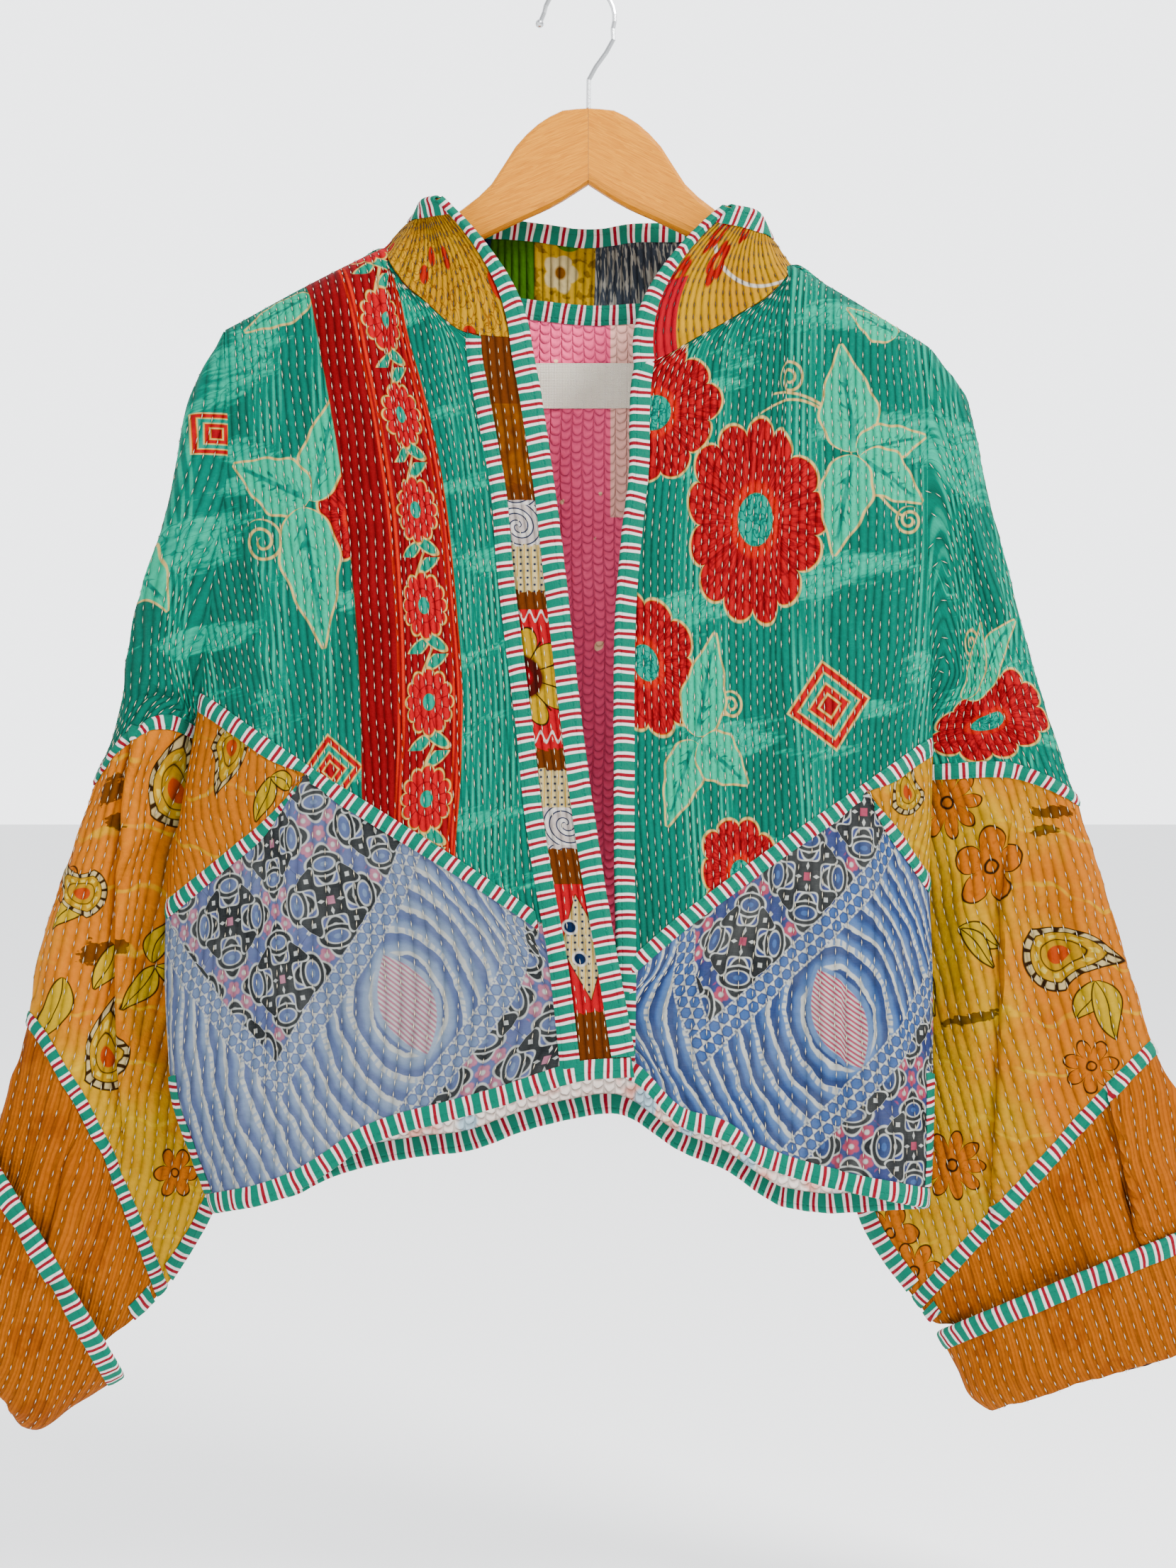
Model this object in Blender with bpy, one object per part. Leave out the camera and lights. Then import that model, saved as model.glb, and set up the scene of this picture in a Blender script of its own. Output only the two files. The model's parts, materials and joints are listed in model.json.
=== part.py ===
"""An open-front quilted patchwork jacket on a wooden hanger.

Sizes are in millimetres and become metres where a mesh is made. The hanger's centre line is X 0 in
the tables; the finished part has its origin at the inside of the hook's crown, its front faces -Y.
Cloth is a wall: each panel is a grid of points on the wall's inner face, and its outer face is those
points moved out. Bindings are made from the same points, moved further out.
"""
import math

import bmesh
import bpy
import numpy as np
from mathutils import Vector

MM = 0.001

# Hanger and placing
HOOK_OFFSET = 5.7
EYE_DISTANCE = 1400.0
EYE_HEIGHT = -496.0

# Cloth
WALL = 2.0
HALF_SEAM = 0.15
ARMHOLE_GAP = 0.3
BINDING_THICKNESS = 1.2
BINDING_LIFT = 0.35
EDGE_BINDING = 10.0
SLIT_TOP = -674.0
SLIT_INSET = 2.4
RIDGE_DROP = 22.0
ARMHOLE_HALF = 15.0
UNDERARM_LEFT = -445.0
UNDERARM_RIGHT = -472.0
UNDERARM_CLOSE = 70.0
ROUND_POWER = 0.75
ARMHOLE_SLOPE = 5

# Body outline, as (height, side)
BODY_LEFT = (
    (-200, -222), (-223, -225), (-289, -223), (-348, -229), (-395, -235), (-445, -240), (-502, -249),
    (-561, -260), (-612, -261), (-674, -258), (-696, -255), (-731, -242), (-762, -231))
BODY_RIGHT = (
    (-200, 211), (-239, 211), (-332, 210), (-435, 211), (-472, 212), (-558, 210), (-626, 212),
    (-692, 212), (-762, 209))

# Shoulder ridge, as (side, height)
RIDGE = (
    (-262, -262), (-245, -236), (-231, -220), (-215, -211), (-173, -188), (-126, -165), (-95, -153),
    (0, -146), (95, -160), (126, -176), (159, -195), (195, -217), (211, -227), (227, -242), (245, -264))

# Depth of the front and the back from the side line, as (height, depth)
FRONT_DEPTH = ((-150, 24), (-230, 27), (-330, 33), (-450, 40), (-600, 42), (-770, 40))
BACK_DEPTH = ((-150, 26), (-230, 28), (-330, 30), (-450, 33), (-600, 34), (-770, 32))
SIDE_LINE = ((-150, 0), (-400, 0), (-470, -3), (-540, -9), (-620, -14), (-770, -15))

# Neck seams, as (side, height)
NECK_LEFT = (
    (-125, -164.5), (-123.6, -170.5), (-117, -182), (-99, -199), (-76, -216), (-50, -219), (-38, -219))
NECK_RIGHT = (
    (30, -236), (39, -234), (57, -225), (73, -216), (103, -199), (115, -190), (122.4, -181),
    (124.2, -175))
NECK_BACK = (
    (-125, -164.5), (-123, -170.5), (-113, -181), (-84, -193), (-42, -200), (0, -205), (40, -203),
    (86, -197), (113, -190), (122.2, -181), (124.2, -175))

# Front edges and the placket's seam, as (height, side)
EDGE_LEFT = (
    (-200, -40), (-219, -38), (-247, -33), (-330, -21), (-390, -14), (-462, -6), (-535, 4), (-607, 16),
    (-680, 29))
PLACKET_SEAM = (
    (-200, -72), (-221, -72), (-265, -65), (-324, -55), (-378, -51), (-438, -42), (-498, -36),
    (-547, -29), (-607, -18), (-680, -10))
EDGE_RIGHT = (
    (-200, 32), (-234, 31), (-256, 28), (-289, 28), (-360, 21), (-419, 18), (-535, 18), (-602, 19),
    (-680, 18))

# Seams between the green, orange and blue cloths, as (side, height)
GREEN_LEFT = ((-240, -445), (-175, -490), (-89, -543), (-29, -583), (0, -604))
BLUE_LEFT = ((-262, -576), (-215, -536), (-175, -501), (-171, -493))
GREEN_RIGHT = ((10, -624), (25, -611), (51, -588), (111, -543), (166, -505), (212, -472))
BLUE_RIGHT = ((168, -504), (175, -511), (192, -532), (212, -562))

# Hems, as (side, height)
HEM_LEFT = (
    (-233, -760), (-205, -755), (-175, -743), (-141, -720), (-119, -711), (-85, -702), (-43, -690),
    (0, -677), (32, -675))
HEM_RIGHT = (
    (16, -674), (23, -675), (49, -702), (85, -715), (102, -728), (132, -739), (172, -749), (210, -757))
HEM_BACK = (
    (-233, -760), (-183, -749), (-158, -737), (-119, -727), (-68, -720), (-34, -707), (13, -699),
    (44, -701), (59, -725), (94, -737), (117, -755), (145, -760), (210, -757))

# Folds of the body, each pushed out or in along Y:
# top side, top height, bottom side, bottom height, half width, push, layer (-1 front, 1 back)
BODY_FOLDS = (
    (-176, -250, -205, -470, 16, 4.5, -1),
    (-120, -430, -150, -800, 26, -5.0, -1),
    (-60, -520, -70, -800, 20, 3.5, -1),
    (-215, -560, -222, -800, 17, 3.0, -1),
    (170, -262, 188, -480, 15, 4.0, -1),
    (122, -300, 104, -560, 24, -3.0, -1),
    (88, -590, 84, -800, 11, 5.0, -1),
    (128, -560, 134, -800, 20, -5.5, -1),
    (182, -600, 186, -800, 15, 3.5, -1),
    (-140, -260, -175, -800, 24, 5.0, 1),
    (-60, -330, -66, -800, 26, -4.0, 1),
    (52, -400, 50, -800, 15, -7.0, 1),
    (118, -300, 112, -800, 24, 6.0, 1),
    (176, -480, 182, -800, 18, -4.0, 1))
FOLD_FADE = 0.28
OVERLAP_PUSH = 8.0
OVERLAP_START = -500.0
OVERLAP_FULL = -590.0

# Grid lines of the panels, as parts of the way across or down
LEFT_COLUMNS = (0, 0.016, 0.055, 0.13, 0.235, 0.345, 0.45, 0.55, 0.647, 0.656, 0.70, 0.81, 0.974, 1)
RIGHT_COLUMNS = (0, 0.018, 0.06, 0.125, 0.206, 0.30, 0.395, 0.485, 0.495, 0.54, 0.66, 0.80, 0.945, 1)
PLACKET_COLUMNS = (0, 0.16, 0.68, 1)
BACK_COLUMNS = (
    0, 0.008, 0.03, 0.07, 0.12, 0.175, 0.224, 0.2285, 0.25, 0.31, 0.38, 0.45, 0.52, 0.59, 0.66,
    0.725, 0.775, 0.795, 0.7996, 0.86, 0.91, 0.95, 0.978, 0.992, 1)
LEFT_CORNER = 5
RIGHT_CORNER = 4
LEFT_NECK = 8
RIGHT_NECK = 7
BACK_NECK = (6, 18)
UPPER_ROWS = (0, 0.006, 0.03, 0.085, 0.165, 0.27, 0.39, 0.52, 0.67, 0.83)
SIDE_ROWS = 4
LOWER_ROWS = (0.22, 0.44, 0.65, 0.84)
SEAM_ROW = 6.0

# Collar: part of the way round from the left tip to the right tip, then side, depth, height
COLLAR_TOP = (
    (0.00, -92, -29, -132), (0.10, -101, -16, -135), (0.20, -104, 1, -142), (0.31, -80, 23, -147),
    (0.42, -41, 29, -149), (0.50, 0, 31, -154), (0.58, 34, 29, -150), (0.69, 82, 23, -150),
    (0.80, 108, 1, -151), (0.90, 103, -16, -142), (1.00, 85, -29, -137))
COLLAR_MIDDLE_ROWS = (0.37, 0.64)
COLLAR_BOW = ((0.0, 10), (0.12, 3), (0.2, 0), (0.8, 0), (0.88, -5), (1.0, -17))

# Sleeves, a row for each station from the armhole to the turned-back end:
# station, outer side, outer height, inner side, inner height, outer depth, inner depth,
# half thickness in front, half thickness behind, lift of the middle
LEFT_SLEEVE = (
    (1, -245, -256, -247, -447, 2, 3, 16, 15, 0),
    (2, -259, -320, -251, -450, 3, 7, 16, 15, 2),
    (3, -272, -380, -253, -454, 3, 11, 17, 15, 6),
    (4, -287, -440, -252, -459, 4, 16, 17, 15, 12),
    (5, -303, -493, -248, -468, 5, 21, 16, 15, 22),
    (6, -318, -539, -237, -510, 7, 27, 15, 15, 13),
    (7, -334, -586, -229, -572, 9, 32, 15, 15, 7),
    (8, -341, -610, -223, -650, 11, 35, 15, 15, 3),
    (9, -343, -626, -226, -738, 12, 34, 15, 15, 5),
    (10, -345, -642, -266, -809, 12, 27, 16, 15, 12),
    (11, -357, -680, -285, -828, 12, 21, 18, 16, 5),
    (12, -372, -722, -303, -842, 12, 18, 18, 15, 0),
    (13, -397, -745, -325, -864, 12, 18, 18, 15, 0),
    (14, -420, -763, -346, -883, 12, 18, 18, 15, 0),
    (15, -430, -764, -354, -893, 12, 18, 24, 22, 0),
    (16, -428, -752, -345, -897, 12, 18, 30, 28, 0),
    (17, -408, -734, -319, -882, 12, 18, 33, 29, 0),
    (18, -382, -712, -290, -864, 12, 18, 36, 30, 0))
RIGHT_SLEEVE = (
    (1, 231, -256, 220, -474, 2, 3, 16, 15, 0),
    (2, 246, -312, 224, -477, 3, 7, 16, 15, 2),
    (3, 260, -368, 225, -481, 3, 11, 16, 15, 4),
    (4, 275, -428, 223, -487, 4, 16, 16, 15, 8),
    (5, 301, -506, 218, -496, 5, 21, 16, 15, 14),
    (6, 318, -556, 195, -545, 7, 29, 16, 15, 8),
    (7, 332, -603, 176, -612, 9, 36, 16, 15, 4),
    (8, 341, -632, 163, -690, 10, 39, 16, 15, 0),
    (9, 345, -648, 173, -768, 11, 35, 17, 15, 0),
    (10, 348, -660, 206, -816, 12, 25, 18, 16, 0),
    (11, 367, -707, 215, -828, 12, 21, 18, 16, 0),
    (12, 387, -769, 231, -832, 12, 18, 18, 15, 0),
    (13, 395, -799, 241, -854, 12, 18, 18, 15, 0),
    (14, 400, -825, 251, -871, 12, 18, 18, 15, 0),
    (15, 407, -837, 251, -885, 12, 18, 24, 22, 0),
    (16, 412, -827, 240, -879, 12, 18, 29, 28, 0),
    (17, 405, -798, 229, -859, 12, 18, 31, 29, 0),
    (18, 398, -764, 218, -838, 12, 18, 33, 30, 0))
SLEEVE_ACROSS = (0, 0.02, 0.08, 0.18, 0.29, 0.36, 0.43, 0.55, 0.70, 0.86, 0.965, 1)
# Rows of the sleeves' grids, as a station and a distance past it along the cloth
SLEEVE_ROWS = (
    (0, 0), (0.5, 0), (1, 0), (2, 0), (3, 0), (4, 0), (5, -5), (5, 0), (5, 5), (6, 0), (7, 0),
    (8, 0), (9, 0), (10, -5), (10, 0), (10, 5), (11, 0), (12, 0), (13, 0), (14, 0), (15, 0), (16, 0),
    (17, 0), (18, -10), (18, 0))
TOP_SEAM = 5
MIDDLE_SEAM = 10
TURN = 15
SLEEVE_END = 18
UNDERARM_START = 8
UNDERARM_END = 11
BLEND_STATIONS = 4.0

# Lengthwise folds of the sleeves: first station, last station, place across, half width, push, layer
LEFT_SLEEVE_FOLDS = (
    (4.2, 10.5, 0.17, 0.19, 9.0, -1),
    (5.0, 10.2, 0.62, 0.14, -4.0, -1),
    (10.2, 13.5, 0.45, 0.20, 7.0, -1),
    (3.0, 11.0, 0.35, 0.16, 5.0, 1),
    (4.0, 13.0, 0.70, 0.14, -5.0, 1))
RIGHT_SLEEVE_FOLDS = (
    (2.5, 9.5, 0.60, 0.13, 5.0, -1),
    (5.5, 10.0, 0.30, 0.14, -4.0, -1),
    (10.3, 13.5, 0.34, 0.13, 9.0, -1),
    (3.0, 11.0, 0.40, 0.16, -5.0, 1),
    (4.0, 13.0, 0.72, 0.14, 5.0, 1))

# Label inside the neck
LABEL_SIDE = (-35, 29)
LABEL_HEIGHT = (-263, -235)
LABEL_THICKNESS = 1.0
LABEL_LIFT = 0.35

# Hanger
HANGER_TIP = (-221, 207)
HANGER_TOP = (
    (0, -77), (14, -78), (27, -84), (37, -92), (46, -102), (54, -115), (60, -124), (67, -131),
    (80, -141), (95, -150))
HANGER_UNDER = (
    (0, -124), (21, -137), (45, -148), (70, -160), (100, -176), (130, -192), (170, -214), (200, -230),
    (222, -240))
HANGER_HALF_THICKNESS = ((0, 7.0), (60, 7.0), (120, 6.0), (222, 5.2))
HANGER_ROUNDING = 5.0
HANGER_STOPS = (
    0.15, 8, 16, 24, 31, 38, 45, 52, 60, 68, 80, 95, 110, 126, 145, 165, 185, 200, 212)
NECK_REACH = 95
RIDGE_CLEARANCE = 1.4
NECK_DIP = 1.2
NECK_DIP_AT = 124
NECK_DIP_WIDTH = 10
HOOK_WIRE = 3.0
HOOK_RADIUS = 22.0
HOOK_STEPS = 16
HOOK_BALL = 2.7
HOOK_STEM = ((0, -76.6), (0.2, -59), (4.5, -51), (11, -42), (15.4, -34))
HOOK_START_DEGREES = -18
HOOK_END_DEGREES = 172
HOOK_TIP = (-30.2, -24.0)

# Colours as linear red, green, blue
GREEN = (0.01, 0.22, 0.17)
RED = (0.42, 0.02, 0.03)
BLUE = (0.12, 0.20, 0.38)
ORANGE = (0.55, 0.19, 0.02)
MUSTARD = (0.62, 0.34, 0.03)
BROWN = (0.16, 0.05, 0.01)
PINK = (0.55, 0.16, 0.22)
CREAM = (0.80, 0.74, 0.62)
STRIPE = (0.30, 0.50, 0.45)
WOOD = (0.55, 0.30, 0.12)
STEEL = (0.60, 0.60, 0.62)


def along(rows, at):
    """Smooth value at a place along short rows of (place, value), with no overshoot."""
    table = np.array(sorted(rows), float)
    place, value = table[:, 0], table[:, 1]
    run = np.diff(place)
    slope = np.diff(value) / run
    tangent = np.zeros(len(value))
    tangent[0], tangent[-1] = slope[0], slope[-1]
    for i in range(1, len(slope)):
        if slope[i - 1] * slope[i] > 0:
            tangent[i] = 2 * slope[i - 1] * slope[i] / (slope[i - 1] + slope[i])
    i = int(np.clip(np.searchsorted(place, at) - 1, 0, len(run) - 1))
    t = min(max((at - place[i]) / run[i], 0.0), 1.0)
    start = (2 * t**3 - 3 * t**2 + 1) * value[i] + (t**3 - 2 * t**2 + t) * run[i] * tangent[i]
    end = (3 * t**2 - 2 * t**3) * value[i + 1] + (t**3 - t**2) * run[i] * tangent[i + 1]
    return float(start + end)


def ease(value):
    """Smooth step from 0 to 1."""
    t = min(max(value, 0.0), 1.0)
    return t * t * (3 - 2 * t)


def place(x, y, z):
    """A point as measured at the hanger's depth, set at its own depth."""
    size = 1 + y / EYE_DISTANCE
    return np.array((x * size + HOOK_OFFSET, y, EYE_HEIGHT + (z - EYE_HEIGHT) * size))


def unit(vector):
    """The vector at length 1."""
    return vector / max(np.linalg.norm(vector), 1e-12)


def middle_and_half(z):
    """Middle and half width of the body at a height."""
    left, right = along(BODY_LEFT, z), along(BODY_RIGHT, z)
    return (left + right) / 2, (right - left) / 2


def body_folds(x, z, layer):
    """How far the folds push the cloth out at a place."""
    push = 0.0
    for top_x, top_z, low_x, low_z, width, amount, side in BODY_FOLDS:
        if side == layer:
            t = (top_z - z) / (top_z - low_z)
            if t > 0:
                line = top_x + (low_x - top_x) * min(t, 1)
                push += amount * ease(t / FOLD_FADE) * math.exp(-(((x - line) / width) ** 2))
    return push


def body_point(layer, turn, drop, left_front=False):
    """A point of the body: turn goes 0 to pi from side to side, drop from the ridge down."""
    quarter = min(drop, 1.0) * math.pi / 2
    fall = RIDGE_DROP * (1 - math.cos(quarter)) + max(drop - 1.0, 0.0) * RIDGE_DROP
    z = -400.0
    for _ in range(12):
        middle, half = middle_and_half(z)
        x = middle - half * math.cos(turn)
        z = along(RIDGE, x) - fall
    underarm = UNDERARM_LEFT if x < 0 else UNDERARM_RIGHT
    closing = min(max((z - underarm) / UNDERARM_CLOSE, 0.0), 1.0) ** 0.6
    swell = along(FRONT_DEPTH if layer < 0 else BACK_DEPTH, z)
    rolled = math.sin(min(max(turn, 0.0), math.pi)) ** ROUND_POWER
    sloped = 1 - abs(math.cos(turn)) ** ARMHOLE_SLOPE
    across = closing * sloped + (1 - closing) * rolled
    depth = ARMHOLE_HALF * closing * abs(math.cos(turn)) ** 6 + swell * across
    depth += body_folds(x, z, layer) * across
    if left_front:
        down = (OVERLAP_START - z) / (OVERLAP_START - OVERLAP_FULL)
        depth += OVERLAP_PUSH * ease(down) * ease((x + 75) / 75)
    return place(x, along(SIDE_LINE, z) + layer * depth * math.sin(quarter), z)


def body_at(layer, x, z, left_front=False):
    """Point and outward direction of the body at a side and a height."""
    middle, half = middle_and_half(z)
    turn = math.acos(min(max((middle - x) / half, -1.0), 1.0))
    fall = max(along(RIDGE, x) - z, 0.0)
    if fall < RIDGE_DROP:
        drop = math.acos(1 - fall / RIDGE_DROP) / (math.pi / 2)
    else:
        drop = 1 + (fall - RIDGE_DROP) / RIDGE_DROP
    step = 0.004
    low, high = max(turn - step, 0.0), min(turn + step, math.pi)
    point = body_point(layer, turn, drop, left_front)
    sideways = body_point(layer, high, drop, left_front) - body_point(layer, low, drop, left_front)
    down = body_point(layer, turn, drop + step, left_front)
    down = down - body_point(layer, turn, max(drop - step, 0.0), left_front)
    return point, layer * unit(np.cross(unit(sideways), unit(down)))


class Cloth:
    """A grid of points with their outward directions."""

    def __init__(self, points, normals):
        self.points = np.array(points, float)
        self.normals = np.array(normals, float)

    def part(self, rows, columns):
        """The stretch of the grid between given rows and columns, both ends included."""
        area = (slice(rows[0], rows[1] + 1), slice(columns[0], columns[1] + 1))
        return Cloth(self.points[area], self.normals[area])

    def turned(self):
        """The same grid with its rows as columns."""
        return Cloth(self.points.transpose(1, 0, 2), self.normals.transpose(1, 0, 2))

    def trimmed(self, top=HALF_SEAM, bottom=HALF_SEAM, left=HALF_SEAM, right=HALF_SEAM):
        """The grid with its border drawn in along the cloth."""
        points = self.points.copy()
        for first, second, amount in ((0, 1, top), (-1, -2, bottom)):
            shift = self.points[second] - self.points[first]
            length = np.linalg.norm(shift, axis=-1, keepdims=True)
            points[first] += shift / np.maximum(length, 1e-9) * amount
        for first, second, amount in ((0, 1, left), (-1, -2, right)):
            shift = self.points[:, second] - self.points[:, first]
            length = np.linalg.norm(shift, axis=-1, keepdims=True)
            points[:, first] += shift / np.maximum(length, 1e-9) * np.reshape(amount, (-1, 1))
        return Cloth(points, self.normals)

    def moved(self, distance):
        """The points moved out."""
        return self.points + self.normals * distance


def grid_normals(points, closed):
    """Outward directions of a tube's grid, from the points around each one."""
    count = len(points)
    before = points[[max(i - 1, 0) for i in range(count)]]
    after = points[[min(i + 1, count - 1) for i in range(count)]]
    down = after - before
    if closed:
        across = np.roll(points, -1, axis=1) - np.roll(points, 1, axis=1)
    else:
        across = np.gradient(points, axis=1)
    normals = np.cross(across, down)
    return normals / np.maximum(np.linalg.norm(normals, axis=-1, keepdims=True), 1e-9)


def finish(name, mesh_data, colour, roughness=0.85, metallic=0.0):
    """Add a piece to the jacket's collection, with its own material."""
    material = bpy.data.materials.new(name)
    material.use_nodes = True
    shader = material.node_tree.nodes["Principled BSDF"]
    shader.inputs["Base Color"].default_value = (*colour, 1)
    shader.inputs["Roughness"].default_value = roughness
    shader.inputs["Metallic"].default_value = metallic
    material.diffuse_color = (*colour, 1)
    piece = bpy.data.objects.new(name, mesh_data)
    piece.data.materials.append(material)
    collection.objects.link(piece)
    return piece


def face_out(shape):
    """Turn a closed shape's faces outward."""
    bmesh.ops.recalc_face_normals(shape, faces=shape.faces)
    if shape.calc_volume(signed=True) < 0:
        bmesh.ops.reverse_faces(shape, faces=shape.faces)


def add_end(shape, inner, next_inner, next_outer, outer):
    """Close a wall's end with two faces, split the same way on both sides of a seam."""
    if inner.co.z > next_inner.co.z:
        shape.faces.new((inner, next_inner, next_outer))
        shape.faces.new((inner, next_outer, outer))
    else:
        shape.faces.new((next_inner, next_outer, outer))
        shape.faces.new((next_inner, outer, inner))


def straight(row, column):
    """No quad of the grid has its diagonal turned."""
    return False


def loft(name, layers, colour, closed_columns=False, turned=straight, **looks):
    """Join an inner and an outer grid of the same size into one closed wall."""
    inner, outer = layers
    rows, columns = inner.shape[:2]
    shape = bmesh.new()
    corners = []
    for grid in (inner, outer):
        corners.append([[shape.verts.new(Vector(p) * MM) for p in row] for row in grid])
    column_steps = range(columns if closed_columns else columns - 1)
    row_steps = range(rows - 1)
    for layer in corners:
        for i in row_steps:
            for j in column_steps:
                a, b = layer[i][j], layer[i + 1][j]
                c, d = layer[i + 1][(j + 1) % columns], layer[i][(j + 1) % columns]
                if turned(i, j):
                    a, b, c, d = b, c, d, a
                shape.faces.new((a, b, c))
                shape.faces.new((a, c, d))
    for i in (0, rows - 1):
        for j in column_steps:
            k = (j + 1) % columns
            add_end(shape, corners[0][i][j], corners[0][i][k], corners[1][i][k], corners[1][i][j])
    if not closed_columns:
        for j in (0, columns - 1):
            for i in row_steps:
                k = i + 1
                add_end(shape, corners[0][i][j], corners[0][k][j], corners[1][k][j], corners[1][i][j])
    face_out(shape)
    data = bpy.data.meshes.new(name)
    shape.to_mesh(data)
    shape.free()
    data.shade_smooth()
    data.set_sharp_from_angle(angle=math.radians(50))
    return finish(name, data, colour, **looks)


def wall(name, cloth, colour, closed=False):
    """A panel of cloth."""
    return loft(name, (cloth.points, cloth.moved(WALL)), colour, closed_columns=closed)


def seam_binding(name, *rows, colour=STRIPE, closed=False, inside=False, turned=straight):
    """A flat binding over a seam, from the rows that it covers."""
    points = np.stack([row.points for row in rows])
    normals = np.stack([row.normals for row in rows])
    low = -BINDING_LIFT if inside else WALL + BINDING_LIFT
    high = low - BINDING_THICKNESS if inside else low + BINDING_THICKNESS
    return loft(name, (points + normals * low, points + normals * high), colour, closed, turned)


def edge_binding(name, inner_row, edge_row, colour=STRIPE, closed=False, upward=0):
    """A binding folded over an edge, from the row inside it and the edge's own row."""
    outward = edge_row.points - inner_row.points
    outward /= np.maximum(np.linalg.norm(outward, axis=-1, keepdims=True), 1e-9)
    rings = []
    for grow in (BINDING_LIFT, BINDING_LIFT + BINDING_THICKNESS):
        beyond = edge_row.points + outward * grow
        rings.append(np.stack([
            inner_row.points + inner_row.normals * (WALL + grow),
            beyond + edge_row.normals * (WALL + grow),
            beyond - edge_row.normals * grow,
            inner_row.points - inner_row.normals * grow]))
    heights = list(edge_row.points[:, 2])

    def turned(row, column):
        if row == 1:
            return heights[column] > heights[(column + 1) % len(heights)]
        return (row == 2) != (column < upward)

    return loft(name, rings, colour, closed, turned)


def row_of(cloth, index):
    """One row of a grid."""
    return Cloth(cloth.points[index], cloth.normals[index])


def joined(*parts):
    """Rows set end to end."""
    return Cloth(np.concatenate([p.points for p in parts]), np.concatenate([p.normals for p in parts]))


def part_of(row, first, last):
    """A stretch of a row, both ends included."""
    return Cloth(row.points[first:last + 1], row.normals[first:last + 1])


def height_on(curve, share, side, edge):
    """Height where a column line, a share of the way from the side to the edge, meets a curve."""
    z = -400.0
    for _ in range(16):
        x = along(side, z) + share * (along(edge, z) - along(side, z))
        z = along(curve, x)
    return z


def column_heights(share, side, edge, top, seam, corner_seam, hem):
    """Heights of the grid's rows down one column of a front."""
    start = height_on(top, share, side, edge)
    green = height_on(seam, share, side, edge)
    blue = height_on(corner_seam, share, side, edge) if corner_seam else green
    end = height_on(hem, share, side, edge)
    upper = [start + part * (green - start) for part in UPPER_ROWS] + [green + SEAM_ROW, green]
    rise = min(SEAM_ROW, 0.3 * (green - blue))
    between = [green - rise, (green + blue) / 2, blue + rise, blue]
    lower_top, lower_end = blue - SEAM_ROW, end + EDGE_BINDING
    lower = [lower_top] + [lower_top + part * (lower_end - lower_top) for part in LOWER_ROWS]
    return upper + between + lower + [lower_end, end]


GREEN_ROW = len(UPPER_ROWS) + 1
BLUE_ROW = GREEN_ROW + SIDE_ROWS
HEM_ROW = BLUE_ROW + len(LOWER_ROWS) + 3
KEPT_ROWS = list(range(GREEN_ROW + 1)) + list(range(BLUE_ROW + 1, HEM_ROW + 1))


def front_grid(side, edge, columns, corner, tops, seam, corner_seam, hem, left_front):
    """The whole front's grid, with its rows gathered at the seam beyond the side triangle."""
    points, normals = [], []
    for index, share in enumerate(columns):
        own_corner = corner_seam if index < corner else None
        heights = column_heights(share, side, edge, tops(index), seam, own_corner, hem)
        column = [
            body_at(-1, along(side, z) + share * (along(edge, z) - along(side, z)), z, left_front)
            for z in heights]
        points.append([point for point, _ in column])
        normals.append([normal for _, normal in column])
    return Cloth(points, normals).turned()


def slit_insets(cloth):
    """How far each row's end at the side is drawn in: a seam above, an open slit below."""
    heights = cloth.points[:, 0, 2]
    return np.where(heights < SLIT_TOP, SLIT_INSET, HALF_SEAM)


def toward(cloth, share):
    """A copy of the grid with its last column set part of the way from the one before it."""
    points, normals = cloth.points.copy(), cloth.normals.copy()
    for values in (points, normals):
        values[:, -1] = values[:, -2] + share * (values[:, -1] - values[:, -2])
    return Cloth(points, normals)


def collar_grid(bottom, top_shares):
    """The collar from its neck seam up, column by column."""
    columns = []
    for start, share in zip(bottom, top_shares):
        end = place(*(along([(row[0], row[i]) for row in COLLAR_TOP], share) for i in (1, 2, 3)))
        length = np.linalg.norm(end - start)
        rows = (0, SEAM_ROW / length, *COLLAR_MIDDLE_ROWS, 1 - EDGE_BINDING / length, 1)
        bow = along(COLLAR_BOW, share)
        columns.append([start + (end - start) * v + np.array((bow * 4 * v * (1 - v), 0, 0)) for v in rows])
    points = np.array(columns).transpose(1, 0, 2)
    return Cloth(points, -grid_normals(points, False))


def sleeve_folds(folds, station, across, layer):
    """How far the lengthwise folds push a sleeve out."""
    push = 0.0
    for first, last, centre, width, amount, side in folds:
        if side == layer:
            t = (station - first) / (last - first)
            fade = ease(t / FOLD_FADE) * ease((1 - t) / FOLD_FADE)
            push += amount * fade * math.exp(-(((across - centre) / width) ** 2))
    return push


def sleeve_point(table, folds, station, across, layer):
    """A point of a sleeve: across goes from the outer edge to the inner one."""
    row = [along([(r[0], r[i]) for r in table], station) for i in range(1, 10)]
    out_x, out_z, in_x, in_z, out_y, in_y, front, behind, lift = row
    x = out_x + (in_x - out_x) * across
    z = out_z + (in_z - out_z) * across + lift * 4 * across * (1 - across)
    y = out_y + (in_y - out_y) * across
    round_out = (1 - abs(2 * across - 1) ** 2.4) ** 0.6
    half = front if layer < 0 else behind
    push = sleeve_folds(folds, station, across, layer) * round_out
    return place(x, y + layer * (half * round_out + push), z)


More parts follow.
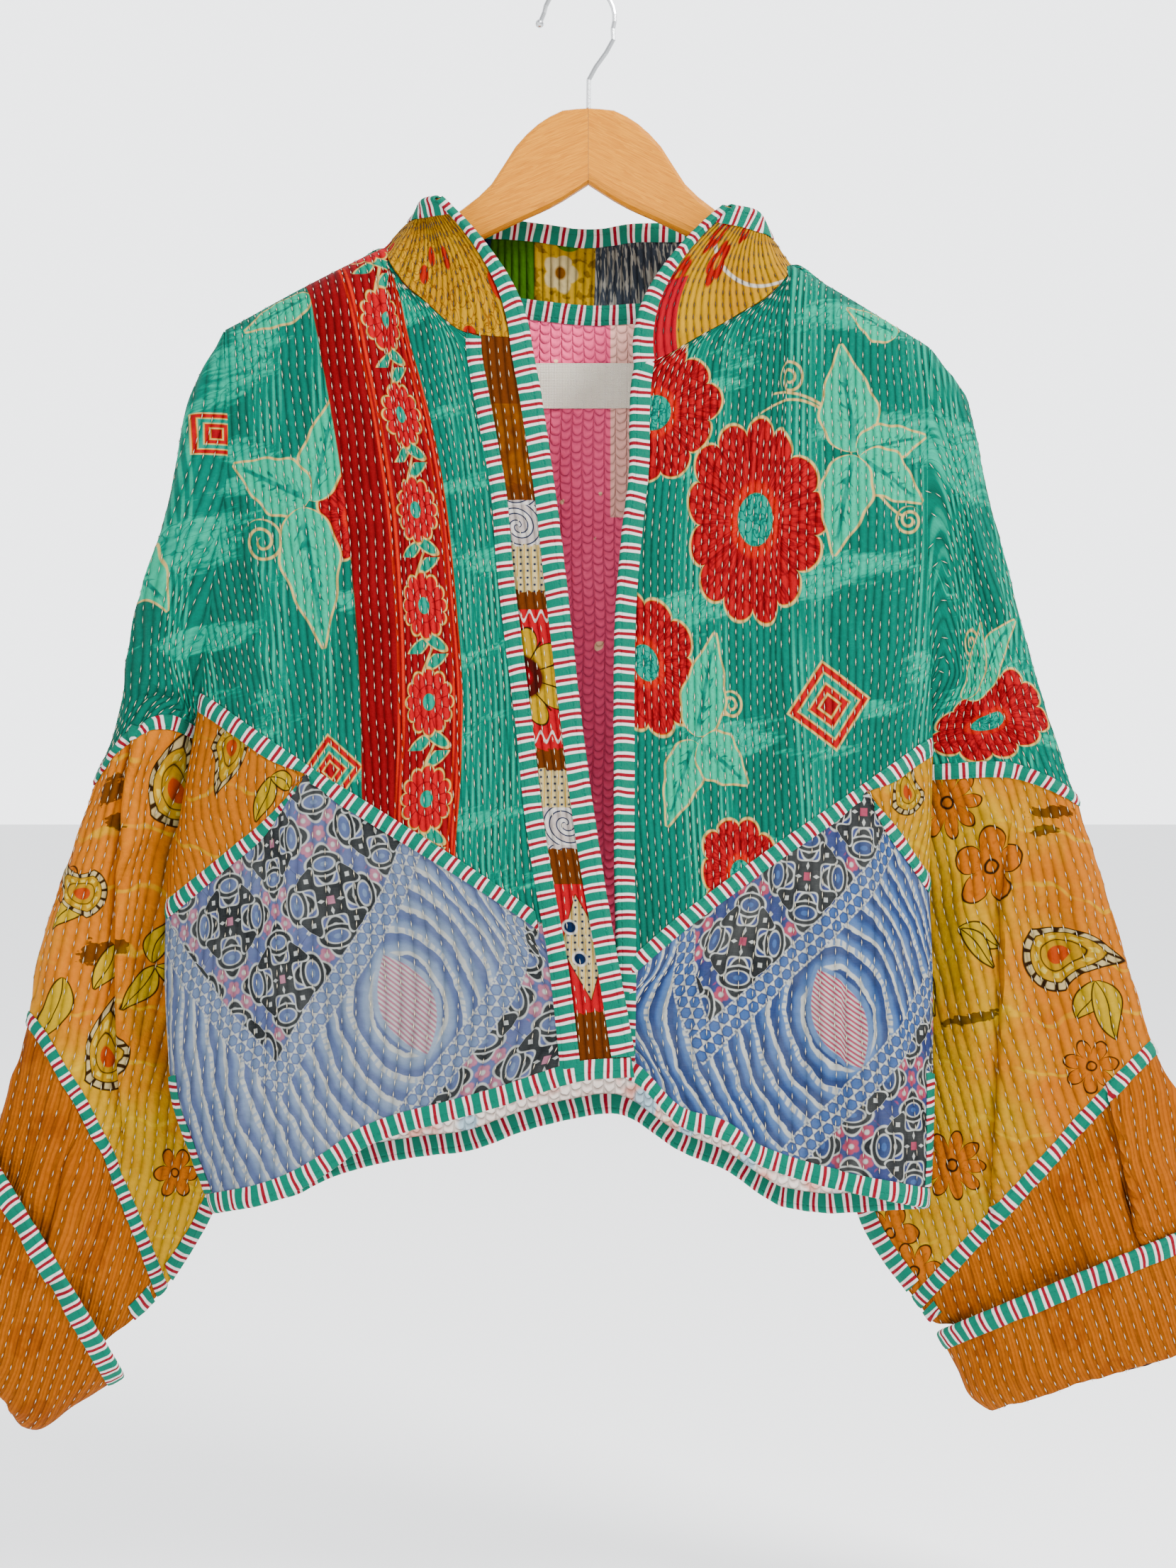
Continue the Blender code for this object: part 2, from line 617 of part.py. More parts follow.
class Armhole:
    """The ring of body points that a sleeve starts from, and the places of its two ends."""

    def __init__(self, front, behind, behind_column, start, end):
        rows = list(range(GREEN_ROW + 1)) + list(range(GREEN_ROW - 1, 0, -1))
        grids = [(front, 0)] * (GREEN_ROW + 1) + [(behind, behind_column)] * (GREEN_ROW - 1)
        self.places = [(grid, row, column) for (grid, column), row in zip(grids, rows)]
        self.points = np.array([grid.points[row, column] for grid, row, column in self.places])
        self.start, self.end = start, end

    def share_normals(self, sleeve):
        """Give the armhole and the sleeve's first ring the direction halfway between theirs."""
        for k, (grid, row, column) in enumerate(self.places):
            normal = unit(grid.normals[row, column] + sleeve.normals[0, k])
            grid.normals[row, column] = normal
            sleeve.normals[0, k] = normal
            if k == 0:
                back.normals[0, BACK_ENDS[self.start[0] > 0]] = normal
            if k == GREEN_ROW:
                back.normals[GREEN_ROW, BACK_ENDS[self.start[0] > 0]] = normal


def sleeve_grid(table, folds, armhole, turn):
    """A whole sleeve's grid: round from its outer edge, and down from the armhole."""
    ends = (0, *armhole.start, *armhole.end, 0, 0, ARMHOLE_HALF, ARMHOLE_HALF, 0)
    table = (ends, *table)
    across = list(SLEEVE_ACROSS) + list(SLEEVE_ACROSS[-2:0:-1])
    layers = [-1] * len(SLEEVE_ACROSS) + [1] * (len(SLEEVE_ACROSS) - 2)

    def ring(station):
        fade = 1 - ease(station / BLEND_STATIONS)
        points = []
        for k, (share, layer) in enumerate(zip(across, layers)):
            point = sleeve_point(table, folds, station, share, layer)
            if fade > 0:
                point = point + fade * (armhole.points[k] - sleeve_point(table, folds, 0, share, layer))
            points.append(point)
        return np.array(points)

    rings = []
    for station, distance in SLEEVE_ROWS:
        points = ring(station)
        if distance:
            way = ring(station + math.copysign(0.3, distance)) - points
            points = points + abs(distance) * way / np.linalg.norm(way, axis=-1, keepdims=True)
        rings.append(points)
    points = np.array(rings)
    return Cloth(points, turn * grid_normals(points, True))


def sleeve_row(station, distance=0):
    """Index of a row of the sleeves' grids."""
    return SLEEVE_ROWS.index((station, distance))


def make_sleeve(side, grid):
    """The four tubes of one sleeve and the bindings on it."""
    last = grid.points.shape[1] - 1
    seams = [0, sleeve_row(TOP_SEAM), sleeve_row(MIDDLE_SEAM), sleeve_row(TURN), len(SLEEVE_ROWS) - 1]
    pieces = ("upper", GREEN), ("middle", MUSTARD), ("lower", ORANGE), ("cuff", ORANGE)
    for (name, colour), first, end in zip(pieces, seams, seams[1:]):
        top = ARMHOLE_GAP if first == 0 else HALF_SEAM
        tube = grid.part((first, end), (0, last)).trimmed(top=top, left=0, right=0)
        wall(f"sleeve_{side}_{name}", tube, colour, True)
    for name, station in (("top", TOP_SEAM), ("middle", MIDDLE_SEAM)):
        rows = [row_of(grid, sleeve_row(station, distance)) for distance in (-5, 0, 5)]
        seam_binding(f"binding_sleeve_{side}_{name}", *rows, closed=True)
    edge_rows = row_of(grid, sleeve_row(SLEEVE_END, -10)), row_of(grid, -1)
    edge_binding(f"binding_cuff_{side}", *edge_rows, closed=True)
    fold = len(SLEEVE_ACROSS) - 1
    stretches = (
        ("underarm", sleeve_row(UNDERARM_START), sleeve_row(MIDDLE_SEAM, -5)),
        ("underarm_low", sleeve_row(MIDDLE_SEAM, 5), sleeve_row(UNDERARM_END)))
    for name, first, end in stretches:
        strip = grid.part((first, end), (fold - 1, fold + 1)).trimmed(0.5, 0.5, 0, 0).turned()
        seam_binding(f"binding_{name}_{side}", *(row_of(strip, i) for i in range(3)))


def make_front(side, grid, corner):
    """The three panels of one front, and the bindings over the seams between them."""
    last = grid.points.shape[1] - 1
    wall(f"front_{side}_upper", grid.part((0, GREEN_ROW), (0, last)).trimmed(), GREEN)
    triangle = toward(grid.part((GREEN_ROW, BLUE_ROW), (0, corner)), 0.93)
    wall(f"front_{side}_side", triangle.trimmed(), ORANGE)
    lower = grid.part((BLUE_ROW, HEM_ROW), (0, last))
    wall(f"front_{side}_lower", lower.trimmed(left=slit_insets(lower)), BLUE)
    under, below = row_of(grid, GREEN_ROW + 1), row_of(grid, BLUE_ROW + 1)
    after = joined(part_of(under, 0, corner - 1), part_of(below, corner, last))
    strip = [row_of(grid, GREEN_ROW - 1), row_of(grid, GREEN_ROW), after]
    diagonal = Cloth([r.points for r in strip], [r.normals for r in strip])
    diagonal = diagonal.part((0, 2), (1, last - 1)).trimmed(0, 0, 0.5, 0.5)
    seam_binding(f"binding_{side}_diagonal", *(row_of(diagonal, i) for i in range(3)))
    small = toward(grid.part((BLUE_ROW - 1, BLUE_ROW + 1), (0, corner)), 0.74)
    small = small.part((0, 2), (1, corner))
    seam_binding(f"binding_{side}_small", *(row_of(small, i) for i in range(3)))


def make_slit(name, cloth, inner, edge):
    """The binding down one side of a side slit, from the column inside it and the slit's edge."""
    open_rows = np.nonzero(cloth.points[:, edge, 2] < SLIT_TOP)[0]
    stretch = slice(open_rows[0], open_rows[-1])
    order = [inner, edge]
    strip = Cloth(cloth.points[stretch][:, order], cloth.normals[stretch][:, order]).turned()
    strip = strip.trimmed(0, 0, 0, 0.6)
    edge_binding(name, row_of(strip, 0), row_of(strip, 1))


def solid_loft(name, rings, colour, **looks):
    """A solid through closed rings of points, with flat ends."""
    shape = bmesh.new()
    corners = [[shape.verts.new(Vector(p) * MM) for p in ring] for ring in rings]
    for first, second in zip(corners, corners[1:]):
        for i in range(len(first)):
            j = (i + 1) % len(first)
            shape.faces.new((first[i], first[j], second[j], second[i]))
    shape.faces.new(corners[0])
    shape.faces.new(corners[-1])
    face_out(shape)
    data = bpy.data.meshes.new(name)
    shape.to_mesh(data)
    shape.free()
    data.shade_smooth()
    data.set_sharp_from_angle(angle=math.radians(50))
    return finish(name, data, colour, **looks)


def hanger_section(x, top, under, half):
    """A rounded section of the hanger's arm."""
    ring = []
    for corner, (side, up) in enumerate(((1, 1), (-1, 1), (-1, -1), (1, -1))):
        height = top - HANGER_ROUNDING if up > 0 else under + HANGER_ROUNDING
        for step in range(3):
            angle = math.radians(90 * corner + 45 * step)
            y = side * (half - HANGER_ROUNDING) + HANGER_ROUNDING * math.cos(angle)
            ring.append((x + HOOK_OFFSET, y, height + HANGER_ROUNDING * math.sin(angle)))
    return ring


def make_hanger_half(name, side, tip):
    """One wooden half, from the centre seam to the shoulder's tip."""
    rings = []
    for reach in [stop for stop in HANGER_STOPS if stop < tip - 6] + [tip - 4, tip]:
        if reach <= NECK_REACH:
            top = along(HANGER_TOP, reach)
        else:
            blend = ease((reach - NECK_REACH) / 25)
            free = along(HANGER_TOP, NECK_REACH) - 0.6 * (reach - NECK_REACH)
            dip = NECK_DIP * math.exp(-(((reach - NECK_DIP_AT) / NECK_DIP_WIDTH) ** 2))
            below = along(RIDGE, side * reach) - RIDGE_CLEARANCE - dip
            top = below * blend + free * (1 - blend)
        under = min(along(HANGER_UNDER, reach), top - 2.1 * HANGER_ROUNDING)
        if reach == tip:
            top, under = top - 3, under + 1
        rings.append(hanger_section(side * reach, top, under, along(HANGER_HALF_THICKNESS, reach)))
    solid_loft(name, rings, WOOD, roughness=0.4)


def make_hook():
    """The hook: one bent wire with a ball at its tip."""
    route = list(HOOK_STEM)
    centre_z = HOOK_WIRE / 2 - HOOK_RADIUS
    for i in range(HOOK_STEPS + 1):
        turn = HOOK_START_DEGREES + (HOOK_END_DEGREES - HOOK_START_DEGREES) * i / HOOK_STEPS
        angle = math.radians(turn)
        x = HOOK_RADIUS * math.cos(angle) - HOOK_OFFSET
        route.append((x, centre_z + HOOK_RADIUS * math.sin(angle)))
    route.append(HOOK_TIP)
    wire = bpy.data.curves.new("hook_wire", "CURVE")
    wire.dimensions = "3D"
    wire.bevel_depth = HOOK_WIRE / 2 * MM
    wire.bevel_resolution = 2
    wire.use_fill_caps = True
    line = wire.splines.new("POLY")
    line.points.add(len(route) - 1)
    for point, (x, z) in zip(line.points, route):
        point.co = ((x + HOOK_OFFSET) * MM, 0, z * MM, 1)
    guide = bpy.data.objects.new("hook_guide", wire)
    cutters.objects.link(guide)
    body = bpy.data.meshes.new_from_object(guide.evaluated_get(bpy.context.evaluated_depsgraph_get()))
    bpy.data.objects.remove(guide, do_unlink=True)
    shape = bmesh.new()
    shape.from_mesh(body)
    bmesh.ops.remove_doubles(shape, verts=shape.verts, dist=0.00001)
    shape.to_mesh(body)
    shape.free()
    body.materials.clear()
    hook = finish("hanger_hook", body, STEEL, roughness=0.2, metallic=1.0)
    tip = ((HOOK_TIP[0] + HOOK_OFFSET) * MM, 0, HOOK_TIP[1] * MM)
    bpy.ops.mesh.primitive_uv_sphere_add(segments=12, ring_count=8, radius=HOOK_BALL * MM, location=tip)
    ball = bpy.context.object
    for owner in list(ball.users_collection):
        owner.objects.unlink(ball)
    cutters.objects.link(ball)
    ball.hide_render = True
    ball.display_type = "WIRE"
    join = hook.modifiers.new("ball", "BOOLEAN")
    join.operation = "UNION"
    join.object = ball


def back_grid(left_heights, right_heights):
    """The back's grid, whose ends share the heights of the fronts' side edges."""
    points, normals = [], []
    shares = [[(h[0] - z) / (h[0] - h[-1]) for z in h] for h in (left_heights, right_heights)]
    for index, share in enumerate(BACK_COLUMNS):
        curve = NECK_BACK if BACK_NECK[0] < index < BACK_NECK[1] else RIDGE
        top = height_on(curve, share, BODY_LEFT, BODY_RIGHT)
        hem = height_on(HEM_BACK, share, BODY_LEFT, BODY_RIGHT)
        parts = [a + (b - a) * share for a, b in zip(*shares)]
        heights = [top - part * (top - hem) for part in parts]
        heights[-2] = hem + EDGE_BINDING
        if share == 0:
            heights = left_heights
        if share == 1:
            heights = right_heights
        column = []
        for z in heights:
            start = along(BODY_LEFT, z)
            column.append(body_at(1, start + share * (along(BODY_RIGHT, z) - start), z))
        points.append([point for point, _ in column])
        normals.append([normal for _, normal in column])
    return Cloth(points, normals).turned()


def placket_grid():
    """The placket band's grid, from the left front's last column to the front edge."""
    heights = column_heights(1, BODY_LEFT, PLACKET_SEAM, NECK_LEFT, GREEN_LEFT, None, HEM_LEFT)
    heights = [heights[i] for i in KEPT_ROWS]
    points, normals = [], []
    for share in PLACKET_COLUMNS:
        top = height_on(NECK_LEFT, share, PLACKET_SEAM, EDGE_LEFT)
        hem = height_on(HEM_LEFT, share, PLACKET_SEAM, EDGE_LEFT)
        column = []
        for height in heights:
            part = (heights[0] - height) / (heights[0] - heights[-1])
            z = top - part * (top - hem)
            start = along(PLACKET_SEAM, z)
            column.append(body_at(-1, start + share * (along(EDGE_LEFT, z) - start), z, True))
        points.append([point for point, _ in column])
        normals.append([normal for _, normal in column])
    return Cloth(points, normals).turned()


def make_label():
    """The bare label, on the inside of the back."""
    rows = []
    for i in range(3):
        z = LABEL_HEIGHT[1] + (LABEL_HEIGHT[0] - LABEL_HEIGHT[1]) * i / 2
        width = LABEL_SIDE[1] - LABEL_SIDE[0]
        rows.append([body_at(1, LABEL_SIDE[0] + width * j / 4, z) for j in range(5)])
    cloth = Cloth([[p for p, _ in row] for row in rows], [[n for _, n in row] for row in rows])
    loft("label", (cloth.moved(-LABEL_LIFT), cloth.moved(-LABEL_LIFT - LABEL_THICKNESS)), CREAM)


# A fresh scene
for old in list(bpy.data.objects):
    bpy.data.objects.remove(old, do_unlink=True)
collection = bpy.data.collections.new("kantha_jacket_on_hanger")
cutters = bpy.data.collections.new("cutters")
bpy.context.scene.collection.children.link(collection)
bpy.context.scene.collection.children.link(cutters)

# Grids of the body: the placket shares the left front's last column, without the gathered rows
left = front_grid(
    BODY_LEFT, PLACKET_SEAM, LEFT_COLUMNS, LEFT_CORNER,
    lambda index: NECK_LEFT if index > LEFT_NECK else RIDGE, GREEN_LEFT, BLUE_LEFT, HEM_LEFT, True)
right = front_grid(
    BODY_RIGHT, EDGE_RIGHT, RIGHT_COLUMNS, RIGHT_CORNER,
    lambda index: NECK_RIGHT if index > RIGHT_NECK else RIDGE, GREEN_RIGHT, BLUE_RIGHT, HEM_RIGHT, False)
back = back_grid(
    column_heights(0, BODY_LEFT, PLACKET_SEAM, RIDGE, GREEN_LEFT, BLUE_LEFT, HEM_LEFT),
    column_heights(0, BODY_RIGHT, EDGE_RIGHT, RIDGE, GREEN_RIGHT, BLUE_RIGHT, HEM_RIGHT))
placket = placket_grid()

# Sleeves start from the armholes
BACK_ENDS = (0, len(BACK_COLUMNS) - 1)
left_start = (along(BODY_LEFT, -217), along(RIDGE, along(BODY_LEFT, -217)))
left_hole = Armhole(left, back, 0, left_start, (along(BODY_LEFT, UNDERARM_LEFT), UNDERARM_LEFT))
right_start = (along(BODY_RIGHT, -227), along(RIDGE, along(BODY_RIGHT, -227)))
right_end = (along(BODY_RIGHT, UNDERARM_RIGHT), UNDERARM_RIGHT)
right_hole = Armhole(right, back, BACK_ENDS[1], right_start, right_end)
left_sleeve = sleeve_grid(LEFT_SLEEVE, LEFT_SLEEVE_FOLDS, left_hole, -1)
right_sleeve = sleeve_grid(RIGHT_SLEEVE, RIGHT_SLEEVE_FOLDS, right_hole, 1)
left_hole.share_normals(left_sleeve)
right_hole.share_normals(right_sleeve)

# The collar stands on the neck seam: left front edge, round the back, to the right front edge
neck = [(placket, 0, i) for i in range(len(PLACKET_COLUMNS) - 1, 0, -1)]
neck += [(left, 0, i) for i in range(len(LEFT_COLUMNS) - 1, LEFT_NECK - 1, -1)]
neck += [(back, 0, i) for i in range(BACK_NECK[0] + 1, BACK_NECK[1])]
neck += [(right, 0, i) for i in range(RIGHT_NECK, len(RIGHT_COLUMNS))]
bottom = np.array([grid.points[row, column] for grid, row, column in neck])
left_count = len(PLACKET_COLUMNS) - 1 + len(LEFT_COLUMNS) - LEFT_NECK
right_count = len(RIGHT_COLUMNS) - RIGHT_NECK
lengths = np.concatenate([[0], np.cumsum(np.linalg.norm(np.diff(bottom, axis=0), axis=1))])
left_neck, right_neck = lengths[left_count - 1], lengths[-right_count]
shares = np.interp(lengths, (0, left_neck, right_neck, lengths[-1]), (0, 0.2, 0.8, 1))
collar = collar_grid(bottom, shares)
for k, (grid, row, column) in enumerate(neck):
    shared = unit(grid.normals[row, column] + collar.normals[0, k])
    grid.normals[row, column] = shared
    collar.normals[0, k] = shared
left.normals[0, -1] = placket.normals[0, 0] = collar.normals[0, len(PLACKET_COLUMNS) - 1]
back.normals[0, BACK_NECK[0]] = left.normals[0, LEFT_NECK]
back.normals[0, BACK_NECK[1]] = right.normals[0, RIGHT_NECK]

# Panels
make_front("left", left, LEFT_CORNER)
make_front("right", right, RIGHT_CORNER)
wall("placket_band", placket.trimmed(), BROWN)
ends = {"left": np.where(back.points[:, 0, 2] < SLIT_TOP, SLIT_INSET, HALF_SEAM),
        "right": np.where(back.points[:, -1, 2] < SLIT_TOP, SLIT_INSET, HALF_SEAM)}
wall("back", back.trimmed(**ends), PINK)
wall("collar", collar.trimmed(), MUSTARD)
make_sleeve("left", left_sleeve)
make_sleeve("right", right_sleeve)
make_label()

# Bindings of the front edges, which run up the collar's ends
collar_rows = slice(None, 0, -1)
for side, body, collar_columns, body_columns in (
        ("left", placket, (1, 0), (-2, -1)), ("right", right, (-2, -1), (-2, -1))):
    body_rows = list(range(body.points.shape[0] - 1))
    if side == "right":
        body_rows = [i for i in KEPT_ROWS if i < HEM_ROW]
    strips = []
    for collar_column, body_column in zip(collar_columns, body_columns):
        strips.append(joined(
            Cloth(collar.points[collar_rows, collar_column], collar.normals[collar_rows, collar_column]),
            Cloth(body.points[body_rows, body_column], body.normals[body_rows, body_column])))
    strip = Cloth([s.points for s in strips], [s.normals for s in strips]).trimmed(0, 0, 0, 0.6)
    upward = 5 if side == "right" else 0
    edge_binding(f"binding_{side}_front_edge", row_of(strip, 0), row_of(strip, 1), upward=upward)

# The placket's seam
body_rows = [i for i in KEPT_ROWS if i < HEM_ROW]
count = len(body_rows)
seam = Cloth(
    [left.points[body_rows, -2], left.points[body_rows, -1], placket.points[:count, 1]],
    [left.normals[body_rows, -2], left.normals[body_rows, -1], placket.normals[:count, 1]])
seam = seam.trimmed(0, 0, 0.5, 0.5)
seam_binding("binding_placket", *(row_of(seam, i) for i in range(3)))

# Hems: the left one runs on under the placket
left_hem = [joined(
    Cloth(left.points[HEM_ROW - 1 + i], left.normals[HEM_ROW - 1 + i]),
    Cloth(placket.points[i - 2, 1:], placket.normals[i - 2, 1:])) for i in range(2)]
right_hem = [row_of(right, HEM_ROW - 1 + i) for i in range(2)]
back_hem = [row_of(back, HEM_ROW - 1 + i) for i in range(2)]
for name, rows, first, last in (
        ("left_hem", left_hem, True, False), ("right_hem", right_hem, True, False),
        ("back_hem", back_hem, True, True)):
    band = Cloth([r.points for r in rows], [r.normals for r in rows])
    band = band.trimmed(0, 0, SLIT_INSET if first else 0.0, SLIT_INSET if last else 0.0)
    edge_binding(f"binding_{name}", row_of(band, 0), row_of(band, 1))

# Side slits
left_slit = left.trimmed(0, 0, SLIT_INSET, 0)
right_slit = right.trimmed(0, 0, SLIT_INSET, 0)
back_slits = back.trimmed(0, 0, SLIT_INSET, SLIT_INSET)
make_slit("binding_left_slit", left_slit, 1, 0)
make_slit("binding_right_slit", right_slit, 1, 0)
make_slit("binding_back_slit_left", back_slits, 1, 0)
make_slit("binding_back_slit_right", back_slits, -2, -1)

# The collar's top, and the seam inside the neck
top = collar.part((4, 5), (1, collar.points.shape[1] - 2)).trimmed(0, 0, 0.5, 0.5)
edge_binding("binding_collar_top", row_of(top, 0), row_of(top, 1))
first, last = left_count - 1, len(neck) - right_count
inside_rows = [part_of(row_of(collar, i), first + 2, last - 2) for i in (1, 0)]
inside_rows += [part_of(row_of(back, i), BACK_NECK[0] + 2, BACK_NECK[1] - 2) for i in (1, 2)]
seam_binding("binding_neck_inside", *inside_rows, inside=True, turned=lambda row, column: row == 0)

# The hanger
make_hanger_half("hanger_wood_left", -1, -HANGER_TIP[0])
make_hanger_half("hanger_wood_right", 1, HANGER_TIP[1])
make_hook()
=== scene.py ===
# %% [markdown]
# # A kantha jacket on its hanger
# Kantha is old printed cotton, laid in layers and held by rows of running stitch. This lesson dresses
# a jacket that is already laid out in solids. Each piece of cloth gets a thin shell of its own on the
# solid's form, then creases, real stitches and a printed cloth made of nodes. A cloth simulation could
# hang the jacket too, but its folds fall where they like. Placed one by one, they lie where they should.

# %% The packed model
import json
import math
from bisect import bisect_left
from functools import lru_cache

import bpy
import numpy as np
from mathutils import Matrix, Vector

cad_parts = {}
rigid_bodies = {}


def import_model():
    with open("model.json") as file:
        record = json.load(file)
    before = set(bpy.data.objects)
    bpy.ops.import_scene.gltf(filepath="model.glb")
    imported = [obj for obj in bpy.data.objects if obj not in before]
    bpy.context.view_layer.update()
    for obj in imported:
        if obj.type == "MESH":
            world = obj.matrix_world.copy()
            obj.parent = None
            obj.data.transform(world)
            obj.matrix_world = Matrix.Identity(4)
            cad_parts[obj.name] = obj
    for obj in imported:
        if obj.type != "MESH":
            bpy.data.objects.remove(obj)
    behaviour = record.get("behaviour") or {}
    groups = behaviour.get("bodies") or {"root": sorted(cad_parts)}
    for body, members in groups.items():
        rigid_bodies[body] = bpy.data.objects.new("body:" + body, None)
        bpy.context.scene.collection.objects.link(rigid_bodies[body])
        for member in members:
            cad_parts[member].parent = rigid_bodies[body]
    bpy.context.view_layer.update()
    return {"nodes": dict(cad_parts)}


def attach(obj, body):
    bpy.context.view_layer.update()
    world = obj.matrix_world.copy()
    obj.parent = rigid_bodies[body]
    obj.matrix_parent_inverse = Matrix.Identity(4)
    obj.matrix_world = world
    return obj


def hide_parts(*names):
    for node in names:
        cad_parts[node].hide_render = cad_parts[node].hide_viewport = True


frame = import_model()
print("pieces of the packed model:", len(frame["nodes"]))

# %% [markdown]
# ## The pattern's sizes
# A maker works from a pattern, and so does the script. These are the same sizes and short tables that
# the solids were built from, in millimetres: outlines, seams, hems, folds, and a row for each station
# of a sleeve. A smooth curve through a short table is easier to change than a list of points.

# %% Sizes
MM = 0.001

# Hanger and placing
HOOK_OFFSET = 5.7
EYE_DISTANCE = 1400.0
EYE_HEIGHT = -496.0

# Cloth
WALL = 2.0
HALF_SEAM = 0.15
EDGE_BINDING = 10.0
SLIT_TOP = -674.0
SLIT_INSET = 2.4
RIDGE_DROP = 22.0
ARMHOLE_HALF = 15.0
UNDERARM_LEFT = -445.0
UNDERARM_RIGHT = -472.0
UNDERARM_CLOSE = 70.0
ROUND_POWER = 0.75
ARMHOLE_SLOPE = 5
ARMHOLE_POWER = 6
CLOSE_POWER = 0.6
MID_HEIGHT = -400.0

print("wall of cloth:", WALL, "mm")

# %% [markdown]
# ### Outlines of the body
# Each table pairs a height with a side, or a side with a height, for the jacket as it is seen from the
# front: its two sides, the line of the shoulders, the neck, the front edges and the hems. They could be
# drawn as curves in Blender. Tables are used because the solids and the cloths can share them.

# %% Outlines, seams and hems
# Body outline, as (height, side)
BODY_LEFT = (
    (-200, -222), (-223, -225), (-289, -223), (-348, -229), (-395, -235), (-445, -240), (-502, -249),
    (-561, -260), (-612, -261), (-674, -258), (-696, -255), (-731, -242), (-762, -231))
BODY_RIGHT = (
    (-200, 211), (-239, 211), (-332, 210), (-435, 211), (-472, 212), (-558, 210), (-626, 212),
    (-692, 212), (-762, 209))

# Shoulder ridge, as (side, height)
RIDGE = (
    (-262, -262), (-245, -236), (-231, -220), (-215, -211), (-173, -188), (-126, -165), (-95, -153),
    (0, -146), (95, -160), (126, -176), (159, -195), (195, -217), (211, -227), (227, -242), (245, -264))

# Depth of the front and the back from the side line, as (height, depth)
FRONT_DEPTH = ((-150, 24), (-230, 27), (-330, 33), (-450, 40), (-600, 42), (-770, 40))
BACK_DEPTH = ((-150, 26), (-230, 28), (-330, 30), (-450, 33), (-600, 34), (-770, 32))
SIDE_LINE = ((-150, 0), (-400, 0), (-470, -3), (-540, -9), (-620, -14), (-770, -15))

# Neck seams, as (side, height)
NECK_LEFT = (
    (-125, -164.5), (-123.6, -170.5), (-117, -182), (-99, -199), (-76, -216), (-50, -219), (-38, -219))
NECK_RIGHT = (
    (30, -236), (39, -234), (57, -225), (73, -216), (103, -199), (115, -190), (122.4, -181),
    (124.2, -175))
NECK_BACK = (
    (-125, -164.5), (-123, -170.5), (-113, -181), (-84, -193), (-42, -200), (0, -205), (40, -203),
    (86, -197), (113, -190), (122.2, -181), (124.2, -175))

# Front edges and the placket's seam, as (height, side)
EDGE_LEFT = (
    (-200, -40), (-219, -38), (-247, -33), (-330, -21), (-390, -14), (-462, -6), (-535, 4), (-607, 16),
    (-680, 29))
PLACKET_SEAM = (
    (-200, -72), (-221, -72), (-265, -65), (-324, -55), (-378, -51), (-438, -42), (-498, -36),
    (-547, -29), (-607, -18), (-680, -10))
EDGE_RIGHT = (
    (-200, 32), (-234, 31), (-256, 28), (-289, 28), (-360, 21), (-419, 18), (-535, 18), (-602, 19),
    (-680, 18))

# Seams between the green, orange and blue cloths, as (side, height)
GREEN_LEFT = ((-240, -445), (-175, -490), (-89, -543), (-29, -583), (0, -604))
BLUE_LEFT = ((-262, -576), (-215, -536), (-175, -501), (-171, -493))
GREEN_RIGHT = ((10, -624), (25, -611), (51, -588), (111, -543), (166, -505), (212, -472))
BLUE_RIGHT = ((168, -504), (175, -511), (192, -532), (212, -562))

# Hems, as (side, height)
HEM_LEFT = (
    (-233, -760), (-205, -755), (-175, -743), (-141, -720), (-119, -711), (-85, -702), (-43, -690),
    (0, -677), (32, -675))
HEM_RIGHT = (
    (16, -674), (23, -675), (49, -702), (85, -715), (102, -728), (132, -739), (172, -749), (210, -757))
HEM_BACK = (
    (-233, -760), (-183, -749), (-158, -737), (-119, -727), (-68, -720), (-34, -707), (13, -699),
    (44, -701), (59, -725), (94, -737), (117, -755), (145, -760), (210, -757))

print("width at the chest:", BODY_RIGHT[1][1] - BODY_LEFT[1][1], "mm")

# %% [markdown]
# ### Large folds and grid lines
# A fold is a soft ridge or valley between two places. The grid lines say where the seams, edges and
# folds need a row or a column of points of their own. Folds could be sculpted, but a line with a width
# and a push is moved by changing a number.

# %% Folds and grid lines of the body
# Folds of the body, each pushed out or in along Y:
# top side, top height, bottom side, bottom height, half width, push, layer (-1 front, 1 back)
BODY_FOLDS = (
    (-176, -250, -205, -470, 16, 4.5, -1),
    (-120, -430, -150, -800, 26, -5.0, -1),
    (-60, -520, -70, -800, 20, 3.5, -1),
    (-215, -560, -222, -800, 17, 3.0, -1),
    (170, -262, 188, -480, 15, 4.0, -1),
    (122, -300, 104, -560, 24, -3.0, -1),
    (88, -590, 84, -800, 11, 5.0, -1),
    (128, -560, 134, -800, 20, -5.5, -1),
    (182, -600, 186, -800, 15, 3.5, -1),
    (-140, -260, -175, -800, 24, 5.0, 1),
    (-60, -330, -66, -800, 26, -4.0, 1),
    (52, -400, 50, -800, 15, -7.0, 1),
    (118, -300, 112, -800, 24, 6.0, 1),
    (176, -480, 182, -800, 18, -4.0, 1))
FOLD_FADE = 0.28
OVERLAP_PUSH = 8.0
OVERLAP_START = -500.0
OVERLAP_FULL = -590.0
OVERLAP_WIDTH = 75

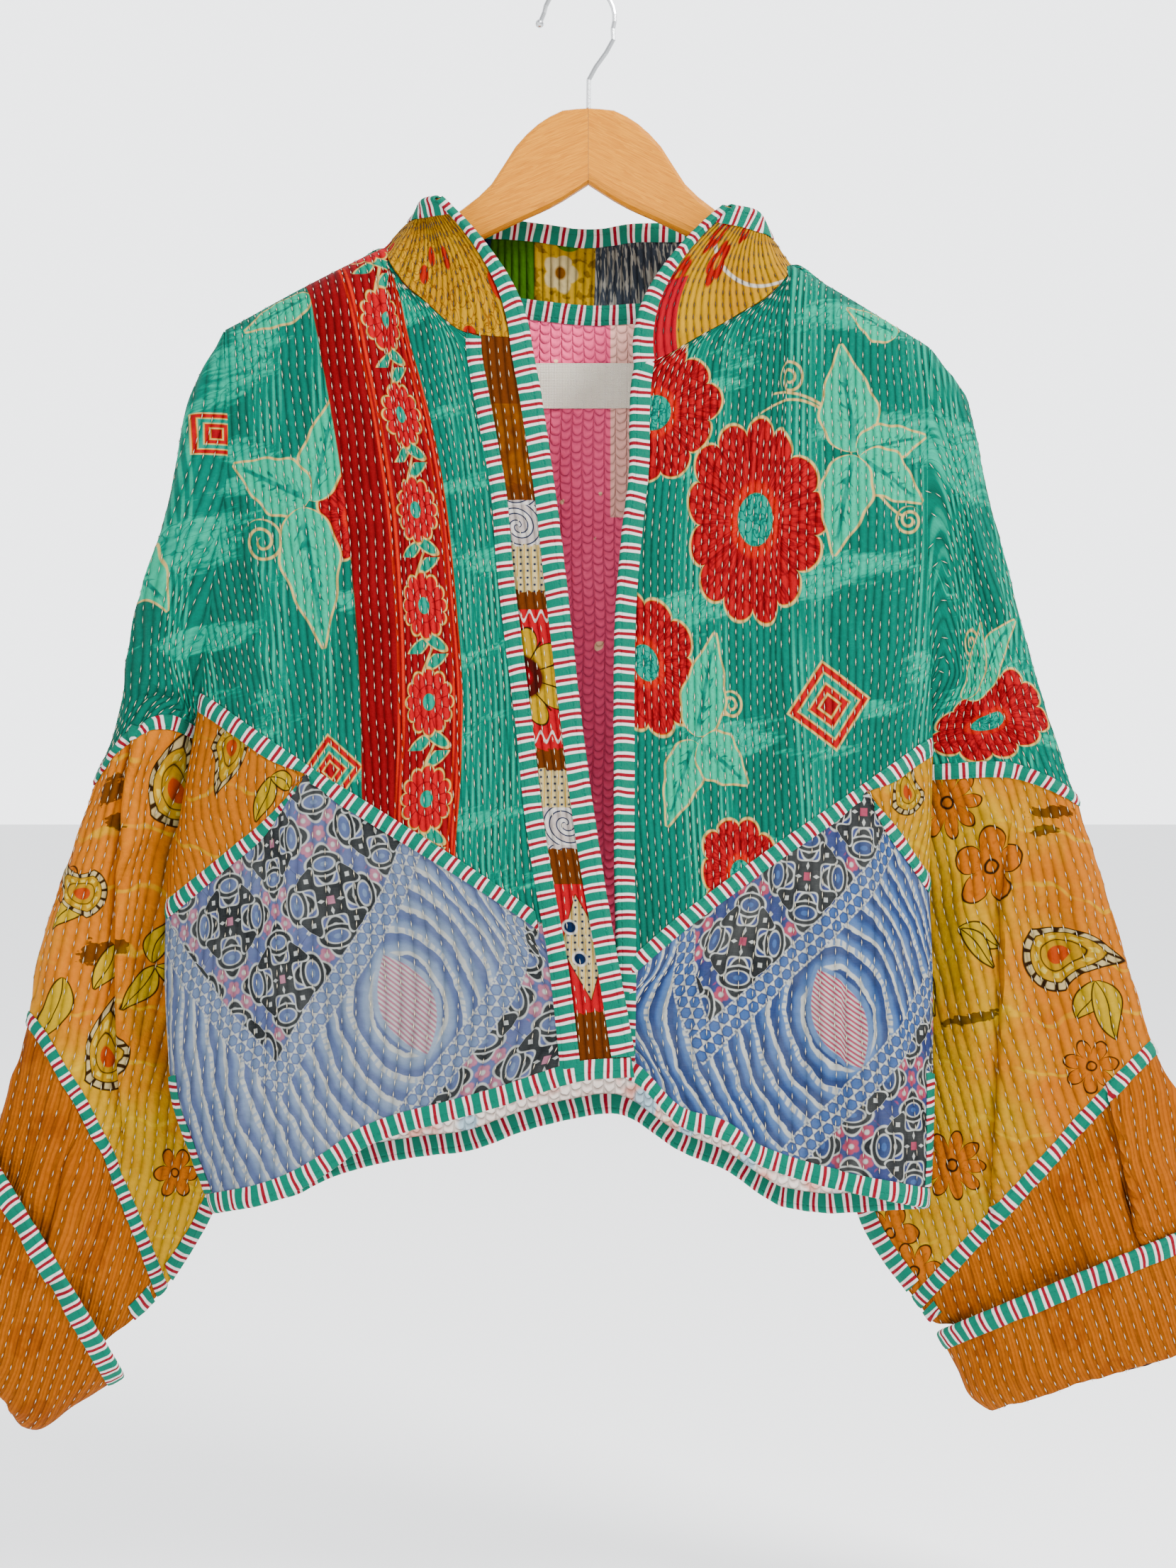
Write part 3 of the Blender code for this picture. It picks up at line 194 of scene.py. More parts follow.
# Grid lines of the panels, as parts of the way across or down
LEFT_COLUMNS = (0, 0.016, 0.055, 0.13, 0.235, 0.345, 0.45, 0.55, 0.647, 0.656, 0.70, 0.81, 0.974, 1)
RIGHT_COLUMNS = (0, 0.018, 0.06, 0.125, 0.206, 0.30, 0.395, 0.485, 0.495, 0.54, 0.66, 0.80, 0.945, 1)
PLACKET_COLUMNS = (0, 0.16, 0.68, 1)
BACK_COLUMNS = (
    0, 0.008, 0.03, 0.07, 0.12, 0.175, 0.224, 0.2285, 0.25, 0.31, 0.38, 0.45, 0.52, 0.59, 0.66,
    0.725, 0.775, 0.795, 0.7996, 0.86, 0.91, 0.95, 0.978, 0.992, 1)
LEFT_CORNER = 5
RIGHT_CORNER = 4
LEFT_NECK = 8
RIGHT_NECK = 7
BACK_NECK = (6, 18)
UPPER_ROWS = (0, 0.006, 0.03, 0.085, 0.165, 0.27, 0.39, 0.52, 0.67, 0.83)
SIDE_ROWS = 4
LOWER_ROWS = (0.22, 0.44, 0.65, 0.84)
SEAM_ROW = 6.0
SEAM_SHARE = 0.3

print("folds of the body:", len(BODY_FOLDS))

# %% [markdown]
# ### The collar and the sleeves
# A sleeve is a tube with a station every few centimetres. After the turn its rows run back up again,
# outside themselves: that is the turned-back end. A cuff could be a ring of its own, but a maker folds
# back the sleeve's own cloth, so it is the same tube here.

# %% Collar, sleeves and label
# Collar: part of the way round from the left tip to the right tip, then side, depth, height
COLLAR_TOP = (
    (0.00, -92, -29, -132), (0.10, -101, -16, -135), (0.20, -104, 1, -142), (0.31, -80, 23, -147),
    (0.42, -41, 29, -149), (0.50, 0, 31, -154), (0.58, 34, 29, -150), (0.69, 82, 23, -150),
    (0.80, 108, 1, -151), (0.90, 103, -16, -142), (1.00, 85, -29, -137))
COLLAR_MIDDLE_ROWS = (0.37, 0.64)
COLLAR_BOW = ((0.0, 10), (0.12, 3), (0.2, 0), (0.8, 0), (0.88, -5), (1.0, -17))

# Sleeves, a row for each station from the armhole to the turned-back end:
# station, outer side, outer height, inner side, inner height, outer depth, inner depth,
# half thickness in front, half thickness behind, lift of the middle
LEFT_SLEEVE = (
    (1, -245, -256, -247, -447, 2, 3, 16, 15, 0),
    (2, -259, -320, -251, -450, 3, 7, 16, 15, 2),
    (3, -272, -380, -253, -454, 3, 11, 17, 15, 6),
    (4, -287, -440, -252, -459, 4, 16, 17, 15, 12),
    (5, -303, -493, -248, -468, 5, 21, 16, 15, 22),
    (6, -318, -539, -237, -510, 7, 27, 15, 15, 13),
    (7, -334, -586, -229, -572, 9, 32, 15, 15, 7),
    (8, -341, -610, -223, -650, 11, 35, 15, 15, 3),
    (9, -343, -626, -226, -738, 12, 34, 15, 15, 5),
    (10, -345, -642, -266, -809, 12, 27, 16, 15, 12),
    (11, -357, -680, -285, -828, 12, 21, 18, 16, 5),
    (12, -372, -722, -303, -842, 12, 18, 18, 15, 0),
    (13, -397, -745, -325, -864, 12, 18, 18, 15, 0),
    (14, -420, -763, -346, -883, 12, 18, 18, 15, 0),
    (15, -430, -764, -354, -893, 12, 18, 24, 22, 0),
    (16, -428, -752, -345, -897, 12, 18, 30, 28, 0),
    (17, -408, -734, -319, -882, 12, 18, 33, 29, 0),
    (18, -382, -712, -290, -864, 12, 18, 36, 30, 0))
RIGHT_SLEEVE = (
    (1, 231, -256, 220, -474, 2, 3, 16, 15, 0),
    (2, 246, -312, 224, -477, 3, 7, 16, 15, 2),
    (3, 260, -368, 225, -481, 3, 11, 16, 15, 4),
    (4, 275, -428, 223, -487, 4, 16, 16, 15, 8),
    (5, 301, -506, 218, -496, 5, 21, 16, 15, 14),
    (6, 318, -556, 195, -545, 7, 29, 16, 15, 8),
    (7, 332, -603, 176, -612, 9, 36, 16, 15, 4),
    (8, 341, -632, 163, -690, 10, 39, 16, 15, 0),
    (9, 345, -648, 173, -768, 11, 35, 17, 15, 0),
    (10, 348, -660, 206, -816, 12, 25, 18, 16, 0),
    (11, 367, -707, 215, -828, 12, 21, 18, 16, 0),
    (12, 387, -769, 231, -832, 12, 18, 18, 15, 0),
    (13, 395, -799, 241, -854, 12, 18, 18, 15, 0),
    (14, 400, -825, 251, -871, 12, 18, 18, 15, 0),
    (15, 407, -837, 251, -885, 12, 18, 24, 22, 0),
    (16, 412, -827, 240, -879, 12, 18, 29, 28, 0),
    (17, 405, -798, 229, -859, 12, 18, 31, 29, 0),
    (18, 398, -764, 218, -838, 12, 18, 33, 30, 0))
SLEEVE_ACROSS = (0, 0.02, 0.08, 0.18, 0.29, 0.36, 0.43, 0.55, 0.70, 0.86, 0.965, 1)
# Rows of the sleeves' grids, as a station and a distance past it along the cloth
SLEEVE_ROWS = (
    (0, 0), (0.5, 0), (1, 0), (2, 0), (3, 0), (4, 0), (5, -5), (5, 0), (5, 5), (6, 0), (7, 0),
    (8, 0), (9, 0), (10, -5), (10, 0), (10, 5), (11, 0), (12, 0), (13, 0), (14, 0), (15, 0), (16, 0),
    (17, 0), (18, -10), (18, 0))
TOP_SEAM = 5
MIDDLE_SEAM = 10
TURN = 15
SLEEVE_END = 18
UNDERARM_START = 8
UNDERARM_END = 11
BLEND_STATIONS = 4.0
SLEEVE_ROUND = (2.4, 0.6)

# Lengthwise folds of the sleeves: first station, last station, place across, half width, push, layer
LEFT_SLEEVE_FOLDS = (
    (4.2, 10.5, 0.17, 0.19, 9.0, -1),
    (5.0, 10.2, 0.62, 0.14, -4.0, -1),
    (10.2, 13.5, 0.45, 0.20, 7.0, -1),
    (3.0, 11.0, 0.35, 0.16, 5.0, 1),
    (4.0, 13.0, 0.70, 0.14, -5.0, 1))
RIGHT_SLEEVE_FOLDS = (
    (2.5, 9.5, 0.60, 0.13, 5.0, -1),
    (5.5, 10.0, 0.30, 0.14, -4.0, -1),
    (10.3, 13.5, 0.34, 0.13, 9.0, -1),
    (3.0, 11.0, 0.40, 0.16, -5.0, 1),
    (4.0, 13.0, 0.72, 0.14, 5.0, 1))

LABEL_SIDE = (-35, 29)
LABEL_HEIGHT = (-263, -235)

print("stations of the sleeves:", len(LEFT_SLEEVE), "and", len(RIGHT_SLEEVE))

# %% [markdown]
# ## From tables to points
# A smooth curve runs through each table. With it, a side and a height become a point on the rounded
# front or back, and a station becomes a point on a sleeve. Straight lines between the rows would be
# simpler, but they leave corners in the cloth.

# %% Curves and points
@lru_cache(maxsize=None)
def curve_through(rows):
    """Places, values and slopes of a smooth curve through rows of (place, value)."""
    table = np.array(sorted(rows), float)
    place, value = table[:, 0], table[:, 1]
    slope = np.diff(value) / np.diff(place)
    tangent = np.zeros(len(value))
    tangent[0], tangent[-1] = slope[0], slope[-1]
    for i in range(1, len(slope)):
        if slope[i - 1] * slope[i] > 0:
            tangent[i] = 2 * slope[i - 1] * slope[i] / (slope[i - 1] + slope[i])
    return place.tolist(), value.tolist(), tangent.tolist()


def cubic(t, run, value, slope, i):
    """Part t of the way along the smooth curve from value i to the next, a run apart."""
    start = (2 * t**3 - 3 * t**2 + 1) * value[i] + (t**3 - 2 * t**2 + t) * run * slope[i]
    return start + (3 * t**2 - 2 * t**3) * value[i + 1] + (t**3 - t**2) * run * slope[i + 1]


def along(rows, at):
    """Smooth value at a place along short rows of (place, value), with no overshoot."""
    place, value, tangent = curve_through(tuple(rows))
    i = min(max(bisect_left(place, at) - 1, 0), len(place) - 2)
    run = place[i + 1] - place[i]
    t = min(max((at - place[i]) / run, 0.0), 1.0)
    return cubic(t, run, value, tangent, i)


def ease(value):
    """Smooth step from 0 to 1."""
    t = min(max(value, 0.0), 1.0)
    return t * t * (3 - 2 * t)


def place(x, y, z):
    """A point as measured at the hanger's depth, set at its own depth."""
    size = 1 + y / EYE_DISTANCE
    return np.array((x * size + HOOK_OFFSET, y, EYE_HEIGHT + (z - EYE_HEIGHT) * size))


def middle_and_half(z):
    """Middle and half width of the body at a height."""
    left, right = along(BODY_LEFT, z), along(BODY_RIGHT, z)
    return (left + right) / 2, (right - left) / 2


def body_folds(x, z, layer):
    """How far the folds push the cloth out at a place."""
    push = 0.0
    for top_x, top_z, low_x, low_z, width, amount, side in BODY_FOLDS:
        if side == layer:
            t = (top_z - z) / (top_z - low_z)
            if t > 0:
                line = top_x + (low_x - top_x) * min(t, 1)
                push += amount * ease(t / FOLD_FADE) * math.exp(-(((x - line) / width) ** 2))
    return push


def body_point(layer, turn, drop, left_front=False):
    """A point of the body: turn goes 0 to pi from side to side, drop from the ridge down."""
    quarter = min(drop, 1.0) * math.pi / 2
    fall = RIDGE_DROP * (1 - math.cos(quarter)) + max(drop - 1.0, 0.0) * RIDGE_DROP
    z = MID_HEIGHT
    for _ in range(12):
        middle, half = middle_and_half(z)
        x = middle - half * math.cos(turn)
        z = along(RIDGE, x) - fall
    underarm = UNDERARM_LEFT if x < 0 else UNDERARM_RIGHT
    closing = min(max((z - underarm) / UNDERARM_CLOSE, 0.0), 1.0) ** CLOSE_POWER
    swell = along(FRONT_DEPTH if layer < 0 else BACK_DEPTH, z)
    rolled = math.sin(min(max(turn, 0.0), math.pi)) ** ROUND_POWER
    sloped = 1 - abs(math.cos(turn)) ** ARMHOLE_SLOPE
    across = closing * sloped + (1 - closing) * rolled
    depth = ARMHOLE_HALF * closing * abs(math.cos(turn)) ** ARMHOLE_POWER + swell * across
    depth += body_folds(x, z, layer) * across
    if left_front:
        down = (OVERLAP_START - z) / (OVERLAP_START - OVERLAP_FULL)
        depth += OVERLAP_PUSH * ease(down) * ease((x + OVERLAP_WIDTH) / OVERLAP_WIDTH)
    return place(x, along(SIDE_LINE, z) + layer * depth * math.sin(quarter), z)


def body_at(layer, x, z, left_front=False):
    """Point of the body at a side and a height."""
    middle, half = middle_and_half(z)
    turn = math.acos(min(max((middle - x) / half, -1.0), 1.0))
    fall = max(along(RIDGE, x) - z, 0.0)
    if fall < RIDGE_DROP:
        drop = math.acos(1 - fall / RIDGE_DROP) / (math.pi / 2)
    else:
        drop = 1 + (fall - RIDGE_DROP) / RIDGE_DROP
    return body_point(layer, turn, drop, left_front)


print("shoulder beside the neck, in metres:", [round(float(k), 3) for k in body_at(-1, -150, -190)])

# %% [markdown]
# ## Grids of the panels
# Each panel is a grid of points. Its first row lies on the top seam, its last on the hem, and the rows
# between are gathered where a slanting seam cuts them. Triangles could fill any outline, but a grid
# keeps its rows and columns in order for the print, the creases and the stitches.

# %% Grids of the panels
def height_on(curve, share, side, edge):
    """Height where a column line, a share of the way from the side to the edge, meets a curve."""
    z = MID_HEIGHT
    for _ in range(16):
        x = along(side, z) + share * (along(edge, z) - along(side, z))
        z = along(curve, x)
    return z


def column_heights(share, side, edge, top, seam, corner_seam, hem):
    """Heights of the grid's rows down one column of a front."""
    start = height_on(top, share, side, edge)
    green = height_on(seam, share, side, edge)
    blue = height_on(corner_seam, share, side, edge) if corner_seam else green
    end = height_on(hem, share, side, edge)
    upper = [start + part * (green - start) for part in UPPER_ROWS] + [green + SEAM_ROW, green]
    rise = min(SEAM_ROW, SEAM_SHARE * (green - blue))
    between = [green - rise, (green + blue) / 2, blue + rise, blue]
    lower_top, lower_end = blue - SEAM_ROW, end + EDGE_BINDING
    lower = [lower_top] + [lower_top + part * (lower_end - lower_top) for part in LOWER_ROWS]
    return upper + between + lower + [lower_end, end]


GREEN_ROW = len(UPPER_ROWS) + 1
BLUE_ROW = GREEN_ROW + SIDE_ROWS
HEM_ROW = BLUE_ROW + len(LOWER_ROWS) + 3
KEPT_ROWS = list(range(GREEN_ROW + 1)) + list(range(BLUE_ROW + 1, HEM_ROW + 1))


def front_grid(side, edge, columns, corner, tops, seam, corner_seam, hem, left_front):
    """The whole front's grid, with its rows gathered at the seam beyond the side triangle."""
    points = []
    for index, share in enumerate(columns):
        own_corner = corner_seam if index < corner else None
        heights = column_heights(share, side, edge, tops(index), seam, own_corner, hem)
        points.append([
            body_at(-1, along(side, z) + share * (along(edge, z) - along(side, z)), z, left_front)
            for z in heights])
    return np.array(points).transpose(1, 0, 2)


def sleeve_folds(folds, station, across, layer):
    """How far the lengthwise folds push a sleeve out."""
    push = 0.0
    for first, last, centre, width, amount, side in folds:
        if side == layer:
            t = (station - first) / (last - first)
            fade = ease(t / FOLD_FADE) * ease((1 - t) / FOLD_FADE)
            push += amount * fade * math.exp(-(((across - centre) / width) ** 2))
    return push


def sleeve_point(table, folds, station, across, layer):
    """A point of a sleeve: across goes from the outer edge to the inner one."""
    row = [along([(r[0], r[i]) for r in table], station) for i in range(1, 10)]
    out_x, out_z, in_x, in_z, out_y, in_y, front, behind, lift = row
    x = out_x + (in_x - out_x) * across
    z = out_z + (in_z - out_z) * across + lift * 4 * across * (1 - across)
    y = out_y + (in_y - out_y) * across
    round_out = (1 - abs(2 * across - 1) ** SLEEVE_ROUND[0]) ** SLEEVE_ROUND[1]
    half = front if layer < 0 else behind
    push = sleeve_folds(folds, station, across, layer) * round_out
    return place(x, y + layer * (half * round_out + push), z)


def back_grid(left_heights, right_heights):
    """The back's grid, whose ends share the heights of the fronts' side edges."""
    points = []
    shares = [[(h[0] - z) / (h[0] - h[-1]) for z in h] for h in (left_heights, right_heights)]
    for index, share in enumerate(BACK_COLUMNS):
        curve = NECK_BACK if BACK_NECK[0] < index < BACK_NECK[1] else RIDGE
        top = height_on(curve, share, BODY_LEFT, BODY_RIGHT)
        hem = height_on(HEM_BACK, share, BODY_LEFT, BODY_RIGHT)
        parts = [a + (b - a) * share for a, b in zip(*shares)]
        heights = [top - part * (top - hem) for part in parts]
        heights[-2] = hem + EDGE_BINDING
        if share == 0:
            heights = left_heights
        if share == 1:
            heights = right_heights
        column = []
        for z in heights:
            start = along(BODY_LEFT, z)
            column.append(body_at(1, start + share * (along(BODY_RIGHT, z) - start), z))
        points.append(column)
    return np.array(points).transpose(1, 0, 2)


def placket_grid():
    """The placket band's grid, from the left front's last column to the front edge."""
    heights = column_heights(1, BODY_LEFT, PLACKET_SEAM, NECK_LEFT, GREEN_LEFT, None, HEM_LEFT)
    heights = [heights[i] for i in KEPT_ROWS]
    points = []
    for share in PLACKET_COLUMNS:
        top = height_on(NECK_LEFT, share, PLACKET_SEAM, EDGE_LEFT)
        hem = height_on(HEM_LEFT, share, PLACKET_SEAM, EDGE_LEFT)
        column = []
        for height in heights:
            part = (heights[0] - height) / (heights[0] - heights[-1])
            z = top - part * (top - hem)
            start = along(PLACKET_SEAM, z)
            column.append(body_at(-1, start + share * (along(EDGE_LEFT, z) - start), z, True))
        points.append(column)
    return np.array(points).transpose(1, 0, 2)


print("rows down a front:", HEM_ROW + 1)

# %% [markdown]
# ## From a coarse pattern to fine cloth
# The pattern's grids have a point every few centimetres. Cloth needs one every 3 mm, so a smooth
# curve is drawn through the points along each row, then along each column. Every panel is refined on
# its own, because its seams are where the cloth may bend sharply.

# %% Directions and lengths
FINE = 3.0
NOTHING = 1e-9


def unit(ways):
    """The same directions with a length of 1."""
    return ways / np.maximum(np.linalg.norm(ways, axis=-1, keepdims=True), NOTHING)


def lengths_along(points, axis=0):
    """Distance gone along the points up to each of them."""
    steps = np.linalg.norm(np.diff(points, axis=axis), axis=-1)
    start = np.zeros_like(np.take(steps, [0], axis))
    return np.concatenate([start, np.cumsum(steps, axis=axis)], axis=axis)


def smooth_step(share):
    """0 below 0 and 1 above 1, with an even ease between."""
    share = np.clip(share, 0, 1)
    return share * share * (3 - 2 * share)


print("fine points stand", FINE, "mm apart")

# %% Smooth curves through a grid
CORNER_REACH = 45.0
LEAST_GAP = 0.4


def spline(values, at, where):
    """Smooth curves through values given at places, read at other places along the first axis."""
    values, at, where = np.asarray(values, float), np.asarray(at, float), np.asarray(where, float)
    step = np.diff(at)
    shape = (-1,) + (1,) * (values.ndim - 1)
    slope = np.diff(values, axis=0) / step.reshape(shape)
    tangent = np.empty_like(values)
    tangent[0], tangent[-1] = slope[0], slope[-1]
    before, after = step[:-1].reshape(shape), step[1:].reshape(shape)
    tangent[1:-1] = (after * slope[:-1] + before * slope[1:]) / (before + after)
    i = np.clip(np.searchsorted(at, where, side="right") - 1, 0, len(step) - 1)
    t = ((where - at[i]) / step[i]).reshape(shape)
    return cubic(t, step[i].reshape(shape), values, tangent, i)


def spacing(points, axis):
    """Mean distance from each line of a grid to the next."""
    gap = np.linalg.norm(np.diff(points, axis=axis), axis=-1)
    return np.maximum(gap.mean(axis=1 - axis), LEAST_GAP)


def counts_for(points, axis):
    """How many fine steps each interval takes."""
    return np.maximum(np.round(spacing(points, axis) / FINE), 1).astype(int)


def fine_places(knots, counts):
    """Places of the fine lines between the coarse ones, and the fine index of each coarse line."""
    places = [knots[0]]
    for a, b, n in zip(knots, knots[1:], counts):
        places.extend(a + (b - a) * (i + 1) / n for i in range(n))
    return np.array(places), np.concatenate([[0], np.cumsum(counts)])


def refine(points, row_counts=None, column_counts=None, corners=()):
    """A fine grid through a coarse one, with the fine indices of the coarse rows and columns.

    Corners are coarse columns where the top row turns sharply, as a neck line does at the shoulder."""
    places = []
    for axis, counts in ((0, row_counts), (1, column_counts)):
        counts = counts_for(points, axis) if counts is None else counts
        knots = np.concatenate([[0], np.cumsum(spacing(points, axis))])
        fine_at, index = fine_places(knots, counts)
        smooth = np.moveaxis(spline(np.moveaxis(points, axis, 0), knots, fine_at), 0, axis)
        if axis == 1 and corners:
            stops = [0, *corners, points.shape[1] - 1]
            parts = []
            for a, b in zip(stops, stops[1:]):
                inside = fine_at[index[a]:index[b] + 1]
                part = spline(points[:, a:b + 1].transpose(1, 0, 2), knots[a:b + 1], inside)
                parts.append(part.transpose(1, 0, 2)[:, 1 if a else 0:])
            down = np.linalg.norm(smooth - smooth[:1], axis=-1)[..., None]
            share = np.clip(1 - down / CORNER_REACH, 0, 1) ** 2
            smooth = smooth * (1 - share) + np.concatenate(parts, axis=1) * share
        points = smooth
        places.append(index)
    return points, places[0], places[1]


print("half way up a smooth step:", float(smooth_step(0.5)))

# %% [markdown]
# ## Creases and puckers
# Old cotton that has been stitched all over never hangs flat. The deep creases are placed one by one, as
# short bent lines with a width and a depth. The small puckers come from a smooth random field, the
# same in every run, which is stretched along the rows of stitches.

# %% A smooth random field
# Large odd numbers that stir a place into a random one, and the bits that are kept
STIR_ACROSS, STIR_DOWN, STIR_SEED, STIR_AGAIN = 374761393, 668265263, 974711, 1274126177
KEPT_BITS, LOW_BITS = 0x7FFFFFFF, 0xFFFF
# Puckers: width and length of the patches in millimetres, and their share of the height
PUCKERS = ((5.1, 12.0, 1.0), (17.0, 26.0, 1.2), (42.0, 60.0, 2.0))
PUCKER_HEIGHT = 0.5
# A crease is a ridge with a shallow valley beside it, in parts of its own width
CREASE_DEPTH, CREASE_RISE, CREASE_FALL = 1.5, 0.25, 0.35
VALLEY_DEPTH, VALLEY_AWAY, VALLEY_WIDTH = 0.45, 1.7, 1.3
# A fold that lies over its neighbour stands up within a few millimetres of its line
OVERLAP_RISE, OVERLAP_FALL, OVERLAP_STEEP, OVERLAP_HANG = 0.3, 0.2, 4.0, 0.9


def lattice(i, j, seed):
    """A repeatable random value at each whole place."""
    n = (i.astype(np.int64) * STIR_ACROSS + j.astype(np.int64) * STIR_DOWN + seed * STIR_SEED) & KEPT_BITS
    n = ((n ^ (n >> 13)) * STIR_AGAIN) & KEPT_BITS
    return ((n ^ (n >> 16)) & LOW_BITS) / (LOW_BITS / 2) - 1


def field(u, v, seed):
    """Smooth random values from -1 to 1 over a plane."""
    i, j = np.floor(u), np.floor(v)
    s, t = u - i, v - j
    s, t = smooth_step(s), smooth_step(t)
    low = lattice(i, j, seed) * (1 - s) + lattice(i + 1, j, seed) * s
    high = lattice(i, j + 1, seed) * (1 - s) + lattice(i + 1, j + 1, seed) * s
    return low * (1 - t) + high * t


def beside_line(u, v, line, rise, fall):
    """Distance to the side of a bent line, and a fade at its ends."""
    start_u, start_v, end_u, end_v, bend = line
    run = np.array((end_u - start_u, end_v - start_v))
    length = np.linalg.norm(run)
    run = run / length
    t = ((u - start_u) * run[0] + (v - start_v) * run[1]) / length
    side = (v - start_v) * run[0] - (u - start_u) * run[1] - bend * 4 * t * (1 - t)
    return side, smooth_step(np.clip(t / rise, 0, 1) * np.clip((1 - t) / fall, 0, 1))


def crease(u, v, line):
    """Height of one crease: from a place to a place, bent sideways in the middle, with its width."""
    *line, width, height = line
    side, fade = beside_line(u, v, line, CREASE_RISE, CREASE_FALL)
    valley = np.exp(-((side - VALLEY_AWAY * width) / (VALLEY_WIDTH * width)) ** 2)
    return height * fade * (np.exp(-(side / width) ** 2) - VALLEY_DEPTH * valley)


def overlap(u, v, line):
    """A lengthwise fold that lies over the cloth beside it: its height, and its reach over the line."""
    *line, reach, height = line
    side, fade = beside_line(u, v, line, OVERLAP_RISE, OVERLAP_FALL)
    rise = fade * np.clip(side / OVERLAP_STEEP, 0, 1) ** 0.6 * np.exp(-(np.maximum(side, 0) / reach) ** 2)
    return height * rise, OVERLAP_HANG * height * rise


def relief(flat, creases, lean, seed):
    """Height of creases and puckers over a panel, from its flat places."""
    u, v = flat[..., 0], flat[..., 1]
    across, down = u * math.cos(lean) + v * math.sin(lean), v * math.cos(lean) - u * math.sin(lean)
    height = np.zeros_like(u)
    for k, (width, length, share) in enumerate(PUCKERS):
        height += share * PUCKER_HEIGHT * field(across / width, down / length, seed + k)
    for line in creases:
        height += CREASE_DEPTH * crease(u, v, line)
    return height


print("random values:", field(np.arange(4) * 0.7, np.zeros(4), 1).round(2))

# %% [markdown]
# ## A panel of cloth
# A panel keeps its fine points, the direction out of the cloth at each, and its flat place in
# millimetres. The flat place is where the print lies. It follows the front view in the middle of a
# panel and runs on along the cloth towards the sides, as a print does on real cloth.

# %% Panels
def out_directions(points, closed=False):
    """Direction out of the cloth at each point of a grid, up to its sign."""
    down = np.gradient(points, axis=0)
    if closed:
        across = np.roll(points[:, :-1], -1, axis=1) - np.roll(points[:, :-1], 1, axis=1)
        across = np.concatenate([across, across[:, :1]], axis=1)
    else:
        across = np.gradient(points, axis=1)
    return unit(np.cross(across, down))


def photo_plane(points):
    """Side and height of each point as the front view shows them."""
    size = 1 + points[..., 1] / EYE_DISTANCE
    return np.stack([(points[..., 0] - HOOK_OFFSET) / size,
                     EYE_HEIGHT + (points[..., 2] - EYE_HEIGHT) / size], axis=-1)


class Panel:
    """A fine grid of cloth: points on its inner face, directions out, and flat places."""

    def __init__(self, points, out, flat, rows=None, columns=None):
        self.points, self.out, self.flat = points, out, flat
        self.rows, self.columns = rows, columns

    def cut(self, rows=(0, -1), columns=(0, -1)):
        """A stretch between fine rows and fine columns, both kept; negative ones count from the end."""
        area = tuple(slice(start % count, end % count + 1)
                     for (start, end), count in zip((rows, columns), self.flat.shape))
        return self.each(lambda grid: grid[area])

    def each(self, change):
        """A panel made by changing all three grids in the same way."""
        return Panel(change(self.points), change(self.out), change(self.flat))

    def raised(self, height):
        """The same panel with its cloth pushed out by a height at each point."""
        return Panel(self.points + self.out * height[..., None], self.out, self.flat,
                     self.rows, self.columns)

    def pulled(self, reach):
        """The same panel with its cloth pulled sideways along itself, against its flat places."""
        way = np.gradient(self.points, axis=1) * np.sign(np.gradient(self.flat[..., 0], axis=1))[..., None]
        return Panel(self.points - unit(way) * reach[..., None], self.out, self.flat, self.rows, self.columns)

    def turned(self):
        """Rows and columns exchanged."""
        return self.each(lambda grid: grid.transpose(1, 0, 2))


def flat_places(points, row, column):
    """Flat places of a body panel: true along its middle lines, then along the cloth."""
    seen = photo_plane(points)
    across, down = lengths_along(points, 1), lengths_along(points, 0)
    sign = np.sign(seen[:, -1:, 0] - seen[:, :1, 0])
    u = seen[:, column:column + 1, 0] + sign * (across - across[:, column:column + 1])
    v = seen[row:row + 1, :, 1] - (down - down[row:row + 1])
    return np.stack([u, v], axis=-1)


print("side of a point on the hook's line:", photo_plane(np.array((HOOK_OFFSET, 0.0, 0.0)))[0])

# %% [markdown]
# ## The body's panels
# The pattern functions give the coarse grids: both fronts, the back, the placket band and both
# sleeves. Each front is refined as three panels, because it is sewn from three cloths. All three come
# from one grid, so that panels which share a seam share its points and never gape.

# %% Coarse grids
left = front_grid(
    BODY_LEFT, PLACKET_SEAM, LEFT_COLUMNS, LEFT_CORNER,
    lambda index: NECK_LEFT if index > LEFT_NECK else RIDGE, GREEN_LEFT, BLUE_LEFT, HEM_LEFT, True)
right = front_grid(
    BODY_RIGHT, EDGE_RIGHT, RIGHT_COLUMNS, RIGHT_CORNER,
    lambda index: NECK_RIGHT if index > RIGHT_NECK else RIDGE, GREEN_RIGHT, BLUE_RIGHT, HEM_RIGHT, False)
back = back_grid(
    column_heights(0, BODY_LEFT, PLACKET_SEAM, RIDGE, GREEN_LEFT, BLUE_LEFT, HEM_LEFT),
    column_heights(0, BODY_RIGHT, EDGE_RIGHT, RIDGE, GREEN_RIGHT, BLUE_RIGHT, HEM_RIGHT))
placket = placket_grid()
print("coarse grids:", left.shape, right.shape, back.shape, placket.shape)

# %% Fine panels of the body
# Coarse rows and columns where the flat places follow the front view
UPPER_MIDDLE, LOWER_MIDDLE, FRONT_MIDDLE, LONG_MIDDLE, BACK_MIDDLE = 7, 2, 5, 8, 12
upper_counts = counts_for(left[:GREEN_ROW + 1], 0)
side_counts = np.maximum(counts_for(left[GREEN_ROW:BLUE_ROW + 1, :LEFT_CORNER - 1], 0), 1)
lower_counts = counts_for(left[BLUE_ROW:HEM_ROW + 1], 0)
fine = {}


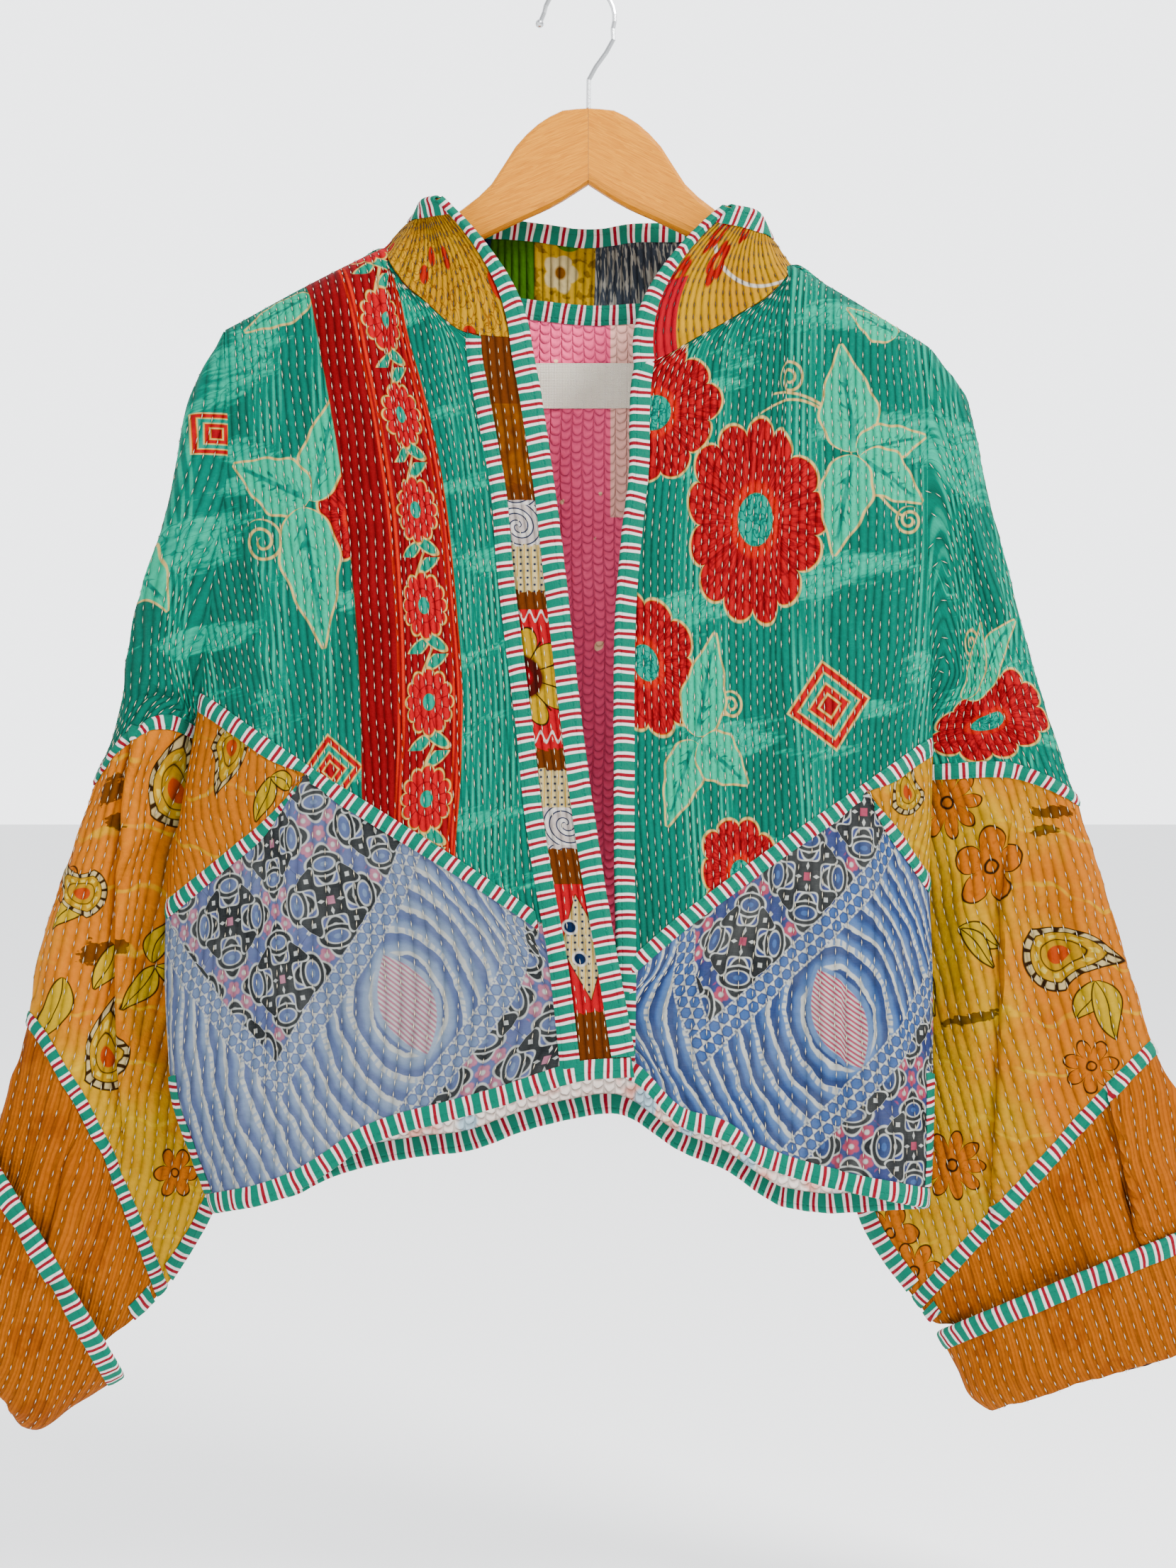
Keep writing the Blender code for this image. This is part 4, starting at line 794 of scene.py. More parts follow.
def body_panel(name, points, row_counts, column_counts, middle_row, middle_column, layer, corners=()):
    """Refine one panel of the body and keep it by name."""
    points, rows, columns = refine(points, row_counts, column_counts, corners)
    out = out_directions(points)
    out *= np.sign((out[..., 1] * layer).sum())
    flat = flat_places(points, rows[middle_row], columns[middle_column])
    fine[name] = Panel(points, out, flat, rows, columns)


for side, grid, corner, neck in (("left", left, LEFT_CORNER, LEFT_NECK),
                                 ("right", right, RIGHT_CORNER, RIGHT_NECK)):
    column_counts = counts_for(grid, 1)
    body_panel(f"front_{side}_upper", grid[:GREEN_ROW + 1], upper_counts, column_counts,
               UPPER_MIDDLE, FRONT_MIDDLE, -1, (neck,))
    body_panel(f"front_{side}_side", grid[GREEN_ROW:BLUE_ROW + 1, :corner + 1], side_counts,
               column_counts[:corner], 1, corner - 1, -1)
    body_panel(f"front_{side}_lower", grid[BLUE_ROW:HEM_ROW + 1], lower_counts, column_counts,
               LOWER_MIDDLE, FRONT_MIDDLE, -1)
body_panel("placket_band", placket, np.concatenate([upper_counts, lower_counts]), None,
           LONG_MIDDLE, 1, -1)
body_panel("back", back, np.concatenate([upper_counts, side_counts, lower_counts]), None,
           LONG_MIDDLE, BACK_MIDDLE, 1, BACK_NECK)
for name, panel in fine.items():
    print(f"{name}: {panel.points.shape[0]} x {panel.points.shape[1]} points")

# %% [markdown]
# ## Sleeves
# A sleeve is one tube that starts from the armhole's own points, leans down and out, and turns back
# on itself at the end. Its flat places start at the underarm and run round the tube, so the print
# breaks only at the underarm seam, where a real one does.

# %% Fine sleeves
# How the sleeves' undersides are drawn in to the body, in millimetres
UNDERARM_GAP = 3.2
DRAWN_RISE, DRAWN_END, DRAWN_FALL, DRAWN_WIDTH = 8.0, 130, 60.0, 55.0
ARMHOLE_REACH = 25.0
ring_counts = np.concatenate([upper_counts, upper_counts[::-1]])


def armhole(front_grid_points, back_grid_points):
    """Points of an armhole: down the front from the shoulder, and up the back."""
    return np.concatenate([front_grid_points, back_grid_points[-2:0:-1]])


def sleeve_points(table, folds, hole, start, end):
    """The sleeve's coarse rings, each closed by its first point, from the armhole down."""
    table = ((0, *start, *end, 0, 0, ARMHOLE_HALF, ARMHOLE_HALF, 0), *table)
    across = list(SLEEVE_ACROSS) + list(SLEEVE_ACROSS[-2:0:-1])
    layers = [-1] * len(SLEEVE_ACROSS) + [1] * (len(SLEEVE_ACROSS) - 2)

    def ring(station):
        fade = 1 - ease(station / BLEND_STATIONS)
        points = []
        for k, (share, layer) in enumerate(zip(across, layers)):
            point = sleeve_point(table, folds, station, share, layer)
            if fade > 0:
                point = point + fade * (hole[k] - sleeve_point(table, folds, 0, share, layer))
            points.append(point)
        return np.array(points + points[:1])

    rings = []
    for station, distance in SLEEVE_ROWS:
        points = ring(station)
        if distance:
            way = ring(station + math.copysign(0.3, distance)) - points
            points = points + abs(distance) * unit(way)
        rings.append(points)
    return np.array(rings)


def drawn_to_body(points, under, name):
    """The sleeve's underarm drawn in against the body's side, where they hang together."""
    sign, column = (1, 0) if name == "left" else (-1, -1)
    side = np.concatenate([fine[f"front_{name}_{part}"].points[:, column] for part in ("side", "lower")])
    fold = points[:, under]
    target = np.interp(-fold[:, 2], -side[:, 2], side[:, 0]) - sign * UNDERARM_GAP
    shift = np.maximum(sign * (target - fold[:, 0]), 0) * sign
    run = lengths_along(fold)
    shift *= np.clip(run / DRAWN_RISE, 0, 1) * np.clip((DRAWN_END - run) / DRAWN_FALL, 0, 1)
    ring = lengths_along(points, 1)
    near = smooth_step(1 - np.abs(ring - ring[:, under:under + 1]) / DRAWN_WIDTH)
    points = points.copy()
    points[..., 0] += shift[:, None] * near
    return points


def sleeve_panel(name, table, folds, front, column, start, end, turn):
    """Refine a sleeve and give it flat places that start at the underarm."""
    hole = armhole(front[:GREEN_ROW + 1, 0], back[:GREEN_ROW + 1, column])
    coarse = sleeve_points(table, folds, hole, start, end)
    knots = np.concatenate([[0], np.cumsum(spacing(coarse, 1))])
    places, columns = fine_places(knots, ring_counts)
    wrapped = np.concatenate([coarse[:, -3:-1], coarse, coarse[:, 1:3]], axis=1)
    total = knots[-1]
    wide = np.concatenate([knots[-3:-1] - total, knots, knots[1:3] + total])
    points = spline(wrapped.transpose(1, 0, 2), wide, places).transpose(1, 0, 2)
    points, rows, _ = refine(points, None, np.ones(points.shape[1] - 1, int))
    front_fine, back_fine = fine[f"front_{name}_upper"], fine["back"]
    last = int(upper_counts.sum())
    back_column = back_fine.points[:last + 1, 0 if column == 0 else -1]
    seam = np.concatenate([front_fine.points[:last + 1, 0], back_column[-2::-1]])
    near = np.linalg.norm(points - points[:1], axis=-1).mean(axis=1)
    fade = np.clip(1 - near / ARMHOLE_REACH, 0, 1) ** 2
    points = points + fade[:, None, None] * (seam - points[0])[None]
    under, outer = columns[GREEN_ROW], 0
    points = drawn_to_body(points, under, name)
    out = turn * out_directions(points, True)
    seen = photo_plane(points)
    way = unit(seen[:, outer] - seen[:, under])
    last = points.shape[1] - 1
    order = np.concatenate([np.arange(under, -1, -1), np.arange(last - 1, under - 1, -1)])
    points, out = points[:, order], out[:, order]
    around = lengths_along(points, 1)
    flat = seen[:, under:under + 1] + way[:, None] * around[..., None]
    fine[f"sleeve_{name}"] = Panel(points, out, flat, rows)
    print(f"sleeve_{name}: {points.shape[0]} x {points.shape[1]} points")


for name, table, folds, front, column, outline, tip, underarm, turn in (
        ("left", LEFT_SLEEVE, LEFT_SLEEVE_FOLDS, left, 0, BODY_LEFT, -217, UNDERARM_LEFT, -1),
        ("right", RIGHT_SLEEVE, RIGHT_SLEEVE_FOLDS, right, -1, BODY_RIGHT, -227, UNDERARM_RIGHT, 1)):
    tip_side = along(outline, tip)
    sleeve_panel(name, table, folds, front, column, (tip_side, along(RIDGE, tip_side)),
                 (along(outline, underarm), underarm), turn)

# %% [markdown]
# ## The collar
# The collar stands on the neck seam, so its bottom row is the fine row of points that the fronts, the
# placket band and the back already have there. A bent strip made on its own would gape somewhere
# along the seam.

# %% Fine collar
COLLAR_STEPS = (2, 4, 4, 4, 4)
COLLAR_HEIGHT = 52


def neck_row():
    """Fine points of the neck seam, from the left front edge round the back to the right one."""
    upper_left, upper_right = fine["front_left_upper"], fine["front_right_upper"]
    parts = [fine["placket_band"].points[0, ::-1]]
    parts.append(upper_left.points[0, :upper_left.columns[LEFT_NECK] - 1:-1][1:])
    columns = fine["back"].columns
    parts.append(fine["back"].points[0, columns[BACK_NECK[0]] + 1:columns[BACK_NECK[1]]])
    parts.append(upper_right.points[0, upper_right.columns[RIGHT_NECK]:])
    return np.concatenate(parts), [len(part) for part in parts]


def make_collar():
    """The collar's fine panel."""
    bottom, sizes = neck_row()
    lengths = lengths_along(bottom)
    left_neck, right_neck = lengths[sizes[0] + sizes[1] - 1], lengths[-sizes[3]]
    shares = np.interp(lengths, (0, left_neck, right_neck, lengths[-1]), (0, 0.2, 0.8, 1))
    columns = []
    for start, share in zip(bottom, shares):
        end = place(*(along([(row[0], row[i]) for row in COLLAR_TOP], share) for i in (1, 2, 3)))
        length = np.linalg.norm(end - start)
        parts = [0, SEAM_ROW / length, *COLLAR_MIDDLE_ROWS, 1 - EDGE_BINDING / length, 1]
        rise, index = fine_places(parts, COLLAR_STEPS)
        bow = along(COLLAR_BOW, share) * 4 * rise * (1 - rise)
        columns.append(start + (end - start) * rise[:, None] + bow[:, None] * np.array((1, 0, 0)))
    points = np.array(columns).transpose(1, 0, 2)
    out = -out_directions(points)
    down = -np.linspace(0, COLLAR_HEIGHT, len(points))
    flat = np.stack(np.broadcast_arrays(lengths[None, :], down[:, None]), -1)
    fine["collar"] = Panel(points, out, flat.astype(float), index)
    fine["collar"].sizes = sizes
    print("collar:", points.shape[0], "x", points.shape[1], "points")


make_collar()

# %% [markdown]
# ## From a panel to a thin shell
# Each cloth is a closed shell 2 mm thick: an outer face that carries the print, an inner face with the
# lining, and narrow ends. The print's flat places go into the piece's own UV map, in metres. A Solidify
# modifier could thicken a panel, but the borders also have to be drawn in under the tapes.

# %% Shells
SHARP_ANGLE = 52


def placed(name, data):
    """A new object of the scene that holds this data."""
    piece = bpy.data.objects.new(name, data)
    bpy.context.scene.collection.objects.link(piece)
    return piece


def grid_mesh(name, inner, outer, flat, closed, materials):
    """A closed shell between two grids of points, with the flat places as its UV map."""
    rows, columns = inner.shape[:2]
    unique = columns - 1 if closed else columns
    ids = np.arange(rows * unique).reshape(rows, unique)
    if closed:
        ids = np.concatenate([ids, ids[:, :1]], axis=1)
    low, high = ids, ids + rows * unique
    spots = np.arange(rows * columns).reshape(rows, columns)

    def quads(grid):
        return np.stack([grid[:-1, :-1], grid[1:, :-1], grid[1:, 1:], grid[:-1, 1:]], -1).reshape(-1, 4)

    def ends(first, second, spot):
        """Quads that join the two layers along a border, outer points first."""
        quad = np.stack([high[first], high[second], low[second], low[first]], -1).reshape(-1, 4)
        place = np.stack([spot[first], spot[second], spot[second], spot[first]], -1).reshape(-1, 4)
        return quad, place

    faces = [quads(high), quads(low)[:, ::-1]]
    places = [quads(spots), quads(spots)[:, ::-1]]
    first_ones, last_ones = slice(None, -1), slice(1, None)
    borders = [((0, first_ones), (0, last_ones)), ((-1, last_ones), (-1, first_ones))]
    if not closed:
        borders += [((last_ones, 0), (first_ones, 0)), ((first_ones, -1), (last_ones, -1))]
    for first, second in borders:
        quad, place = ends(first, second, spots)
        faces.append(quad)
        places.append(place)
    face_slots = np.concatenate([np.full(len(f), 1 if n == 1 else 0) for n, f in enumerate(faces)])
    faces, places = np.concatenate(faces), np.concatenate(places)
    points = np.concatenate([inner[:, :unique].reshape(-1, 3), outer[:, :unique].reshape(-1, 3)])
    count = (rows - 1) * (columns - 1)
    a, b, c = (points[faces[:count, k]] for k in range(3))
    thickness = points[faces[:count, 0]] - points[faces[:count, 0] - rows * unique]
    if (np.cross(b - a, c - b) * thickness).sum() < 0:
        faces, places = faces[:, ::-1], places[:, ::-1]
    mesh = bpy.data.meshes.new(name)
    mesh.from_pydata((points * MM).tolist(), [], faces.tolist())
    uv = mesh.uv_layers.new(name="flat")
    uv.data.foreach_set("uv", (flat.reshape(-1, 2)[places.reshape(-1)] * MM).reshape(-1))
    for material in materials:
        mesh.materials.append(material)
    if len(materials) > 1:
        mesh.polygons.foreach_set("material_index", face_slots.astype(np.int32))
    mesh.shade_smooth()
    mesh.set_sharp_from_angle(angle=math.radians(SHARP_ANGLE))
    piece = placed(name, mesh)
    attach(piece, "root")
    return piece


def drawn_in(panel, top=HALF_SEAM, bottom=HALF_SEAM, left=HALF_SEAM, right=HALF_SEAM):
    """The panel with its borders drawn in along the cloth."""
    points = panel.points.copy()
    for first, second, amount in ((0, 1, top), (-1, -2, bottom)):
        points[first] += unit(panel.points[second] - panel.points[first]) * amount
    for first, second, amount in ((0, 1, left), (-1, -2, right)):
        shift = unit(panel.points[:, second] - panel.points[:, first])
        points[:, first] += shift * np.reshape(amount, (-1, 1))
    return Panel(points, panel.out, panel.flat)


LEAST_USED = 0.4


def cut_size(panel):
    """Width, length and area of a panel's cut, measured along its cloth, in metres."""
    p = panel.points * MM
    across = np.linalg.norm(np.diff(p, axis=1), axis=-1).sum(axis=1).max()
    down = np.linalg.norm(np.diff(p, axis=0), axis=-1).sum(axis=0).max()
    a, b, c, d = p[:-1, :-1], p[1:, :-1], p[1:, 1:], p[:-1, 1:]
    area = np.linalg.norm(np.cross(c - a, d - b), axis=-1).sum() / 2
    return float(across), float(min(down, area / (LEAST_USED * across))), float(area)


print("edges sharper than", SHARP_ANGLE, "degrees stay sharp")

# %% [markdown]
# ## Striped tapes
# Every raw edge and most seams are bound with a narrow striped tape. A tape over a seam is a low
# cushion on the panels' own points. A tape on an edge wraps round it, with the same path on both faces.
# A curve with a flat profile could do for a tape, but the panels' points follow every crease.

# %% Tapes
TAPE_LIFT = 0.3
TAPE_CREST = 1.35
TAPE_EDGE = 0.45
TAPE_TURNS = (60, 30, 0, -30, -60)
SEAM_WAVE = 0.22
EDGE_WAVE = 0.2
INSIDE_SHARE = 0.7


def tape_flat(points):
    """Flat places of a tape: along it, square to its middle line, and across it."""
    middle = points[len(points) // 2]
    tangent = unit(np.gradient(middle, axis=0))
    run = lengths_along(middle)[None, :] + ((points - middle[None]) * tangent[None]).sum(axis=-1)
    across = np.linalg.norm(np.diff(points, axis=0), axis=-1).mean(axis=1)
    across = np.concatenate([[0], np.cumsum(across)])
    return np.stack(np.broadcast_arrays(run, across[:, None] - across[-1] / 2), -1)


def seam_tape(name, strip, closed=False, inside=False):
    """A tape over a seam, from a strip of panel points with a row for each place across it."""
    rows = len(strip.points)
    across = np.linspace(-1, 1, rows)
    crest = TAPE_EDGE + (TAPE_CREST - TAPE_EDGE) * (1 - np.abs(across) ** 4) ** 0.5
    run = strip.flat.sum(axis=-1)
    wave = SEAM_WAVE * field(run / 6.0, across[:, None] * 1.3 + 7, len(name))
    if inside:
        base = np.full(rows, -TAPE_LIFT)
        top = base - crest * INSIDE_SHARE
    else:
        base = np.full(rows, WALL + TAPE_LIFT)
        top = base + crest
    inner = strip.points + strip.out * base[:, None, None]
    outer = strip.points + strip.out * (top[:, None] + wave)[..., None]
    return grid_mesh(f"{name}_tape", inner, outer, tape_flat(strip.points), closed, [striped])


def edge_tape(name, strip, closed=False):
    """A tape wrapped round an edge, from a strip whose first row is inside and last row the edge."""
    rows = len(strip.points)
    edge, edge_out = strip.points[-1], strip.out[-1]
    way = unit(edge - strip.points[-2])
    inner, outer = [], []
    for side in (1, -1):
        order = range(rows) if side > 0 else range(rows - 1, -1, -1)
        for i in order:
            surface = strip.points[i] + (strip.out[i] * WALL if side > 0 else 0)
            share = i / (rows - 1)
            swell = TAPE_EDGE + (TAPE_CREST - TAPE_EDGE) * (1 - (1 - share) ** 3) ** 0.5
            inner.append(surface + side * strip.out[i] * TAPE_LIFT)
            outer.append(surface + side * strip.out[i] * (TAPE_LIFT + swell))
        if side > 0:
            middle = edge + edge_out * WALL / 2
            for turn in TAPE_TURNS:
                angle = math.radians(turn)
                ray = way * math.cos(angle) + edge_out * math.sin(angle)
                inner.append(middle + ray * (WALL / 2 + TAPE_LIFT))
                outer.append(middle + ray * (WALL / 2 + TAPE_LIFT + TAPE_CREST))
    inner, outer = np.array(inner), np.array(outer)
    flat = tape_flat(inner)
    wave = EDGE_WAVE * field(flat[..., 0] / 5.5, flat[..., 1] / 6.0, len(name) + 3)
    outer = outer + unit(outer - inner) * wave[..., None]
    return grid_mesh(f"{name}_tape", inner, outer, flat, closed, [striped])


def strips_joined(*panels, axis=0):
    """Strips set end to end, which share their border line."""
    parts = [panels[0]] + [panel.each(lambda grid: np.delete(grid, 0, axis)) for panel in panels[1:]]
    return Panel(*(np.concatenate([getattr(p, key) for p in parts], axis)
                   for key in ("points", "out", "flat")))


print("a tape stands", TAPE_LIFT + TAPE_CREST, "mm high")

# %% [markdown]
# ## Where the creases are
# Each line is one crease on a panel's flat places, in millimetres: from, to, sideways bend, width and
# height. They are set where the hanging cloth pulls: from the shoulder's tip down the chest, across the
# bend of the sleeves, and up from the hems. The hidden back has creases of the same sizes.

# %% Creases
CREASES = {
    "front_left_upper": (
        (-205, -230, -150, -262, 6, 5, 1.2), (-190, -250, -165, -275, -4, 4, -0.9),
        (-215, -300, -200, -420, 5, 9, 1.6), (-185, -330, -150, -345, 3, 4, -0.9),
        (-150, -380, -165, -470, -6, 8, 1.1), (-225, -400, -190, -450, 8, 7, 1.6),
        (-110, -300, -120, -420, 4, 7, 0.8), (-200, -255, -120, -245, 5, 4, -0.8),
        (-228, -350, -180, -400, 6, 6, 1.3)),
    "front_right_upper": (
        (185, -245, 140, -285, 6, 6, 1.2), (195, -270, 165, -350, 6, 7, 1.5),
        (60, -250, 70, -340, 4, 8, 0.9), (120, -300, 110, -420, -7, 9, 1.2),
        (200, -330, 185, -440, 5, 8, 1.7), (60, -390, 75, -500, 5, 8, 1.0),
        (150, -380, 195, -440, -6, 6, 1.3), (40, -480, 60, -580, 4, 6, 0.8)),
    "front_left_lower": (
        (-200, -560, -190, -690, 7, 10, 1.8), (-120, -560, -140, -690, -6, 11, 1.8),
        (-60, -600, -80, -690, 5, 8, 1.2), (-235, -620, -215, -740, -4, 9, 1.4),
        (-170, -590, -175, -720, 6, 8, -1.3), (-95, -560, -60, -640, 5, 7, 1.0)),
    "front_right_lower": (
        (60, -600, 70, -700, 4, 8, 1.4), (105, -570, 112, -720, 6, 10, 2.0),
        (150, -540, 150, -730, -6, 11, 2.0), (190, -560, 196, -740, 4, 9, 1.6),
        (35, -620, 45, -690, 3, 6, 0.8)),
    "front_left_side": ((-215, -470, -180, -510, 4, 6, 0.9), (-235, -480, -220, -560, 4, 7, 1.1)),
    "front_right_side": ((190, -500, 200, -545, 3, 6, 0.9),),
    "placket_band": ((-45, -300, -40, -420, 3, 6, 0.8), (-25, -500, -12, -620, -3, 6, 0.8)),
    "back": (
        (-190, -240, -120, -300, 6, 7, 1.4), (-200, -300, -185, -470, 6, 10, 2.0),
        (-120, -330, -130, -560, -8, 12, 1.8), (-30, -260, -30, -420, 6, 10, 1.2),
        (40, -420, 46, -640, 6, 11, -1.8), (110, -300, 100, -520, -7, 12, 1.8),
        (180, -260, 150, -330, 5, 7, 1.3), (185, -420, 190, -660, 5, 10, 1.9),
        (-180, -520, -185, -720, 6, 10, 1.8), (-60, -560, -70, -690, 5, 10, 1.5),
        (120, -580, 122, -730, -5, 9, 1.6)),
    "sleeve_left": (
        (-240, -300, -285, -400, 8, 8, 1.7), (-262, -330, -300, -450, -6, 7, 1.4),
        (-245, -420, -300, -440, 6, 6, 1.6), (-240, -470, -310, -500, 8, 8, 2.0),
        (-250, -500, -320, -560, 8, 9, 1.8), (-245, -560, -262, -720, 9, 9, 2.2),
        (-320, -560, -335, -640, -6, 8, 1.6), (-275, -640, -290, -780, 8, 8, 1.7),
        (-330, -650, -370, -780, 10, 9, 2.2), (-310, -680, -350, -830, 8, 8, 1.9),
        (-360, -740, -395, -800, 6, 7, 1.4), (-235, -600, -236, -720, -5, 7, 1.3)),
    "sleeve_right": (
        (232, -290, 268, -400, -8, 8, 1.7), (225, -380, 280, -440, -6, 7, 1.6),
        (228, -430, 300, -470, -7, 8, 1.8), (225, -500, 290, -540, -8, 9, 1.8),
        (230, -540, 245, -700, 8, 10, 2.2), (300, -540, 315, -660, 7, 9, 1.8),
        (190, -600, 205, -740, -6, 9, 1.8), (260, -600, 290, -760, 8, 10, 1.7),
        (330, -690, 345, -800, -8, 9, 2.4), (290, -720, 330, -830, 6, 8, 1.6),
        (360, -720, 385, -800, 6, 8, 1.6), (255, -770, 280, -850, 5, 7, 1.2)),
    "collar": (
        (20, -8, 60, -40, 4, 5, 0.8), (300, -10, 340, -40, -4, 5, 0.8), (150, -10, 170, -45, 3, 6, 0.8)),
}
# Lengthwise folds that lie over the cloth beside them: the same columns, with the fold's own reach
OVERLAPS = {
    "sleeve_left": ((-284, -430, -296, -745, -5, 46, 10.0), (-330, -700, -352, -810, 6, 40, 6.0)),
    "sleeve_right": ((322, -668, 346, -788, 5, 50, 11.0), (262, -500, 252, -790, 6, 36, 6.0)),
    "front_right_lower": ((156, -575, 150, -800, 5, 30, 2.5),)}
LEAN = {
    "front_left_upper": 0.10, "front_left_lower": 0.0, "front_left_side": 0.05,
    "front_right_upper": 0.0, "front_right_lower": 0.0, "front_right_side": 0.0,
    "placket_band": 0.12, "back": 0.0, "sleeve_left": -0.24, "sleeve_right": 0.27, "collar": 0.0}


SEAM_FADE = 14.0
SLEEVE_FORCE = 1.5
UNDERARM_LEAST, UNDERARM_POINTS = 0.3, 6.0
TURNED_REACH = 1.5


def border_fade(panel, free=()):
    """1 inside the panel and 0 at its borders, so that seams stay where they are."""
    fade = np.ones(panel.points.shape[:2])
    for name, axis, backward in (
            ("top", 0, False), ("bottom", 0, True), ("left", 1, False), ("right", 1, True)):
        if name in free:
            continue
        points = np.flip(panel.points, axis) if backward else panel.points
        reach = lengths_along(points, axis)
        fade *= smooth_step((np.flip(reach, axis) if backward else reach) / SEAM_FADE)
    return fade


for number, (name, panel) in enumerate(fine.items()):
    closed = name.startswith("sleeve")
    fade = border_fade(panel, ("left", "right") if closed else ())
    if closed:
        places = np.arange(panel.points.shape[1])
        near = np.minimum(1, np.minimum(places, places[::-1]) / UNDERARM_POINTS)[None]
        fade *= UNDERARM_LEAST + (1 - UNDERARM_LEAST) * near
    height = relief(panel.flat, CREASES[name], LEAN[name], 11 * number) * fade
    height = height * (SLEEVE_FORCE if closed else 1.0)
    reach = np.zeros_like(height)
    for line in OVERLAPS.get(name, ()):
        rise, over = overlap(panel.flat[..., 0], panel.flat[..., 1], line)
        height += rise * fade
        reach += over * fade
    if closed:
        height[:, -1] = height[:, 0]
    raised = panel.pulled(reach).raised(height)
    if name in OVERLAPS:
        turned = out_directions(raised.points, closed)
        turned *= np.sign((turned * raised.out).sum())
        share = np.clip(reach / TURNED_REACH, 0, 1)[..., None]
        raised.out = unit(raised.out * (1 - share) + turned * share)
    raised.sizes = getattr(panel, "sizes", None)
    fine[name] = raised
    print(f"{name}: creases stand {np.ptp(height):.1f} mm")

# %% [markdown]
# ## Printed cloth out of nodes
# An image of a print would be a copy of somebody's cloth. Here every print is worked out by nodes, from
# the flat places in the piece's own UV map. The small classes below let shader maths be written as
# ordinary Python, so that the drawing of a petal stays a line that can be read.

# %% Shader maths as Python
def grey(colour):
    """A display colour written as 0xRRGGBB, in the linear values that nodes use."""
    parts = [(colour >> shift & 255) / 255 for shift in (16, 8, 0)]
    return tuple(p / 12.92 if p <= 0.04045 else ((p + 0.055) / 1.055) ** 2.4 for p in parts) + (1,)


class Value:
    """A number or colour that varies over the surface."""

    def __init__(self, tree, socket):
        self.tree, self.socket = tree, socket

    def maths(self, operation, *others, clamp=False):
        inputs = dict(enumerate((self, *others)))
        return self.tree.node("Math", {"operation": operation, "use_clamp": clamp}, inputs)

    def __rsub__(self, other):
        return self.tree.node("Math", {"operation": "SUBTRACT"}, {0: other, 1: self})

    def clamped(self):
        return self.maths("ADD", 0, clamp=True)

    def wrapped(self, width):
        """The value brought between minus half and half of a repeat."""
        return self.maths("WRAP", width / 2, -width / 2)

    def over(self, edge, soft=0.6):
        """0 below an edge and 1 above it, with a soft step."""
        return ((self - edge) / soft + 0.5).clamped()

    def under(self, edge, soft=0.6):
        """1 below an edge and 0 above it."""
        return ((edge - self) / soft + 0.5).clamped()

    def between(self, low, high, soft=0.6):
        """1 from a low edge to a high one."""
        return self.over(low, soft) * self.under(high, soft)


def one_node(operation):
    """A method that adds one Math node."""
    return lambda self, *others: self.maths(operation, *others)


for method, operation in (
        ("__add__", "ADD"), ("__radd__", "ADD"), ("__sub__", "SUBTRACT"), ("__mul__", "MULTIPLY"),
        ("__rmul__", "MULTIPLY"), ("__truediv__", "DIVIDE"), ("__pow__", "POWER"), ("abs", "ABSOLUTE"),
        ("sin", "SINE"), ("cos", "COSINE"), ("root", "SQRT"), ("floor", "FLOOR"),
        ("least", "MINIMUM"), ("most", "MAXIMUM")):
    setattr(Value, method, one_node(operation))

print("red in linear values:", [round(part, 3) for part in grey(0xC20D1B)])

# %% Nodes of a shader
class Drawing:
    """A shader tree, with one way to add any node."""

    def __init__(self, tree):
        self.nodes, self.links = tree.nodes, tree.links

    def set(self, socket, value):
        if isinstance(value, Value):
            self.links.new(value.socket, socket)
        else:
            shown = socket.type == "RGBA" and isinstance(value, int)
            socket.default_value = grey(value) if shown else value

    def node(self, kind, settings=None, inputs=None, output=0):
        """Add a node of a kind, set it, join its inputs, and give back one output."""
        node = self.nodes.new("ShaderNode" + kind)
        for key, value in (settings or {}).items():
            setattr(node, key, value)
        for key, value in (inputs or {}).items():
            self.set(node.inputs[key], value)
        return Value(self, node.outputs[output])

    def parts(self, place, count=3):
        """A place's coordinates, in millimetres."""
        return [self.node("SeparateXYZ", None, {0: place}, k) / MM for k in range(count)]

    def flat(self):
        """Flat places of the piece's cloth, in millimetres."""
        return self.parts(self.node("UVMap", {"uv_map": "flat"}), 2)

    def body(self):
        """The piece's own coordinates, in metres."""
        return self.node("TexCoord", None, None, 3)

    def noise(self, u, v, size, detail=2.0, away=0.0):
        """Smooth random value from 0 to 1, with patches of a size."""
        place = self.node("CombineXYZ", None, {0: u / size, 1: v / size, 2: away})
        return self.noise_at(place, 1.0, detail, 0.55)

    def noise_at(self, place, scale, detail, roughness=0.5):
        return self.node("TexNoise", {"noise_dimensions": "3D"},
                         {"Vector": place, "Scale": scale, "Detail": detail, "Roughness": roughness})

    def cells(self, u, v, size, randomness=1.0):
        """Distance from the nearest of many scattered places."""
        place = self.node("CombineXYZ", None, {0: u / size, 1: v / size, 2: 0.0})
        return self.node("TexVoronoi", {"feature": "F1", "voronoi_dimensions": "2D"},
                         {"Vector": place, "Scale": 1.0, "Randomness": randomness})

    def mix(self, share, first, second):
        """The first colour where the share is 0, and the second where it is 1."""
        return self.node("Mix", {"data_type": "RGBA"}, {0: share, 6: first, 7: second}, 2)

    def fuller(self, colour, amount):
        """A colour with more of its own hue, as dyed cotton has."""
        return self.node("HueSaturation", None, {"Saturation": amount, "Color": colour})

    def shade(self, colour, amount):
        """A colour made darker or lighter by an amount at each place."""
        triple = self.node("CombineColor", None, {0: amount, 1: amount, 2: amount})
        return self.node("Mix", {"data_type": "RGBA", "blend_type": "MULTIPLY"},
                         {0: 1.0, 6: colour, 7: triple}, 2)


print("ways to draw:", [name for name in vars(Drawing) if name[0] != "_"])

